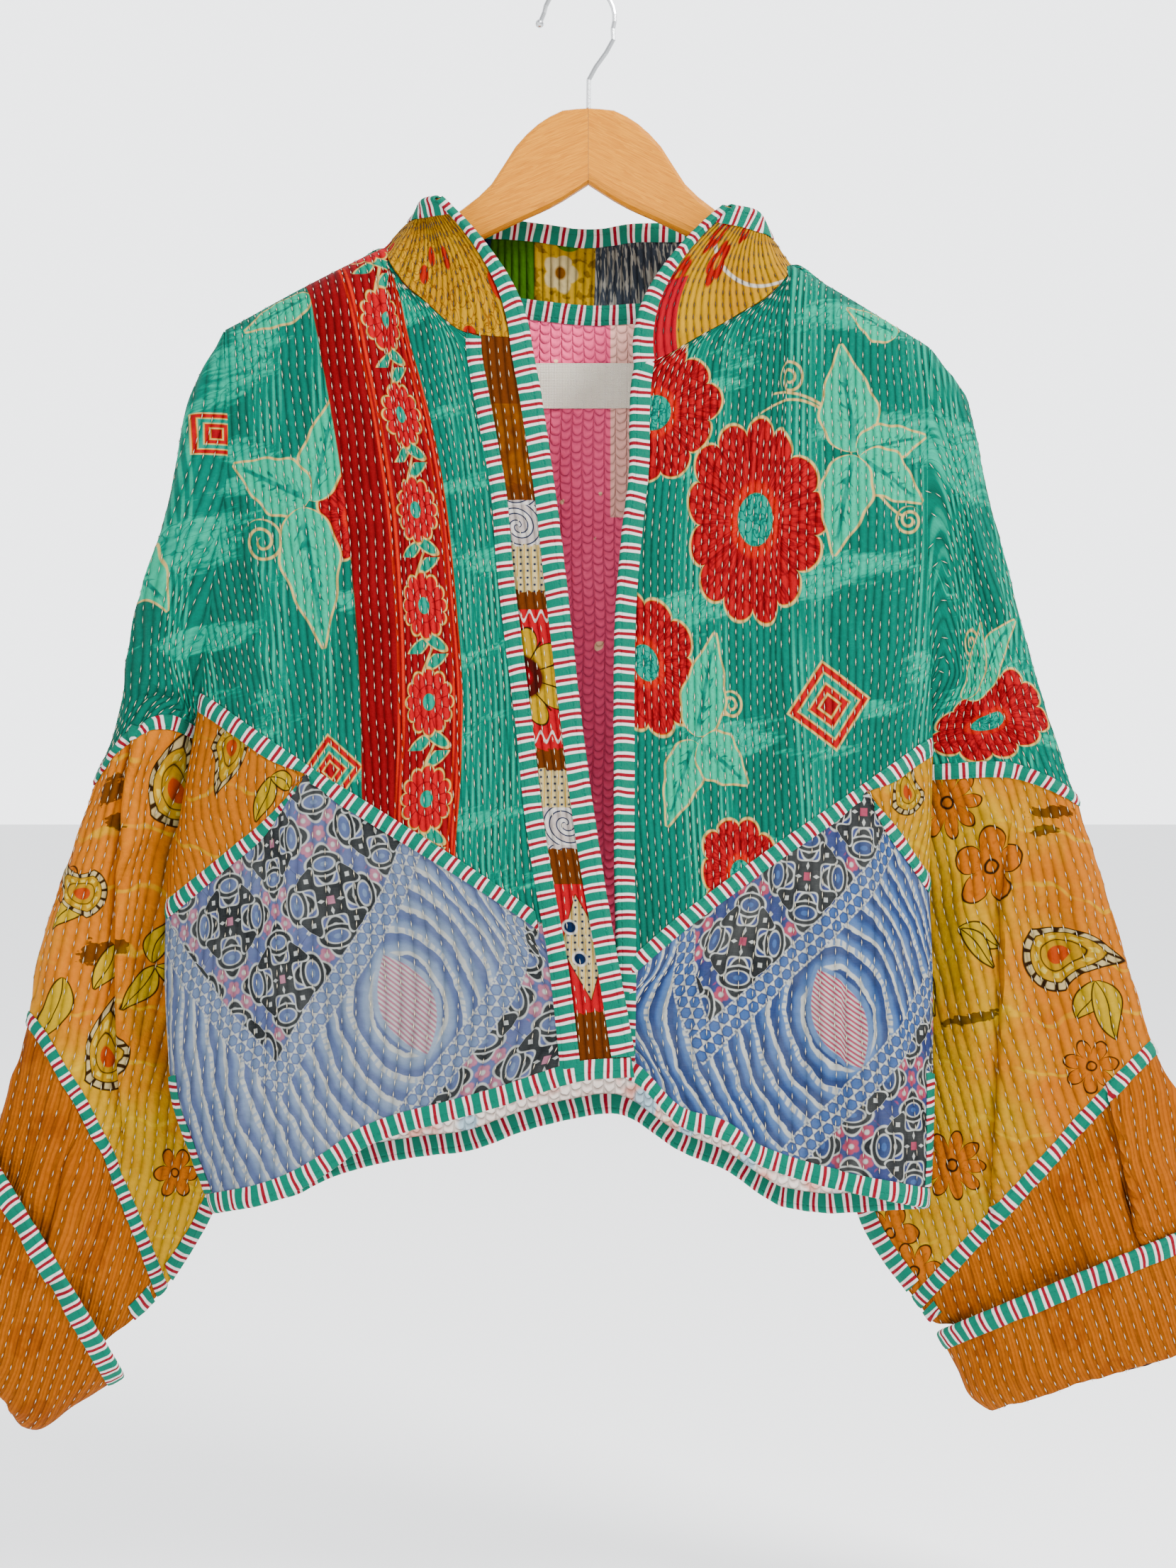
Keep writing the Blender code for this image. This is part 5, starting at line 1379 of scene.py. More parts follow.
# %% Finishes and motifs
class Finish(Drawing):
    """A material's tree, which ends in its shader."""

    def __init__(self, name):
        self.material = bpy.data.materials.new(name)
        self.material.use_nodes = True
        super().__init__(self.material.node_tree)

    def done(self, colour, roughness, height=None, depth=0.0, strength=1.0, more=None):
        """Join the shader's inputs, with a height as bumps of a depth in millimetres."""
        inputs = {"Base Color": colour, "Roughness": roughness, **(more or {})}
        if height is not None:
            inputs["Normal"] = self.node(
                "Bump", None, {"Strength": strength, "Distance": depth * MM, "Height": height})
        shader = self.nodes["Principled BSDF"]
        for key, value in inputs.items():
            self.set(shader.inputs[key], value)
        return self.material


def motif(draw):
    """Keep each drawing of a motif as a node group, so that a print's own tree stays small."""
    def laid(f, ground, u, v, *details):
        tree = bpy.data.node_groups.new(draw.__name__, "ShaderNodeTree")
        for label, kind in (("ground", "Color"), ("u", "Float"), ("v", "Float")):
            tree.interface.new_socket(label, in_out="INPUT", socket_type=f"NodeSocket{kind}")
        tree.interface.new_socket("colour", in_out="OUTPUT", socket_type="NodeSocketColor")
        part = Drawing(tree)
        given = tree.nodes.new("NodeGroupInput").outputs
        drawn = draw(part, *(Value(part, given[k]) for k in range(3)), *details)
        part.set(tree.nodes.new("NodeGroupOutput").inputs[0], drawn)
        return f.node("Group", {"node_tree": tree}, {0: ground, 1: u, 2: v})
    return laid


print("a motif is laid over a ground, at places u and v")

# %% [markdown]
# ## Rows of running stitch
# Kantha cloth is ribbed by its rows of stitch: it is pulled down along each row and swells between them.
# The rows wander a little, as rows sewn by hand do. The same small wander is used by the shader's ribs
# and by the real stitches, so that each stitch lies in its own furrow.

# %% Ribs between the rows
ROW_PITCH = 5.2
ORANGE_PITCH = 6.4
PLAIN_PITCH = 7.0
BLUE_PITCH = 9.0
COTTON_SHINE = {"Specular IOR Level": 0.06}


def wander(u, v, sine):
    """Sideways wander of the rows of stitch."""
    return 0.55 * sine(v * 0.034 + u * 0.021) + 0.35 * sine(v * 0.083 - u * 0.057)


def row_place(u, v, lean, pitch, sine):
    """Number of the row of stitch at a flat place: whole numbers lie on the rows."""
    return (u * math.cos(lean) + v * math.sin(lean) + wander(u, v, sine)) / pitch


def quilted(finish, u, v, lean, colour, pitch=ROW_PITCH, depth=1.0, fade=0.5, rib=0.0, fullness=1.25,
            tone=1.0):
    """Finish a cloth: colour worn in patches, painted shade in furrows and pucker hollows, ribs, puckers and
    weave as bumps.
    """
    row = row_place(u, v, lean, pitch, Value.sin)
    down = v * math.cos(lean) - u * math.sin(lean)
    swell = (row.wrapped(1.0).abs() * 2.0).clamped()
    swell = 1 - (1 - swell) ** 2.2
    odd = (row + 0.5).floor() * 3.7
    beat = finish.noise(row * 4.0, down + odd, 7.0, 1.0)
    pucker = finish.noise(row * 5.2, down, 3.4, 2.0, 5.0)
    weave = (u * 9.5).sin() * (v * 9.5).sin()
    height = swell * (0.62 + 0.5 * beat) + pucker * 0.55 + weave * 0.035 + rib * 0.12
    worn = finish.noise(u, v, 46.0, 3.0, 9.0)
    # Painted shade: the cloth is darker in the furrows between its rows and in the puckers' hollows, where
    # shade falls; worn adds real wear, and tone scales the whole cloth.
    light = 0.28 + 0.19 * swell + 0.16 * worn * fade + 0.2 * (pucker - 0.5)
    colour = finish.shade(finish.fuller(colour, fullness), light * tone)
    return finish.done(colour, 0.86, height, 1.7 * depth, more=COTTON_SHINE)


print("at 100 mm down a row has wandered", round(wander(0, 100, math.sin), 2), "mm")

# %% [markdown]
# ## The green sari print
# The upper fronts and sleeves are cut from one deep green sari print: soft lighter lines, brushed mint
# patches, big red flowers, three-leaf sprigs, nested squares and a red border of small flowers. Each
# motif is a small drawing round its own centre, in distances and angles, and is laid over the ground.
# A pattern that repeats would be shorter to write, but no two motifs that show are the same here.

# %% Flowers and leaves
CREAM = 0xE9CFA0
MINT = 0x4CC49C
DEEP = 0x006B56
RED = 0xC20D1B


def local(u, v, centre, turn=0.0):
    """Distances from a centre, turned by an angle."""
    x, y = u - centre[0], v - centre[1]
    if turn:
        a = math.radians(turn)
        x, y = x * math.cos(a) + y * math.sin(a), y * math.cos(a) - x * math.sin(a)
    return x, y


def far_from(x, y):
    """Distance from the centre."""
    return (x * x + y * y).root()


def angle_of(x, y):
    """Angle round the centre, in radians."""
    return y.maths("ARCTAN2", x)


def beside(u, v, start, end):
    """How far along a line a place is, from 0 to 1, and its distance to the side."""
    run = (end[0] - start[0], end[1] - start[1])
    length = math.hypot(*run)
    x, y = u - start[0], v - start[1]
    t = (x * (run[0] / length) + y * (run[1] / length)) / length
    return t, y * (run[0] / length) - x * (run[1] / length)


@motif
def flower(f, ground, u, v, centre, size, petals=11, turn=0.0, heart=0.25, outline=1.6, dark=0x8A0714):
    """A many-petalled red flower with a cream outline and a teal heart."""
    x, y = local(u, v, centre, turn)
    x, y = x / size[0], y / size[1]
    far, angle = far_from(x, y), angle_of(x, y)
    lobe = (angle * (petals / 2)).cos().abs() ** 0.55
    swing = (angle * 3 + 1.0).sin() * 0.035 + (angle * 5).cos() * 0.025
    edge = 0.80 + 0.15 * lobe + swing
    soft = 0.9 / size[0]
    line = outline / size[0]
    inner = 0.66 + 0.10 * ((angle * (petals * 0.5) + 1.6).cos().abs() ** 0.6) + swing
    vein = f.noise(angle * petals * 0.9, far * 3.2, 1.0, 2.0)
    petal = f.mix(vein.between(0.50, 0.60, 0.08) * far.over(0.34, 0.1), RED, dark)
    crease_line = far.between(inner - line * 0.35, inner + line * 0.35, soft * 0.7)
    petal = f.mix((lobe.under(0.28, 0.12) * far.over(0.42, 0.1)).most(crease_line * 0.8), petal, dark)
    petal = f.mix(far.under(heart + 0.10, 0.05) * vein.over(0.45, 0.2), petal, 0xE1403A)
    curl = f.noise(x * 9, y * 9, 1.0, 1.0, 3.0).between(0.47, 0.53, 0.04)
    petal = f.mix(far.under(heart, soft), petal, f.mix(curl, 0x2FA58C, 0x05685A))
    ground = f.mix(far.under(edge + line, soft), ground, CREAM)
    return f.mix(far.under(edge, soft), ground, petal)


@motif
def leaf(f, ground, u, v, base, tip, half):
    """A mint leaf from its base to its tip, with a cream outline and a dark feathered vein."""
    t, s = beside(u, v, base, tip)
    s = s / half
    rise = t.clamped()
    wide = ((rise ** 0.62) * math.pi).sin() * (1 + 0.06 * (rise * 21).sin())
    inside = t.between(0.0, 1.0, 0.01)
    reach = s.abs() - wide
    soft = 0.8 / half
    fringe = f.noise(t * 7 - s.abs() * 2.2, s * 1.5, 0.5, 1.0)
    vein = (s.abs().under(0.06 + 0.05 * (1 - rise), 0.05) +
            (fringe.over(0.60, 0.06) * s.abs().under(0.62 - 0.5 * rise, 0.1))).clamped()
    body = f.mix((vein * t.between(0.08, 0.86, 0.1)).clamped(), MINT, 0x0A7460)
    body = f.mix(f.noise(u, v, 9.0, 2.0).over(0.52, 0.3) * 0.35, body, 0x8AD9BE)
    ground = f.mix(reach.under(1.5 / half, soft) * inside, ground, CREAM)
    return f.mix(reach.under(0.0, soft) * inside, ground, body)


print("motifs: flower, leaf")

# %% Tendrils, stems and squares
@motif
def curl(f, ground, u, v, centre, size, turn=0.0, hand=1):
    """A cream tendril that rolls up into a spiral."""
    x, y = local(u, v, centre, turn)
    far, angle = far_from(x, y), angle_of(x, y * hand) / (2 * math.pi)
    ring = (far / (size * 0.46) - angle).wrapped(1.0).abs() * (size * 0.46)
    return f.mix(ring.under(0.85, 0.8) * far.between(size * 0.18, size, 0.8), ground, CREAM)


@motif
def stem(f, ground, u, v, start, end, bow, width=0.8):
    """A cream stem from a place to a place, bowed to one side."""
    t, s = beside(u, v, start, end)
    s = s - bow * 4 * t * (1 - t)
    return f.mix(s.abs().under(width, 0.8) * t.between(0, 1, 0.02), ground, CREAM)


@motif
def nested_squares(f, ground, u, v, centre, half, turn):
    """Squares one in another: cream, red, green, red and a red middle."""
    x, y = local(u, v, centre, turn)
    q = x.abs().most(y.abs()) / half
    soft = 0.7 / half
    for edge, colour in ((1.0, CREAM), (0.93, RED), (0.76, CREAM), (0.70, 0x1E9A80), (0.52, CREAM),
                         (0.46, RED), (0.30, CREAM), (0.22, 0xA80F1C)):
        ground = f.mix(q.under(edge, soft), ground, colour)
    return ground


print("motifs: curl, stem, nested squares")

# %% Green ground and red border
@motif
def green_ground(f, ground, u, v, bands):
    """Deep green with groups of soft lighter lines and brushed mint patches."""
    brush = f.noise(u * 0.55 + v * 0.1, v * 1.5 - u * 0.25, 62.0, 2.0, 2.0)
    hairs = f.noise(u * 0.3 + v * 0.15, v * 2.4 - u * 0.6, 7.0, 2.0, 7.0)
    patch = (brush + (hairs - 0.5) * 0.16).over(0.585, 0.05)
    colour = f.mix(f.noise(u * 1.6, v * 0.35, 40.0, 2.0).over(0.5, 0.5), DEEP, 0x00806A)
    group = None
    for centre, half in bands:
        part = (u + v * 0.02 - centre).abs().under(half, 3.0)
        group = part if group is None else group.most(part)
    lines = ((u + v * 0.02) * (2 * math.pi / 4.2)).sin().over(0.15, 1.1)
    glow = f.noise(u * 0.6, v, 45.0, 1.0, 4.0).over(0.42, 0.25)
    colour = f.mix(group * lines * (0.35 + 0.55 * glow), colour, 0x3DB797)
    strokes = f.noise(u * 0.5 + v * 0.35, v * 1.1 - u * 0.9, 9.0, 1.0, 1.0).between(0.485, 0.515, 0.02)
    mint = f.mix(hairs.over(0.5, 0.25), 0x35AE90, 0x5CC6A6)
    colour = f.mix(patch * 0.85, colour, mint)
    return f.mix(strokes * brush.over(0.54, 0.05) * 0.8, colour, 0x057A63)


@motif
def red_border(f, ground, u, v):
    """The red border that runs down the left chest, with its row of small flowers."""
    # Its two edges, low and high, are curves down from the shoulder, and w runs from one to the other
    s = -188 - v
    low = -173.4 + 0.1988 * s - 0.0002415 * s * s
    high = -98.6 + (s - 9) * (0.1777 - 0.000424 * (s - 148))
    width = high - low
    w = (u - low) / width
    x = u - (low + width * 0.66)
    colour = f.mix(f.noise(u, v, 30.0, 2.0).over(0.5, 0.5), 0x82060F, 0x960A16)
    colour = f.mix(w.between(0.335, 0.355, 0.012).most(w.between(0.375, 0.40, 0.012)), colour, 0xE2473D)
    colour = f.mix(w.over(0.41, 0.02), colour, 0x9A0A16)
    outer_lines = w.between(0.905, 0.925, 0.012).most(w.between(0.95, 0.97, 0.012)).most(w.over(0.985, 0.01))
    colour = f.mix(outer_lines, colour, 0xE2473D)
    pitch, first_flower = 58.6, -209.4
    y = (v - first_flower).wrapped(pitch)
    sway = (v * (2 * math.pi / pitch) + 0.8).sin() * 5.5
    colour = f.mix((x - sway).abs().under(1.0, 0.7) * y.abs().over(15, 1.0), colour, CREAM)
    for cx, cy, turn in ((7, 26, 35), (-7, -26, 215), (6, -22, 150)):
        lx, ly = local(x, y, (cx, cy), turn)
        shape = far_from(lx / 9.5, ly / 3.6)
        colour = f.mix(shape.under(1.18, 0.1), colour, CREAM)
        colour = f.mix(shape.under(0.92, 0.1), colour, 0x2E9C80)
    far = (x * x + y * y * 0.76).root()
    lobe = (angle_of(x, y) * 6).cos().abs() ** 0.6
    colour = f.mix(far.under(14.2 + 3.2 * lobe + 1.4, 0.8), colour, CREAM)
    colour = f.mix(far.under(14.2 + 3.2 * lobe, 0.8), colour, 0xD51B27)
    shaded = (lobe.under(0.35, 0.15) * far.between(6.5, 14.0, 0.8)).most(far.between(8.6, 9.3, 0.7))
    colour = f.mix(shaded * 0.85, colour, 0x8C0A17)
    colour = f.mix(far.under(4.6, 0.7), colour, 0x2FA58C)
    return f.mix(w.between(0.0, 1.0, 0.012), ground, colour)


print("grounds: green, red border")

# %% Green cloths
def green_print(name, lean, bands, flowers=(), leaves=(), curls=(), stems=(), squares=(), border=False):
    f = Finish(name)
    u, v = f.flat()
    colour = green_ground(f, DEEP, u, v, bands)
    for start, end, bow in stems:
        colour = stem(f, colour, u, v, start, end, bow)
    for centre, size, turn, hand in curls:
        colour = curl(f, colour, u, v, centre, size, turn, hand)
    for centre, size, petals, turn in flowers:
        colour = flower(f, colour, u, v, centre, size, petals, turn)
    for base, tip, half in leaves:
        colour = leaf(f, colour, u, v, base, tip, half)
    for centre, half, turn in squares:
        colour = nested_squares(f, colour, u, v, centre, half, turn)
    if border:
        colour = red_border(f, colour, u, v)
    return quilted(f, u, v, lean, colour, fullness=1.4)


# Groups of lighter lines on the green cloth, as (middle, half width)
GREEN_BANDS = (
    (-206, 10), (-170, 6), (-52, 22), (40, 9), (64, 5), (128, 12), (212, 14), (262, 12), (-262, 9))
# Where the motifs lie on each green cloth, in millimetres
prints = {
    "green_left": green_print(
        "green_left_front", LEAN["front_left_upper"], GREEN_BANDS,
        flowers=(((-143, -331), (27, 29), 9, 0),),
        leaves=(((-171, -321), (-156, -254), 13), ((-173, -320), (-222, -298), 17),
                ((-178, -325), (-163, -411), 18), ((-172, -192), (-218, -215), 10)),
        curls=(((-203, -346), 14, 20, 1),), stems=(((-180, -330), (-192, -352), 3),),
        squares=(((-157, -485), 16, 52),), border=True),
    "green_right": green_print(
        "green_right_front", LEAN["front_right_upper"], GREEN_BANDS,
        flowers=(((17.6, -268), (49, 44), 10, 10), ((17.6, -421), (36, 48), 10, 30),
                 ((82, -548), (31, 36), 10, 0), ((96, -333), (54, 66), 13, 5)),
        leaves=(((165, -291), (156, -225), 18), ((166, -290), (212, -281), 12),
                ((168, -294), (209, -322), 14), ((164, -293), (152, -355), 15),
                ((54, -465), (68, -402), 15), ((52, -468), (30, -520), 13),
                ((56, -468), (90, -494), 15), ((196, -216), (160, -200), 12)),
        curls=(((122, -246), 11, 90, 1), ((200, -333), 9, 200, -1), ((79, -446), 9, 60, 1)),
        stems=(((163, -290), (106, -256), -14), ((163, -292), (96, -268), -20),
               ((168, -294), (196, -330), -6), ((58, -462), (78, -452), 4)),
        squares=(((149, -446), 20, 55),)),
    "green_sleeve_left": green_print(
        "green_left_sleeve", LEAN["sleeve_left"], GREEN_BANDS,
        squares=(((-235, -278.5), 13, -4), ((-330, -390), 14, 30)),
        leaves=(((-290, -330), (-262, -385), 15), ((-292, -328), (-330, -300), 14)),
        flowers=(((-420, -420), (44, 46), 12, 0),)),
    "green_sleeve_right": green_print(
        "green_right_sleeve", LEAN["sleeve_right"], GREEN_BANDS,
        flowers=(((250, -457), (41, 42), 11, 0), ((400, -420), (44, 46), 12, 0)),
        leaves=(((222, -424), (268, -388), 17), ((222, -426), (236, -380), 11),
                ((330, -330), (300, -380), 14)),
        curls=(((221, -390), 10, 0, -1),), stems=(((224, -426), (222, -402), 5),)),
    "green_back": green_print(
        "green_back", LEAN["back"], GREEN_BANDS,
        flowers=(((-120, -360), (54, 64), 13, 0), ((90, -560), (50, 60), 12, 30),
                 ((140, -260), (44, 50), 11, 0)),
        leaves=(((-40, -480), (-20, -410), 17), ((-42, -484), (-90, -500), 15),
                ((-38, -484), (0, -530), 17), ((60, -330), (20, -360), 14), ((62, -330), (70, -400), 15)),
        squares=(((150, -430), 20, 40), ((-150, -600), 20, 50)),
        curls=(((-20, -330), 11, 0, 1),)),
}
print("green cloths:", ", ".join(prints))

# %% [markdown]
# ## The blue print
# The lower fronts are a worn blue print on coarse cloth. Wobbly ovals stand round a pink striped lens,
# like wood grain round a knot. Chains of small hexagons cut the ovals off on the slant, and beyond the
# chains lies a cobalt lattice with small pink flowers. Distances from two slanting lines place it all,
# because the real print is cut on the slant too. The lattice repeats, and the knot is placed once.

# %% Blue motifs
@motif
def small_flower(f, ground, x, y, radius, petal, heart):
    """A small five-petalled flower."""
    far = far_from(x, y)
    edge = radius * (0.74 + 0.26 * (angle_of(x, y) * 2.5).cos().abs())
    ground = f.mix(far.under(edge, 1.1), ground, petal)
    return f.mix(far.under(radius * 0.3, 1.0), ground, heart)


@motif
def chain(f, ground, x, y, white, blue, dark):
    """A band of small hexagons in two rows, x along it and y across it."""
    colour = white
    for row, shift in ((-3.6, 0.0), (3.6, 3.6)):
        lx, ly = (x + shift).wrapped(7.2), y - row
        hexagon = (lx.abs() * 0.87 + ly.abs() * 0.5).most(ly.abs())
        colour = f.mix(hexagon.under(3.35, 0.7), colour, dark)
        colour = f.mix(hexagon.under(2.6, 0.7), colour, blue)
    cross = (x.wrapped(3.6).abs() - (y.abs() - 7.2).abs() * 0.5).abs()
    return f.mix(cross.under(0.45, 0.5) * y.abs().over(6.4, 0.4) * 0.7, colour, dark)


@motif
def lattice_print(f, ground, x, y, cobalt, char, white, pink, drop):
    """Charcoal crosses with pale outlines, and pink flowers between them."""
    cell = 58.0
    cx, cy = x.wrapped(cell), y.wrapped(cell)
    colour = f.mix(f.noise(x, y, 16.0).over(0.5, 0.4), cobalt[0], cobalt[1])
    gx, gy = (x + cell / 2).wrapped(cell), (y + cell / 2).wrapped(cell)
    near = gx.abs().most(gy.abs()).under(20.5, 1.0)
    flowers = small_flower(f, colour, gx.wrapped(12.4), gy.wrapped(12.4), 5.0, pink, white)
    colour = f.mix(near, colour, flowers)
    ax, ay = cx.abs(), cy.abs()
    long_part, short_part = ax.most(ay), ax.least(ay)
    arm = 4.6 + 3.0 * (long_part * 0.38).sin()
    cross = short_part - arm * long_part.under(23.0, 0.8)
    for side in (-1, 1):
        rx, ry = ax - 15.5, ay - 15.5
        far = (rx * rx * 0.9 + ry * ry * 0.9 + rx * ry * 0.9 * side).root()
        for edge, ink in ((8.8, white), (7.8, char), (5.4, white), (4.6, cobalt[1]), (1.7, drop)):
            colour = f.mix(far.under(edge), colour, ink)
    colour = f.mix(cross.under(1.2, 0.6) * long_part.under(25.5, 0.8), colour, white)
    colour = f.mix(cross.under(0.0, 0.7), colour, char)
    low = ay.under(8.0, 0.5)
    star = (ax - 19.0).abs() * low + ay * 1.1 + (1 - low) * 99
    star = star.least((ay - 19.0).abs() + ax * 1.1)
    colour = f.mix(star.under(3.9, 0.6), colour, char)
    colour = f.mix(star.under(2.0, 0.6), colour, white)
    petals = (ax - ay).abs() + (ax + ay - 9).abs() * 0.5
    colour = f.mix(petals.under(1.7, 0.6), colour, white)
    return f.mix((ax + ay).under(3.4, 0.7), colour, pink)


print("motifs: small flower, chain, lattice")

# %% The blue cloth's layout
CHAIN_WIDTH = 16.0
SECOND_CHAIN = 86.0


def blue_print(name, lean, corner, rise, fall, lens, tones, fullness):
    """The blue print: corner is the lattice's low corner, rise and fall the slants of its two edges."""
    white, light, middle, deep, cobalt, char, pink = tones
    f = Finish(name)
    u, v = f.flat()
    wave_u = u + (f.noise(u, v, 24.0, 2.0) - 0.5) * 9.0
    wave_v = v + (f.noise(u, v, 24.0, 2.0, 8.0) - 0.5) * 9.0
    x, y = wave_u - lens[0], wave_v - lens[1]
    slant = y * 0.14
    far = (((x + slant) * (x + slant)) + y * y * 0.55).root() / 10.8
    number = far.floor()
    part = far - number
    band = f.mix(part.over(0.36, 0.4), light, middle)
    band = f.mix(part.over(0.60, 0.2), band, deep)
    beads = (angle_of(x, y) * (number + 1.0).floor() * 13.0).sin().over(-0.45, 0.5)
    dashed = (number * 0.5 - (number * 0.5).floor()).over(0.25, 0.1)
    line = part.under(0.20 + 0.06 * dashed, 0.06).most(part.over(0.97, 0.04))
    colour = f.mix(line * (1 - dashed * (1 - beads) * 0.85), band, white)
    lx, ly = local(u, v, lens, 26.0)
    pod = lx.abs() / 16.5 + (ly / 33.0) * (ly / 33.0)
    stripe = ((u * 0.62 + v * 0.80) * (2 * math.pi / 2.5)).sin().over(0.0, 1.2)
    colour = f.mix(pod.under(1.22, 0.07) * 0.9, colour, light)
    colour = f.mix(pod.under(1.0, 0.05), colour, f.mix(stripe, white, pink))
    along_rise, p = local(u, v, corner, rise)
    along_fall, q = local(u, v, corner, fall)
    p = p * -1
    lattice_colour = lattice_print(f, white, along_rise + 14, p + 24 + 5 * p.over(SECOND_CHAIN - 2),
                                   (cobalt, deep), char, white, pink, middle)

    def chain_at(length, across, start):
        return chain(f, white, length, across - (start + CHAIN_WIDTH / 2), white, middle, deep)

    colour = f.mix(p.between(0.0, CHAIN_WIDTH) * q.under(CHAIN_WIDTH), colour, chain_at(along_rise, p, 0))
    colour = f.mix(q.between(0.0, CHAIN_WIDTH) * p.under(0.0), colour, chain_at(along_fall, q, 0))
    second_end = SECOND_CHAIN + CHAIN_WIDTH
    colour = f.mix(p.between(SECOND_CHAIN, second_end), colour, chain_at(along_rise, p, SECOND_CHAIN))
    colour = f.mix(p.over(second_end).most(p.under(0.0) * q.under(0.0)), colour, lattice_colour)
    grain = (f.noise(u * 0.4, v * 3.2, 2.2, 3.0).over(0.5, 0.9)
             * f.noise(u * 3.2, v * 0.4, 2.2, 3.0, 6.0).over(0.5, 0.9))
    colour = f.mix(grain * 0.13, colour, white)
    colour = f.mix(f.noise(u, v, 38.0, 3.0, 12.0).over(0.55, 0.3) * 0.08, colour, white)
    return quilted(f, u, v, lean, colour, pitch=BLUE_PITCH, depth=0.3, fade=0.7, fullness=fullness, tone=0.8)


print("a chain is", CHAIN_WIDTH, "mm wide")

# %% Blue cloths
# Each with its white, light, middle, deep, cobalt, charcoal and pink
prints["blue_left"] = blue_print(
    "blue_left_front", LEAN["front_left_lower"], (-198.3, -664.8), 55.0, 140.0, (-113.0, -630.5),
    (0xC9CDC6, 0x86A0C0, 0x587CAE, 0x3A5796, 0x3F4C96, 0x141B21, 0xB85078), 0.8)
prints["blue_right"] = blue_print(
    "blue_right_front", LEAN["front_right_lower"], (74.5, -641.3), 43.0, 116.0, (156.6, -639.3),
    (0xD6D8D0, 0x6288BC, 0x3560A2, 0x1C3A74, 0x27337C, 0x0E141B, 0xB8345A), 1.0)
print("prints so far:", len(prints))

# %% [markdown]
# ## Orange and mustard cloths
# The sleeves' middles and the side triangles are an old orange print that has run to mustard, with
# black-outlined flowers and leaves, toothed paisleys and pale lines left by tying. The sleeves' lower
# parts and cuffs are a plain deep orange with fine woven ribs. Clouds of noise mix the two dyes, since
# an even ramp from one to the other would look sprayed.

# %% Orange motifs
INK = 0x2E1C0A
ORANGE = 0xD07406
MUSTARD = 0xCF9C0C


@motif
def inked_flower(f, ground, u, v, centre, radius, petals, turn, fill):
    """A flower drawn in ink and filled with one colour."""
    x, y = local(u, v, centre, turn)
    x = x + (f.noise(u, v, 8.0, 1.0) - 0.5) * 2.4
    far, angle = far_from(x, y), angle_of(x, y)
    lobe = (angle * (petals / 2)).cos().abs()
    edge = radius * (0.42 + 0.58 * lobe ** 0.62)
    ground = f.mix(far.under(edge + 0.7, 0.7), ground, INK)
    vein = f.noise(angle * petals, far * 0.25, 1.2, 1.0).over(0.6, 0.1)
    body = f.mix(vein * far.between(radius * 0.3, radius * 0.8, 1.0) * 0.5, fill, 0x9A4A08)
    ground = f.mix(far.under(edge - 0.5, 0.7), ground, body)
    return f.mix(far.between(radius * 0.13, radius * 0.2, 0.7), ground, INK)


@motif
def inked_leaf(f, ground, u, v, base, tip, half, fill):
    """A pointed leaf drawn in ink."""
    t, s = beside(u, v, base, tip)
    s = s - 0.25 * half * (t * 5.0).sin()
    wide = ((t.clamped() ** 0.8) * math.pi).sin() * half
    reach = s.abs() - wide
    inside = t.between(0.0, 1.0, 0.02)
    ground = f.mix(reach.under(0.9, 0.6) * inside, ground, INK)
    ground = f.mix(reach.under(-0.1, 0.6) * inside, ground, fill)
    return f.mix(s.abs().under(0.35, 0.4) * inside, ground, INK)


@motif
def paisley(f, ground, u, v, centre, radius, turn, fill):
    """A toothed paisley: a bent drop with a row of teeth, dots and a core."""
    x, y = local(u, v, centre, turn)
    bend = y * y * (0.35 / radius)
    x = x - bend * y.over(0, radius * 0.4)
    y = y * (1 - 0.42 * y.over(0, radius))
    far = far_from(x, y) / radius * (1 + 0.45 * (y.over(0.0, radius * 0.5)) * (x.abs() / radius))
    angle = angle_of(x, y)
    teeth = (angle * 15).sin().over(-0.55, 0.5)
    soft = 0.6 / radius
    ground = f.mix(far.under(1.04, soft), ground, INK)
    ground = f.mix(far.under(0.98, soft), ground, f.mix(teeth, INK, 0xC9B68C))
    ground = f.mix(far.under(0.80, soft), ground, INK)
    ground = f.mix(far.under(0.76, soft), ground, fill)
    dots = (angle * 9).sin().over(0.1, 0.5) * far.between(0.52, 0.66, soft)
    ground = f.mix(dots, ground, 0xD9C078)
    ground = f.mix(far.between(0.44, 0.48, soft), ground, INK)
    return f.mix(far.under(0.26, soft), ground, 0xB5441A)


@motif
def orange_ground(f, ground, u, v, slope):
    """Orange that has run to mustard across a slope, with pale lines left by tying."""
    a, b, c = slope
    cloud = f.noise(u, v, 52.0, 3.0)
    tone = ((u * a + v * b + c) / 60.0 + (cloud - 0.5) * 2.6 + 0.5).clamped()
    colour = f.mix(tone, ORANGE, MUSTARD)
    colour = f.mix(f.noise(u, v, 15.0, 3.0, 4.0).over(0.6, 0.25) * 0.35, colour, 0xB2560A)
    drift = v + (f.noise(u, v, 44.0, 2.0, 7.0) - 0.5) * 46
    pale = (drift * (2 * math.pi / 34.0)).sin().over(0.965, 0.05) * f.noise(u, v, 26.0, 1.0).over(0.45, 0.2)
    tie = f.noise(u * 0.5, v * 0.4, 36.0, 2.0, 15.0).between(0.493, 0.507, 0.012)
    colour = f.mix(pale * 0.55, colour, 0xE3BE62)
    return f.mix(tie * 0.12, colour, 0xDDB070)


print("motifs: inked flower, inked leaf, paisley")

# %% Orange cloths, printed and plain
RIB_PITCH = 2.1


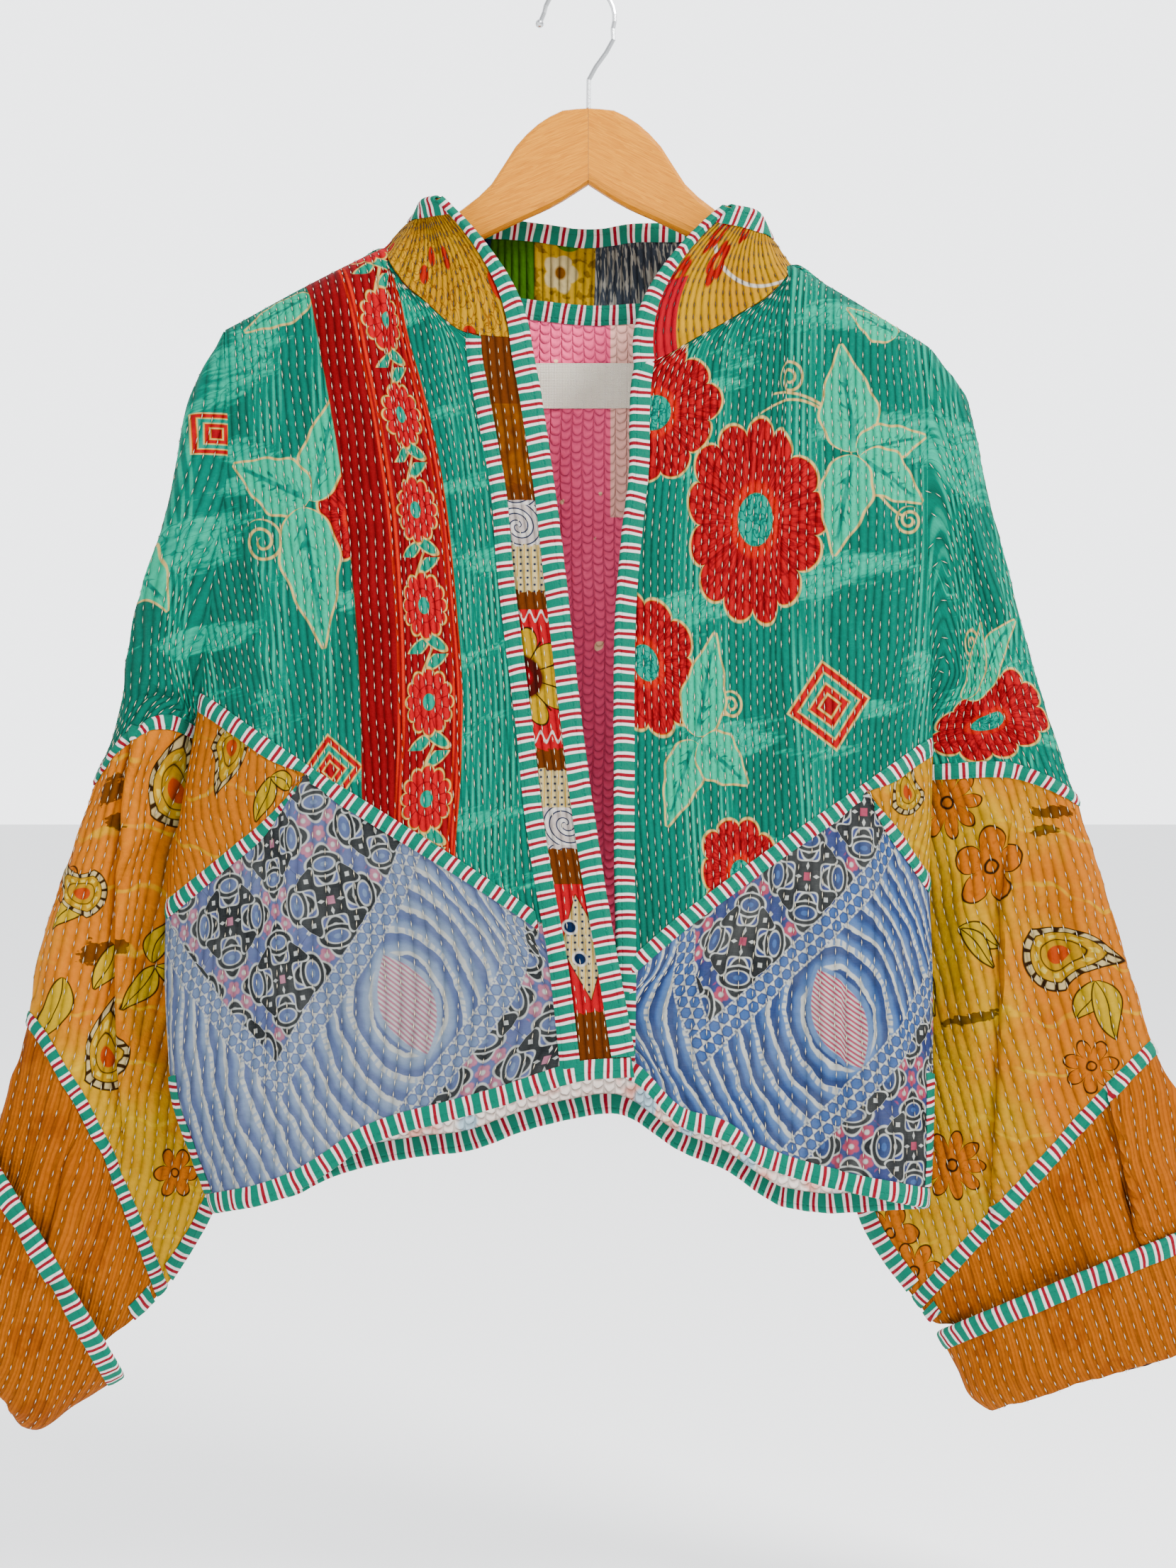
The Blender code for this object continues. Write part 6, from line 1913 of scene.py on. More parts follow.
def orange_print(name, lean, slope, flowers=(), leaves=(), paisleys=(), dark=(), tone=1.0):
    f = Finish(name)
    u, v = f.flat()
    colour = orange_ground(f, ORANGE, u, v, slope)
    for centre, size, turn in dark:
        x, y = local(u, v, centre, turn)
        ragged = (f.noise(u, v, 6.0, 3.0) - 0.5) * 1.9
        ragged = ragged + (f.noise(u * 0.3, v * 2.0, 4.0, 2.0, 3.0) - 0.5) * 1.3
        mark = ((x / size[0]) ** 2 + (y / size[1]) ** 2).root() + ragged
        colour = f.mix(mark.under(0.95, 0.16) * 0.8, colour, 0x2E2019)
    for base, tip, half in leaves:
        colour = inked_leaf(f, colour, u, v, base, tip, half, 0xC4A02A)
    for centre, radius, petals, turn in flowers:
        colour = inked_flower(f, colour, u, v, centre, radius, petals, turn, 0xC4680E)
    for centre, radius, turn in paisleys:
        colour = paisley(f, colour, u, v, centre, radius, turn, 0xB98A1D)
    return quilted(f, u, v, lean, colour, pitch=ORANGE_PITCH, depth=0.9, tone=tone)


def plain_orange(name, lean):
    """Deep orange with fine ribs, a faint leftover print and a few dark stains."""
    f = Finish(name)
    u, v = f.flat()
    across = u * math.cos(lean) + v * math.sin(lean) + (f.noise(u, v, 18.0, 2.0) - 0.5) * 2.5
    rib = (across * (2 * math.pi / RIB_PITCH)).sin()
    colour = f.mix(f.noise(u, v, 60.0, 2.0).over(0.5, 0.6), 0xC26A08, 0xB05A08)
    colour = f.mix(rib.over(0.55, 0.6) * (0.35 + 0.4 * f.noise(u, v, 9.0, 2.0)), colour, 0x8C4206)
    stain = f.cells(u, v, 46.0).under(0.24, 0.05) * f.noise(u, v, 12.0, 2.0, 3.0).over(0.42, 0.1)
    colour = f.mix(stain * 0.4, colour, 0x8A3A06)
    return quilted(f, u, v, lean, colour, pitch=PLAIN_PITCH, depth=0.9, rib=rib, tone=1.08)


print("the plain cloth has a rib every", RIB_PITCH, "mm")

# %% Prints of the orange cloths
# tone=1.22 lightens the left sleeve's print as painted light on the side that the key lamp leaves in shade.
prints["orange_left"] = orange_print(
    "orange_left_sleeve", LEAN["sleeve_left"], (-0.5, -1.0, -812.0),
    flowers=(((-340, -560), 17, 6, 10), ((-420, -640), 20, 5, 0), ((-262, -735), 15, 6, 0)),
    leaves=(((-268, -612), (-290, -640), 7), ((-268, -612), (-246, -628), 6),
            ((-270, -610), (-262, -585), 6), ((-312, -560), (-336, -590), 8),
            ((-300, -600), (-312, -624), 7), ((-330, -615), (-345, -650), 8)),
    paisleys=(((-257, -512), 18, 30), ((-306, -664), 19, 20), ((-318, -570), 14, 80), ((-400, -560), 18, 0)),
    dark=(((-303, -515), (10, 7), 20), ((-297, -532), (8, 5), -10), ((-312, -603), (11, 6), 5),
          ((-290, -600), (6, 5), 0)), tone=1.22)
prints["orange_right"] = orange_print(
    "orange_right_sleeve", LEAN["sleeve_right"], (-1.0, 0.0, 268.0),
    flowers=(((253, -556), 22, 5, 20), ((226, -519), 21, 9, 0), ((231, -729), 21, 9, 40),
             ((191, -772), 18, 5, 0), ((206, -795), 18, 7, 10), ((318, -667), 16, 7, 10),
             ((400, -640), 20, 5, 30)),
    leaves=(((236, -480), (268, -500), 9), ((270, -478), (262, -508), 7), ((236, -590), (262, -600), 6),
            ((238, -590), (258, -612), 5), ((320, -618), (312, -640), 8), ((320, -618), (335, -650), 9),
            ((206, -610), (222, -640), 6), ((360, -560), (380, -600), 9)),
    paisleys=(((299, -604), 20, -60), ((380, -700), 18, 30)),
    dark=(((292, -522), (16, 3.4), 20), ((287, -534), (9, 3.0), 15), ((244, -641), (22, 3.0), 12)),
    tone=1.06)
prints["side_left"] = orange_print(
    "orange_left_side", LEAN["front_left_side"], (0.0, 0.0, -36.0),
    leaves=(((-196, -492), (-206, -520), 6), ((-196, -492), (-180, -498), 5)),
    paisleys=(((-226, -473), 15, 200),))
prints["side_right"] = orange_print(
    "orange_right_side", LEAN["front_right_side"], (0.0, 0.0, 24.0), paisleys=(((198, -502), 13, 20),))
prints["plain_left"] = plain_orange("plain_orange_left", LEAN["sleeve_left"])
prints["plain_right"] = plain_orange("plain_orange_right", LEAN["sleeve_right"])
print("prints so far:", len(prints))

# %% [markdown]
# ## Patched band, collar, linings, tapes
# The placket band is pieced from scraps that follow one another down the chest, so its colours are a
# short table of heights. The collar is mustard outside and dark patches inside. The lining of the back
# is pink, puckered into small crescents between its rows. The tapes are cut across a woven stripe.
# Each scrap could be a cloth of its own. They are sewn down flat, so a change of colour is enough.

# %% Placket band
BROWN, TAN, BONE = 0x6B3410, 0x8F5117, 0xD8C79C
NAVY, SCARLET = 0x1F2B46, 0xC01826
BAND_PITCH = 5.0
# The height where each patch begins, from the top down
BAND_PATCHES = (
    (-190, "brown"), (-262, "tan"), (-312, "brown"), (-322, "scroll"), (-350, "dots"),
    (-378, "brown"), (-389, "scarlet"), (-399, "sun"), (-461, "scarlet"), (-475, "brown"),
    (-487, "dots"), (-510, "scroll"), (-535, "brown"), (-557, "scarlet"), (-563, "diamond"),
    (-627, "scarlet"), (-634, "brown"), (-720, "brown"))


def patched_band():
    f = Finish("patched_band")
    u, v = f.flat()
    x = u - (-28.9 + (-430 - v) * 0.1595)
    rough = (f.noise(u, v, 4.0, 1.0) - 0.5) * 7
    spot_u, spot_v = u.wrapped(4.2), v.wrapped(4.2)
    bone = f.mix(spot_u.abs().over(1.7, 0.3) * 0.5, BONE, 0xC9962E)
    spots = f.mix(far_from(spot_u, spot_v).under(0.8), bone, NAVY)
    curl_v = v.wrapped(26.0)
    rings = (far_from(x, curl_v) / 7.5 - angle_of(x, curl_v) / (2 * math.pi)).wrapped(1.0).abs()
    scroll = f.mix(rings.under(0.16, 0.06), f.mix(rings.under(0.27, 0.05), 0xCFC4BE, NAVY), 0xE8E2DC)
    far, lobe = far_from(x + 13, v + 430), (angle_of(x + 13, v + 430) * 5).cos().abs()
    petal = 19 + 12 * lobe ** 0.7
    sun = f.mix(far.under(petal + 0.7, 0.6), SCARLET, INK)
    sun = f.mix(far.under(petal - 0.5, 0.6), sun, 0xC69A12)
    sun = f.mix(lobe.under(0.12, 0.08) * far.under(26, 1), sun, INK)
    sun = f.mix(far.under(14, 2.5), sun, 0x4A1612)
    sun = f.mix(far.under(7, 2.0), sun, 0x8C1720)
    gem = (x + 1).abs() / 13 + (v + 595).abs() / 31
    diamond = f.mix(gem.under(1.04, 0.05), SCARLET, INK)
    diamond = f.mix(gem.under(1.0, 0.05), diamond, spots)
    for cx, cy in ((-7, -583), (9, -588), (-4, -602), (10, -616)):
        ring = far_from(x - cx, v - cy)
        diamond = f.mix(ring.under(4.6, 0.7), diamond, 0xE4DED6)
        diamond = f.mix(ring.under(3.4, 0.7), diamond, NAVY)
    scallop = v + 3 * (u * 0.9).sin()
    scallops = (scallop + 393).abs().under(1.2).most((scallop + 467).abs().under(1.2))
    scarlet = f.mix(scallops, f.mix(0.3, SCARLET, 0xC8383C), 0xE8D8D0)
    looks = {"brown": BROWN, "tan": f.mix(f.noise(u, v, 14.0, 2.0).over(0.5, 0.3), TAN, BROWN),
             "scroll": scroll, "dots": spots, "scarlet": scarlet, "sun": sun, "diamond": diamond}
    colour = looks["brown"]
    for height, look in BAND_PATCHES:
        ragged = v + rough if look in ("brown", "dots") else v
        colour = f.mix(ragged.under(height, 0.5), colour, looks[look])
    return quilted(f, u, v, LEAN["placket_band"], colour, pitch=BAND_PITCH, depth=0.8)


prints["patches"] = patched_band()
print("patches down the placket:", len(BAND_PATCHES))

# %% Collar
def collar_outside(length):
    """Mustard all round, with brown loops on the left, and a white line and red flowers on the right."""
    f = Finish("collar_outside")
    u, v = f.flat()
    colour = f.mix(f.noise(u, v, 26.0, 2.0).over(0.5, 0.4), 0xCB8C10, 0xD9A21C)
    loops = f.cells(u, v, 7.5, 0.8).between(0.30, 0.36, 0.04)
    fine_loops = f.noise(u, v, 5.0, 1.0).between(0.48, 0.52, 0.02)
    colour = f.mix((loops + fine_loops).clamped() * u.under(length * 0.5, 1) * 0.75, colour, 0x7A3A08)
    spot = f.cells(u + 3, v, 24.0)
    colour = f.mix(spot.under(0.17, 0.03) * u.under(length * 0.5, 1), colour, 0xC0281C)
    right_part = u.over(length * 0.5, 1)
    edge = (u - (length - 62)) * 0.5 + v + 20
    colour = f.mix(right_part * (edge * 0.9).abs().under(0.9, 0.6), colour, 0xE9E2D2)
    for back_from, height, size in ((30, -38, 8.0), (48, -26, 9.0), (16, -24, 7.0), (66, -40, 8.0)):
        place_u = u - (length - back_from)
        colour = small_flower(f, colour, place_u, v - height, size, 0xB8231F, 0xDC8A2A)
    colour = f.mix(right_part * (length - 26 - u).under(0, 0.8) * v.over(-24, 0.8), colour, 0xBF2A36)
    return quilted(f, u, v, LEAN["collar"], colour)


def collar_inside(length):
    """Dark patches side by side: navy, green, yellow with a flower, and streaked charcoal."""
    f = Finish("collar_inside")
    u, v = f.flat()
    streaks = f.noise(u * 2.2, v * 0.32, 4.0, 2.0)
    coal = f.mix(streaks.over(0.54, 0.06), 0x3E444C, 0xA7A49A)
    yellow = f.mix(f.noise(u, v, 8.0, 2.0).over(0.55, 0.05), 0xC79C26, 0x8C6A1C)
    middle = length / 2
    x, y = u - (middle - 18), v + 22
    yellow = small_flower(f, yellow, x / 1.6, y / 1.6, 7.0, 0xD9C79A, 0x7A4A18)
    yellow = f.mix(far_from(u - middle + 14, v + 44).under(7.5, 0.8), yellow, 0x4C7A1E)
    colour = f.mix(f.noise(u, v, 11.0, 2.0).over(0.6, 0.05) * 0.5, 0x1E2C44, 0x3C5A72)
    colour = f.mix((u - middle).between(-66, -34, 0.6), colour, 0x3F6B1A)
    colour = f.mix((u - middle).between(-34, 4, 0.6), colour, yellow)
    colour = f.mix((u - middle).over(4, 0.6) * (u - middle).under(80, 0.6), colour, coal)
    return quilted(f, u, v, LEAN["collar"], colour, depth=1.1)


COLLAR_LENGTH = float(fine["collar"].flat[..., 0].max())
prints["collar_outside"] = collar_outside(COLLAR_LENGTH)
prints["collar_inside"] = collar_inside(COLLAR_LENGTH)
print(f"collar: {COLLAR_LENGTH:.0f} mm round the neck")

# %% Linings
LINING_PITCH, LINING_DEPTH = 7.0, 1.3


def crescents(name, lean, colour_of):
    """A lining that is drawn into small crescents between its rows of stitch."""
    f = Finish(name)
    u, v = f.flat()
    row = row_place(u, v, lean, LINING_PITCH, Value.sin)
    part = row.wrapped(1.0)
    odd = (row + 0.5).floor() * 2.3
    arc = v + odd - part * part * 9.0 + (f.noise(u, v, 7.0, 1.0) - 0.5) * 4.0
    swell = (arc * (math.pi / 5.6)).sin().abs() ** 0.6
    height = swell * (part.abs().under(0.46, 0.12)) + f.noise(u, v, 2.4, 2.0) * 0.3
    stain = f.noise(u, v, 13.0, 1.0, 9.0).over(0.74, 0.02)
    colour = f.mix(stain, colour_of(f, u, v), 0xD9B58E)
    # Painted shade: each lining is lighter on its crescents and darker in the furrows between them, and its
    # factor sits far above the outer cloths' as painted light inside the jacket.
    return f.done(f.shade(colour, 0.94 + 0.42 * swell), 0.88, height, LINING_DEPTH, more=COTTON_SHINE)


def pink(f, u, v):
    colour = f.mix(f.noise(u, v, 50.0, 2.0).over(0.5, 0.5), 0xDE5078, 0xCE456B)
    colour = f.mix(u.over(14, 0.6) * v.over(-330, 0.6), colour, 0xD6A093)
    pale = f.mix(f.noise(u, v, 24.0, 2.0).over(0.52, 0.1), 0xDCCFC4, 0xD2998A)
    pale = f.mix(f.noise(u, v, 30.0, 1.0, 5.0).over(0.6, 0.05), pale, 0x9CB8C4)
    return f.mix(v.under(-600, 1.0), colour, pale)


def cream_and_salmon(f, u, v):
    colour = f.mix(f.noise(u, v, 24.0, 2.0).over(0.52, 0.1), 0xD9CCC0, 0xCF9686)
    return f.mix(f.noise(u, v, 30.0, 1.0, 5.0).over(0.62, 0.05), colour, 0x9CB8C4)


def dark_madder(f, u, v):
    return f.mix(f.noise(u, v, 24.0, 2.0).over(0.5, 0.1), 0x2B1712, 0x33241E)


prints["pink_lining"] = crescents("pink_lining", LEAN["back"], pink)
prints["lining"] = crescents("cream_lining", 0.0, cream_and_salmon)
prints["sleeve_lining"] = crescents("sleeve_lining", 0.1, dark_madder)
print("prints so far:", len(prints))

# %% Striped tape and label
def striped_tape():
    """Bars across the tape: teal, white, a dark red line, white."""
    f = Finish("striped_tape")
    u, v = f.flat()
    skew = u + 0.06 * v + (f.noise(u, v, 22.0, 1.0) - 0.5) * 3.0
    bar = skew.wrapped(10.6).abs()
    white = f.mix(f.noise(u, v, 30.0, 2.0), 0xE6E6E0, 0xCFD2CC)
    colour = f.mix(bar.under(2.55, 0.35), white, 0x0C6B55)
    colour = f.mix(bar.over(4.28, 0.3), colour, 0x86081F)
    thread = (u * (2 * math.pi / 0.55)).sin() * (v * (2 * math.pi / 0.55)).sin()
    grain = f.noise(u * 0.5, v * 3.0, 1.3, 2.0)
    stitch_row = (v.abs() - 3.9).abs().under(0.5, 0.6)
    hold = (u.wrapped(4.0).abs() - 1.4).under(0.0, 0.5)
    height = thread * 0.05 + grain * 0.3 - stitch_row * hold * 0.5 + f.noise(u, v, 4.0, 1.0) * 0.5
    return f.done(f.shade(colour, 0.6 + 0.22 * grain), 0.8, height, 0.8, more={"Specular IOR Level": 0.08})


def label_cloth():
    f = Finish("label_cotton")
    u, v = f.flat()
    thread = (u * (2 * math.pi / 0.8)).sin() + (v * (2 * math.pi / 0.8)).sin()
    colour = f.mix(f.noise(u, v, 12.0, 2.0), 0xF4EEDD, 0xEAE2CC)
    return f.done(f.shade(colour, 0.97 + 0.02 * thread), 0.85, thread, 0.4, 0.6)


striped = striped_tape()
prints["label"] = label_cloth()
print("tape and label:", striped.name, "and", prints["label"].name)

# %% [markdown]
# ## Wood and steel
# The hanger is glued from two boards, so the grain of its halves runs apart from a seam in the middle.
# Long stretched noise draws the grain in the piece's own coordinates, under a clear varnish. A picture
# of wood would have to be unwrapped over the rounded ends, and noise runs through them by itself.

# %% Wood and steel
def varnished_wood(name, slope, side):
    f = Finish(name)
    x, y, z = f.parts(f.body())
    across = z + x * slope
    rings = f.node("CombineXYZ", None, {0: x * 0.012, 1: across * 0.16, 2: y * 0.08 + side})
    grain = f.noise_at(rings, 1.0, 4.0, 0.6)
    fibre_at = f.node("CombineXYZ", None, {0: x * 0.1, 1: across * 2.2, 2: y * 1.2 + side})
    fibre = f.noise_at(fibre_at, 1.0, 3.0)
    ring = grain * 9.0 - (grain * 9.0).floor()
    colour = f.mix(ring.over(0.5, 1.0), 0xDA8C0E, 0xC47606)
    colour = f.mix(fibre.over(0.56, 0.2) * 0.45, colour, 0x93520F)
    return f.done(f.shade(colour, 0.78 + 0.12 * fibre), 0.34 + 0.14 * fibre, fibre, 0.3, 0.5,
                  {"Specular IOR Level": 0.1, "Coat Weight": 0.04, "Coat Roughness": 0.16})


def bright_steel():
    f = Finish("hook_steel")
    draw = f.noise_at(f.body(), 900.0, 2.0)
    return f.done(f.mix(draw, 0xC9CACB, 0xA9ABAD), 0.16 + 0.16 * draw, draw, 0.1, 0.3, {"Metallic": 1.0})


wood_left, wood_right = varnished_wood("wood_left", -0.42, 0.0), varnished_wood("wood_right", 0.5, 4.0)
steel = bright_steel()
print("hanger:", wood_left.name, wood_right.name, steel.name)

# %% [markdown]
# ## Sewing the pieces
# Now every cloth is made from its panel, and every tape from the strip of panel that it covers. Each
# piece takes the place of the solid with the same name, so the cloth is shown and the solid is kept
# for its weight and its touch, hidden. A modifier on the solid could not give it seams of its own.

# %% Cloth pieces
made = {}


def sew(node, panel, materials, slot, closed=False, **trim):
    """Make one piece of cloth that stands for the solid of the same name."""
    panel = drawn_in(panel, **trim)
    outer = panel.points + panel.out * WALL
    piece = grid_mesh(f"{node}_cloth", panel.points, outer, panel.flat, closed, materials)
    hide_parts(node)
    made[node] = (piece, panel, slot)


def bind(host, node, make_tape, strip, **how):
    """Make a tape that stands for the solid of the same name, and keep it with the cloth it is on."""
    piece = make_tape(node, strip, **how)
    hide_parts(node)
    tapes.setdefault(host, []).append(piece)


tapes = {}
inset = {}
for side in ("left", "right"):
    lower = fine[f"front_{side}_lower"]
    inset[side] = np.where(lower.points[:, 0, 2] < SLIT_TOP, SLIT_INSET, HALF_SEAM)
    sew(f"front_{side}_upper", fine[f"front_{side}_upper"], [prints[f"green_{side}"], prints["lining"]],
        "green_print")
    sew(f"front_{side}_side", fine[f"front_{side}_side"], [prints[f"side_{side}"], prints["lining"]],
        "orange_print")
    sew(f"front_{side}_lower", lower, [prints[f"blue_{side}"], prints["lining"]], "blue_print",
        left=inset[side])
sew("placket_band", fine["placket_band"], [prints["patches"], prints["lining"]], "patched_band")
back_fine = fine["back"]
back_inset = [np.where(back_fine.points[:, k, 2] < SLIT_TOP, SLIT_INSET, HALF_SEAM) for k in (0, -1)]
sew("back", back_fine, [prints["green_back"], prints["pink_lining"]], "pink_cotton",
    left=back_inset[0], right=back_inset[1])
sew("collar", fine["collar"], [prints["collar_outside"], prints["collar_inside"]], "collar_print")

SLEEVE_PIECES = (
    ("upper", 0, (TOP_SEAM, 0), "green_sleeve", "green_print"),
    ("middle", (TOP_SEAM, 0), (MIDDLE_SEAM, 0), "orange", "orange_print"),
    ("lower", (MIDDLE_SEAM, 0), (TURN, 0), "plain", "plain_orange"),
    ("cuff", (TURN, 0), (SLEEVE_END, 0), "plain", "plain_orange"))
for side in ("left", "right"):
    tube = fine[f"sleeve_{side}"]
    for piece, first, end, cloth_print, slot in SLEEVE_PIECES:
        rows = [tube.rows[SLEEVE_ROWS.index(key)] if key else 0 for key in (first, end)]
        outside = prints[f"{cloth_print}_{side}"]
        inside = outside if piece == "cuff" else prints["sleeve_lining"]
        sew(f"sleeve_{side}_{piece}", tube.cut(rows), [outside, inside], slot, closed=True,
            left=0, right=0)
print("cloths:", ", ".join(made))

# %% Tapes over seams
for side, corner in (("left", LEFT_CORNER), ("right", RIGHT_CORNER)):
    upper, low = fine[f"front_{side}_upper"], fine[f"front_{side}_lower"]
    triangle = fine[f"front_{side}_side"]
    end = upper.columns[corner]
    below = strips_joined(triangle.cut((0, 2), (0, end)), low.cut((0, 2), (end, -1)), axis=1)
    diagonal = strips_joined(upper.cut((-3, -1)), below)
    bind(f"front_{side}_upper", f"binding_{side}_diagonal", seam_tape, diagonal.cut(columns=(1, -4)))
    small = strips_joined(triangle.cut((-3, -1), (0, end)), low.cut((0, 2), (0, end)))
    bind(f"front_{side}_lower", f"binding_{side}_small", seam_tape, small.cut(columns=(1, -3)))

upper, low, band = fine["front_left_upper"], fine["front_left_lower"], fine["placket_band"]
seam_columns = (upper.columns[-2], -1)
side_panel = strips_joined(upper.cut(columns=seam_columns), low.cut(columns=seam_columns))
placket_strip = strips_joined(side_panel, band.cut(columns=(0, band.columns[1])), axis=1).cut((1, -3))
bind("placket_band", "binding_placket", seam_tape, placket_strip.turned())

for side in ("left", "right"):
    tube = fine[f"sleeve_{side}"]
    for name, station, host in (("top", TOP_SEAM, "upper"), ("middle", MIDDLE_SEAM, "middle")):
        strip = tube.cut([tube.rows[SLEEVE_ROWS.index((station, d))] for d in (-5, 5)])
        bind(f"sleeve_{side}_{host}", f"binding_sleeve_{side}_{name}", seam_tape, strip, closed=True)
    first_columns, last_columns = tube.cut(columns=(0, 3)), tube.cut(columns=(-4, -1))
    last_columns.flat = last_columns.flat - last_columns.flat[:, -1:] + first_columns.flat[:, :1]
    under_strip = strips_joined(last_columns, first_columns, axis=1)
    for name, first, end, host in (
            ("underarm", (UNDERARM_START, 0), (MIDDLE_SEAM, -5), "middle"),
            ("underarm_low", (MIDDLE_SEAM, 5), (UNDERARM_END, 0), "lower")):
        rows = [tube.rows[SLEEVE_ROWS.index(key)] for key in (first, end)]
        strip = under_strip.cut((rows[0] + 1, rows[1] - 1)).turned()
        bind(f"sleeve_{side}_{host}", f"binding_{name}_{side}", seam_tape, strip)

print("tapes over seams:", sum(len(kept) for kept in tapes.values()))

# %% Tapes round edges
END_INSET = 0.6

for side in ("left", "right"):
    tube = fine[f"sleeve_{side}"]
    turned_end = tube.cut((tube.rows[SLEEVE_ROWS.index((SLEEVE_END, -10))], -1))
    bind(f"sleeve_{side}_cuff", f"binding_cuff_{side}", edge_tape, turned_end, closed=True)

hem_rows = int(lower_counts[-1])
for side in ("left", "right"):
    hem = fine[f"front_{side}_lower"].cut((-1 - hem_rows, -1))
    if side == "left":
        hem = strips_joined(hem, band.cut((-1 - hem_rows, -1)), axis=1)
    hem = drawn_in(hem, 0, 0, SLIT_INSET, 0)
    bind(f"front_{side}_lower", f"binding_{side}_hem", edge_tape, hem)
hem = drawn_in(back_fine.cut((-1 - hem_rows, -1)), 0, 0, SLIT_INSET, SLIT_INSET)
bind("back", "binding_back_hem", edge_tape, hem)


def slit_strip(panel, columns, edge_first):
    """The open stretch beside a side slit, from its inner column out to its edge."""
    edge = panel.points[:, 0 if edge_first else -1, 2]
    rows = np.nonzero(edge < SLIT_TOP)[0]
    strip = panel.cut((rows[0], rows[-1] - hem_rows), columns).turned()
    if edge_first:
        strip = strip.each(np.flipud)
    return drawn_in(strip, 0, SLIT_INSET, 0, END_INSET)


for side in ("left", "right"):
    low = fine[f"front_{side}_lower"]
    strip = slit_strip(low, (0, low.columns[1]), True)
    bind(f"front_{side}_lower", f"binding_{side}_slit", edge_tape, strip)
for side, columns in (("left", (0, back_fine.columns[2])), ("right", (back_fine.columns[-3], -1))):
    bind("back", f"binding_back_slit_{side}", edge_tape, slit_strip(back_fine, columns, side == "left"))

ring = fine["collar"]
upper, low = fine["front_right_upper"], fine["front_right_lower"]
fronts = {"left": band.cut((0, -1 - hem_rows), (band.columns[-2], -1)),
          "right": strips_joined(upper.cut(columns=(upper.columns[-2], -1)),
                                 low.cut((0, -1 - hem_rows), (low.columns[-2], -1)))}
for side, body in fronts.items():
    steps = body.points.shape[1] - 1
    if side == "left":
        stand = ring.cut((2, -1), (0, steps)).each(lambda grid: grid[::-1, ::-1])
    else:
        stand = ring.cut((2, -1), (-1 - steps, -1)).each(np.flipud)
    edge = Panel(*(np.concatenate(pair) for pair in (
        (stand.points, body.points), (stand.out, body.out), (stand.flat, body.flat))))
    edge = drawn_in(edge.turned(), 0, 0, 0, END_INSET)
    bind("placket_band" if side == "left" else "front_right_upper",
         f"binding_{side}_front_edge", edge_tape, edge)

bind("collar", "binding_collar_top", edge_tape, ring.cut((-5, -1), (3, -4)))
first = ring.sizes[0] + ring.sizes[1] - 1
neck = [back_fine.columns[corner] for corner in BACK_NECK]
below = back_fine.cut((0, back_fine.rows[2]), neck)
above = ring.cut((0, 2), (first, first + neck[1] - neck[0])).each(np.flipud)
under_collar = strips_joined(above, below).cut(columns=(6, -7))
bind("collar", "binding_neck_inside", seam_tape, under_collar, inside=True)
print("all tapes:", sum(len(kept) for kept in tapes.values()))

# %% The bare label
LABEL_THICKNESS = 0.9
LABEL_LIFT_LEAST, LABEL_CURL = 0.5, 1.2
label_points = np.array([
    [body_at(1, x, z) for x in np.linspace(*LABEL_SIDE, 17)] for z in np.linspace(*LABEL_HEIGHT[::-1], 9)])
label_out = out_directions(label_points)
label_out *= np.sign(label_out[..., 1].sum())
seen = photo_plane(label_points)
lift = LABEL_LIFT_LEAST + LABEL_CURL * field(seen[..., 0] / 16, seen[..., 1] / 12, 91) ** 2
label_points = label_points - label_out * lift[..., None]
label = Panel(label_points, label_out, seen)
piece = grid_mesh("label_cloth", label_points - label_out * LABEL_THICKNESS, label_points, seen, False,
                  [prints["label"]])
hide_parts("label")
made["label"] = (piece, label, "label_cotton")
print("label:", *np.ptp(seen, axis=(0, 1)).round(1), "mm")

# %% [markdown]
# ## Running stitches
# Thousands of small stitches hold the layers together. Lines are laid along the furrows of every cloth,
# each with the direction out of the cloth kept as an attribute. A Geometry Nodes tree steps along the
# lines, drops a stitch at each step, turns it along its line, leaves a few out and varies their sizes.
# Bumps in the material would be lighter, but real stitches catch the light and cast small shadows.

# %% Lines for the stitches
STITCH_LIFT = 0.3
LONGEST_STEP = 9
START_SPREAD = 3
STITCH = {"Step": 7.4 * MM, "Length": 4.2 * MM, "Width": 0.52 * MM, "Left out": 0.14, "Seed": 0}


def stitch_lines(panel, lean, pitch, face, seed, edge=3.0):
    """Lines along the rows of stitch on a panel's outer face, or on its inner one where face is -1."""
    u, v = panel.flat[..., 0], panel.flat[..., 1]
    row = row_place(u, v, lean, pitch, np.sin)
    surface = panel.points + panel.out * (WALL + STITCH_LIFT if face > 0 else -STITCH_LIFT)
    if row[0, -1] < row[0, 0]:
        row, surface, out = row[:, ::-1], surface[:, ::-1], panel.out[:, ::-1]
    else:
        out = panel.out
    tracks = {}
    for i in range(len(row)):
        line = np.maximum.accumulate(row[i] + np.arange(row.shape[1]) * 1e-7)
        numbers = np.arange(math.ceil(line[0] + edge / pitch), math.floor(line[-1] - edge / pitch) + 1)
        if not len(numbers):
            continue
        spots = np.stack([np.interp(numbers, line, surface[i, :, k]) for k in range(3)], -1)
        outs = np.stack([np.interp(numbers, line, out[i, :, k]) for k in range(3)], -1)
        for number, spot, direction in zip(numbers.tolist(), spots, outs):
            tracks.setdefault(number, []).append((i, spot, direction))
    points, outs, edges = [], [], []
    for number, track in tracks.items():
        track = track[abs(int(number) * 7 + seed) % START_SPREAD:]
        for before, after in zip([(None,)] + track, track):
            joined_on = before[0] is not None and after[0] == before[0] + 1
            if joined_on and np.linalg.norm(after[1] - before[1]) < LONGEST_STEP:
                edges.append((len(points) - 1, len(points)))
            points.append(after[1])
            outs.append(after[2])
    return np.array(points), np.array(outs), edges


print("a stitch every", round(STITCH["Step"] / MM, 1), "mm")

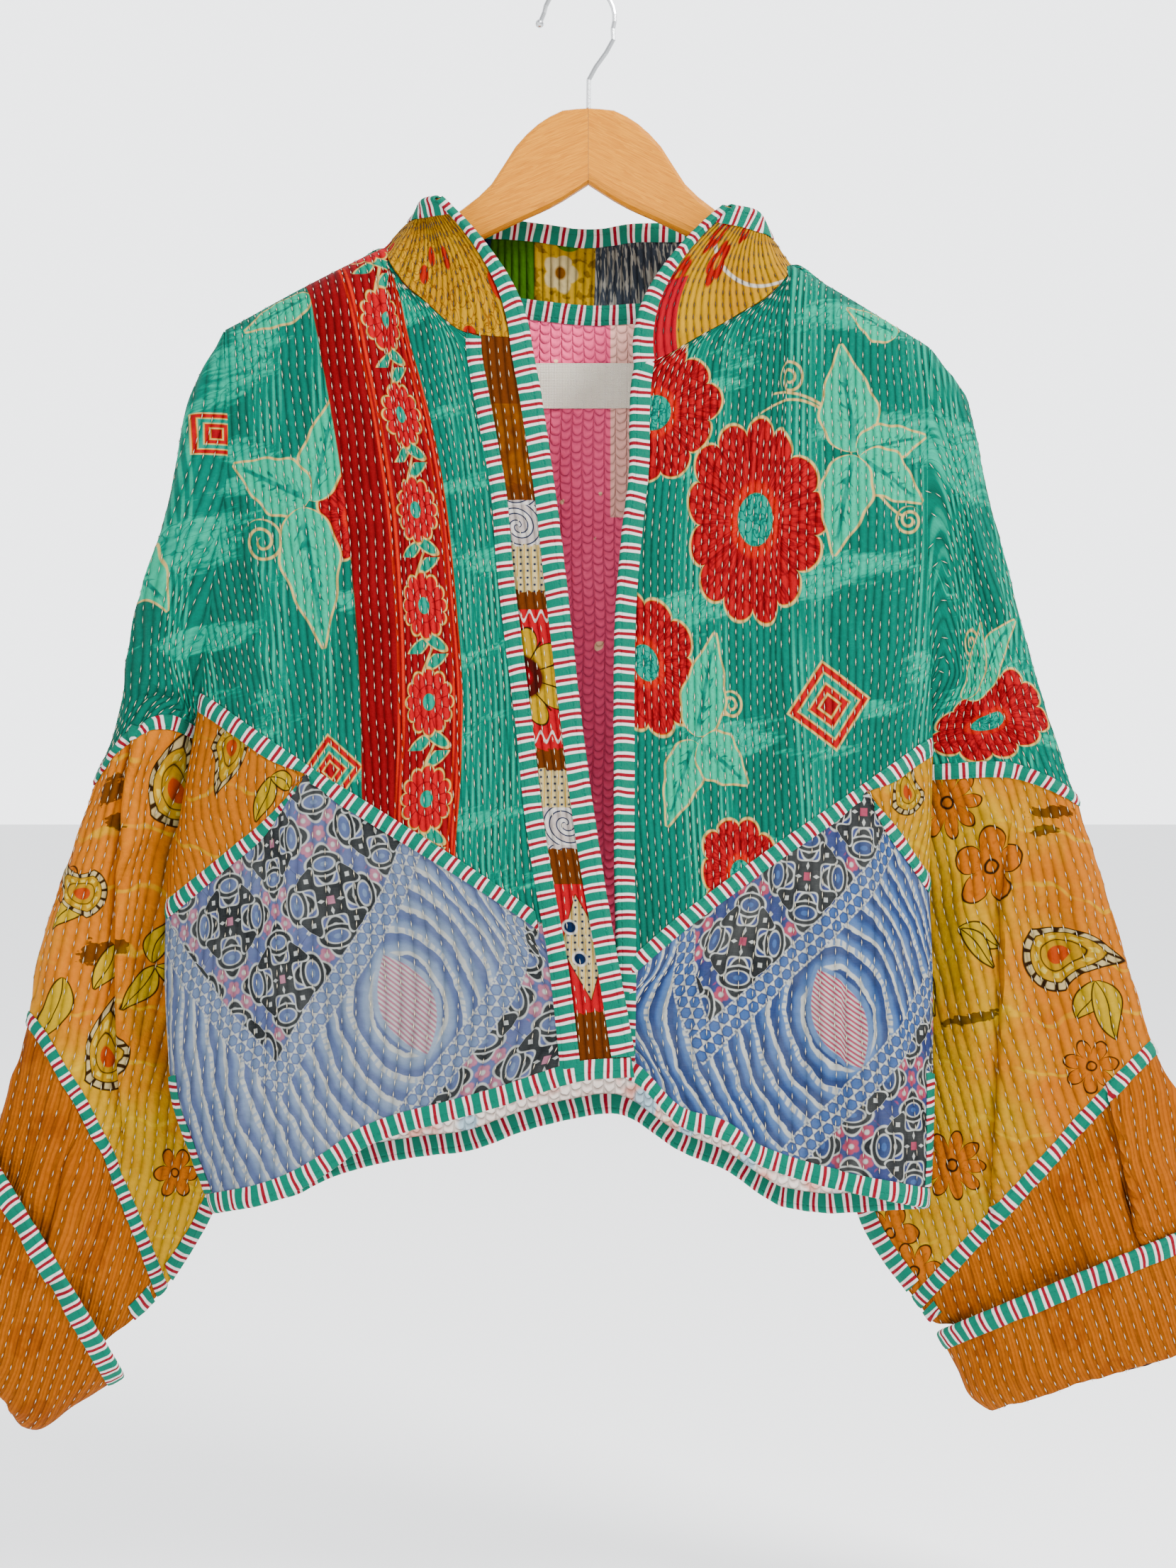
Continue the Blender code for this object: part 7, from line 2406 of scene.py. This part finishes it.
# %% The stitch tree
def stitch_tree(material):
    """Geometry Nodes that sew stitches along the edges of a mesh."""
    tree = bpy.data.node_groups.new("running_stitch", "GeometryNodeTree")
    tree.interface.new_socket("Geometry", in_out="INPUT", socket_type="NodeSocketGeometry")
    for label, value in STITCH.items():
        kind = "NodeSocketInt" if label == "Seed" else "NodeSocketFloat"
        tree.interface.new_socket(label, in_out="INPUT", socket_type=kind).default_value = value
    tree.interface.new_socket("Geometry", in_out="OUTPUT", socket_type="NodeSocketGeometry")
    start, end = tree.nodes.new("NodeGroupInput"), tree.nodes.new("NodeGroupOutput")

    def add(kind, settings=None, inputs=None):
        node = tree.nodes.new(kind)
        for key, value in (settings or {}).items():
            setattr(node, key, value)
        for key, value in (inputs or {}).items():
            if isinstance(value, bpy.types.NodeSocket):
                tree.links.new(value, node.inputs[key])
            else:
                node.inputs[key].default_value = value
        return node

    given = start.outputs
    curve = add("GeometryNodeMeshToCurve", None, {"Mesh": given["Geometry"]})
    steps = add("GeometryNodeResampleCurve", {"mode": "LENGTH"},
                {"Curve": curve.outputs[0], "Length": given["Step"]})
    tangent = add("GeometryNodeInputTangent")
    out = add("GeometryNodeInputNamedAttribute", {"data_type": "FLOAT_VECTOR"}, {"Name": "out"})
    along_line = add("FunctionNodeAlignRotationToVector", {"axis": "X"}, {"Vector": tangent.outputs[0]})
    stand = add("FunctionNodeAlignRotationToVector", {"axis": "Z", "pivot_axis": "X"},
                {"Rotation": along_line.outputs[0], "Vector": out.outputs[0]})
    kept = add("FunctionNodeRandomValue", {"data_type": "FLOAT"}, {"Seed": given["Seed"]})
    chosen = add("FunctionNodeCompare", {"data_type": "FLOAT", "operation": "GREATER_THAN"},
                 {0: kept.outputs[1], 1: given["Left out"]})
    thread = add("GeometryNodeMeshUVSphere", None, {"Segments": 4, "Rings": 2, "Radius": 0.56})
    vary = add("FunctionNodeRandomValue", {"data_type": "FLOAT"}, {2: 0.72, 3: 1.12, "Seed": given["Seed"]})
    long_side = add("ShaderNodeMath", {"operation": "MULTIPLY"}, {0: vary.outputs[1], 1: given["Length"]})
    high = add("ShaderNodeMath", {"operation": "MULTIPLY"}, {0: given["Width"], 1: 0.8})
    size = add("ShaderNodeCombineXYZ", None, {0: long_side.outputs[0], 1: given["Width"], 2: high.outputs[0]})
    sewn = add("GeometryNodeInstanceOnPoints", None, {
        "Points": steps.outputs[0], "Selection": chosen.outputs[0], "Instance": thread.outputs[0],
        "Rotation": stand.outputs[0], "Scale": size.outputs[0]})
    real = add("GeometryNodeRealizeInstances", None, {0: sewn.outputs[0]})
    finish = add("GeometryNodeSetMaterial", None, {"Geometry": real.outputs[0], "Material": material})
    tree.links.new(finish.outputs[0], end.inputs[0])
    return tree


def thread_finish(name, colour):
    f = Finish(name)
    twist = f.noise_at(f.body(), 1500.0, 1.0)
    return f.done(f.mix(twist, colour, (*[c * 0.8 for c in grey(colour)[:3]], 1)), 0.75)


print("sizes of a stitch tree:", ", ".join(STITCH))

# %% Sewing them
stitches = {}
threads = {"cream": stitch_tree(thread_finish("cream_thread", 0xC4B89C)),
           "dark": stitch_tree(thread_finish("dark_thread", 0x3A2A22))}


def sew_rows(node, lean, thread="cream", pitch=ROW_PITCH, face=1, seed=1):
    """Sew rows of stitches on one cloth, as a plain mesh of its own."""
    points, outs, edges = stitch_lines(made[node][1], lean, pitch, face, seed)
    mesh = bpy.data.meshes.new(f"{node}_lines")
    mesh.from_pydata((points * MM).tolist(), edges, [])
    attribute = mesh.attributes.new("out", "FLOAT_VECTOR", "POINT")
    attribute.data.foreach_set("vector", outs.reshape(-1))
    lines = placed(f"{node}_lines", mesh)
    modifier = lines.modifiers.new("stitches", "NODES")
    modifier.node_group = threads[thread]
    sizes = {**STITCH, "Seed": seed}
    for item in modifier.node_group.interface.items_tree:
        if item.in_out == "INPUT" and item.name in sizes:
            modifier[item.identifier] = sizes[item.name]
    bpy.context.view_layer.update()
    evaluated = lines.evaluated_get(bpy.context.evaluated_depsgraph_get())
    sewn = bpy.data.meshes.new_from_object(evaluated)
    sewn.name = f"{node}_stitches"
    lines.modifiers.remove(modifier)
    bpy.data.objects.remove(lines)
    piece = placed(f"{node}_stitches", sewn)
    sewn.shade_smooth()
    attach(piece, "root")
    stitches[node] = [piece]
    return len(sewn.polygons)


total = 0
for number, (node, (_, _, slot)) in enumerate(made.items()):
    if node == "label":
        continue
    key = node.rsplit("_", 1)[0] if node.startswith("sleeve") else node
    pitch = {"orange_print": ORANGE_PITCH, "plain_orange": PLAIN_PITCH, "blue_print": BLUE_PITCH}.get(
        slot, ROW_PITCH)
    total += sew_rows(node, LEAN[key], "dark" if node == "collar" else "cream", pitch,
                      -1 if node.endswith("cuff") else 1, number)
print("faces in all stitches:", total)

# %% [markdown]
# ## The hanger, the cuts of cloth and the studio
# The hanger keeps the shape of its solids and only takes on wood and steel. The size of each cloth's cut is
# printed. A pale floor, a pale backdrop and soft lamps finish the lesson.
# Small lamps would draw hard shadows on the cloth, and broad ones show its ribs softly.

# %% Hanger
for node, material in (
        ("hanger_wood_left", wood_left), ("hanger_wood_right", wood_right), ("hanger_hook", steel)):
    for material_slot in frame["nodes"][node].material_slots:
        material_slot.material = material

print("the hanger keeps its solids' shape")

# %% The glue line between the boards
# A thin plate over the left half's end face: how near a corner lies to the joint, the plate's two
# sides, and how much of the boards' profile it fills
NEAR_JOINT = 0.00002
GLUE_SIDES = (-0.0001, 0.0004)
GLUE_SHARE = 0.99
half = frame["nodes"]["hanger_wood_left"]
corners = [half.matrix_world @ vertex.co for vertex in half.data.vertices]
joint = max(point.x for point in corners)
profile = [point for point in corners if joint - point.x < NEAR_JOINT]
middle = sum(profile, Vector()) / len(profile)
profile = sorted((point - middle for point in profile), key=lambda away: math.atan2(away.z, away.y))
plate = [Vector((joint + side, middle.y + GLUE_SHARE * p.y, middle.z + GLUE_SHARE * p.z))
         for side in GLUE_SIDES for p in profile]
count = len(profile)
glue_mesh = bpy.data.meshes.new("hanger_glue_line")
glue_mesh.from_pydata(plate, [], [list(range(count))[::-1], list(range(count, 2 * count))] + [
    (k, (k + 1) % count, count + (k + 1) % count, count + k) for k in range(count)])
glue_mesh.materials.append(Finish("dried_glue").done((0.16, 0.07, 0.02, 1), 0.6))
glue = placed("hanger_glue_line", glue_mesh)
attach(glue, "root")
print("glue line:", count, "corners")

# %% Cuts of the cloths
for node, (piece, panel, _) in made.items():
    width, length, area = cut_size(panel)
    share = area / (width * length)
    tapes.get(node, []) + stitches.get(node, [])
    print(f"{node}: cut {width * 1000:.0f} x {length * 1000:.0f} mm, {share:.2f} of it used")

# %% Studio
FLOOR = -1.06
FLOOR_REACH = 30
MIDDLE = Vector((0, 0, -0.5))
floor_mesh = bpy.data.meshes.new("floor")
corners = [(x * FLOOR_REACH, y * FLOOR_REACH, FLOOR) for x, y in ((-1, -1), (1, -1), (1, 1), (-1, 1))]
floor_mesh.from_pydata(corners, [], [(0, 1, 2, 3)])
floor_mesh.materials.append(Finish("floor_paper").done((0.96, 0.96, 0.96, 1), 0.95))
placed("floor", floor_mesh)


# Lamps that look at the jacket's middle: name, place, width in metres, power in watts
LAMPS = (
    ("key", (1.45, -1.35, 1.2), 0.7, 125),
    ("fill", (-2.0, -1.7, 0.1), 1.8, 22),
    ("front", (-0.2, -2.6, -0.1), 1.2, 12),
    ("back", (0.2, 2.2, 0.8), 1.6, 16))
for name, place_at, width, power in LAMPS:
    data = bpy.data.lights.new(name, "AREA")
    data.energy, data.size = power, width
    light = placed(name, data)
    light.location = place_at
    light.rotation_euler = (MIDDLE - Vector(place_at)).to_track_quat("-Z", "Y").to_euler()
world = bpy.data.worlds.new("studio_air")
world.use_nodes = True
air = Drawing(world.node_tree)
towards = air.node("SeparateXYZ", None, {0: air.node("TexCoord", None, None, 0)}, 1)
backdrop = air.nodes["Background"]
air.set(backdrop.inputs["Color"], (0.95, 0.97, 1.0, 1))
air.set(backdrop.inputs["Strength"], 1.25 + 2.4 * (towards * 1.6 + 0.2).clamped())
bpy.context.scene.world = world

CAMERA_SIDE, LENS = 0.0055, 34.52
camera_data = bpy.data.cameras.new("camera")
camera_data.sensor_fit = "VERTICAL"
camera_data.sensor_height = 24
camera_data.lens = LENS
camera = placed("camera", camera_data)
camera.location = (CAMERA_SIDE, -EYE_DISTANCE * MM, EYE_HEIGHT * MM)
camera.rotation_euler = (math.pi / 2, 0, 0)
bpy.context.scene.camera = camera
print("lamps:", len(LAMPS))
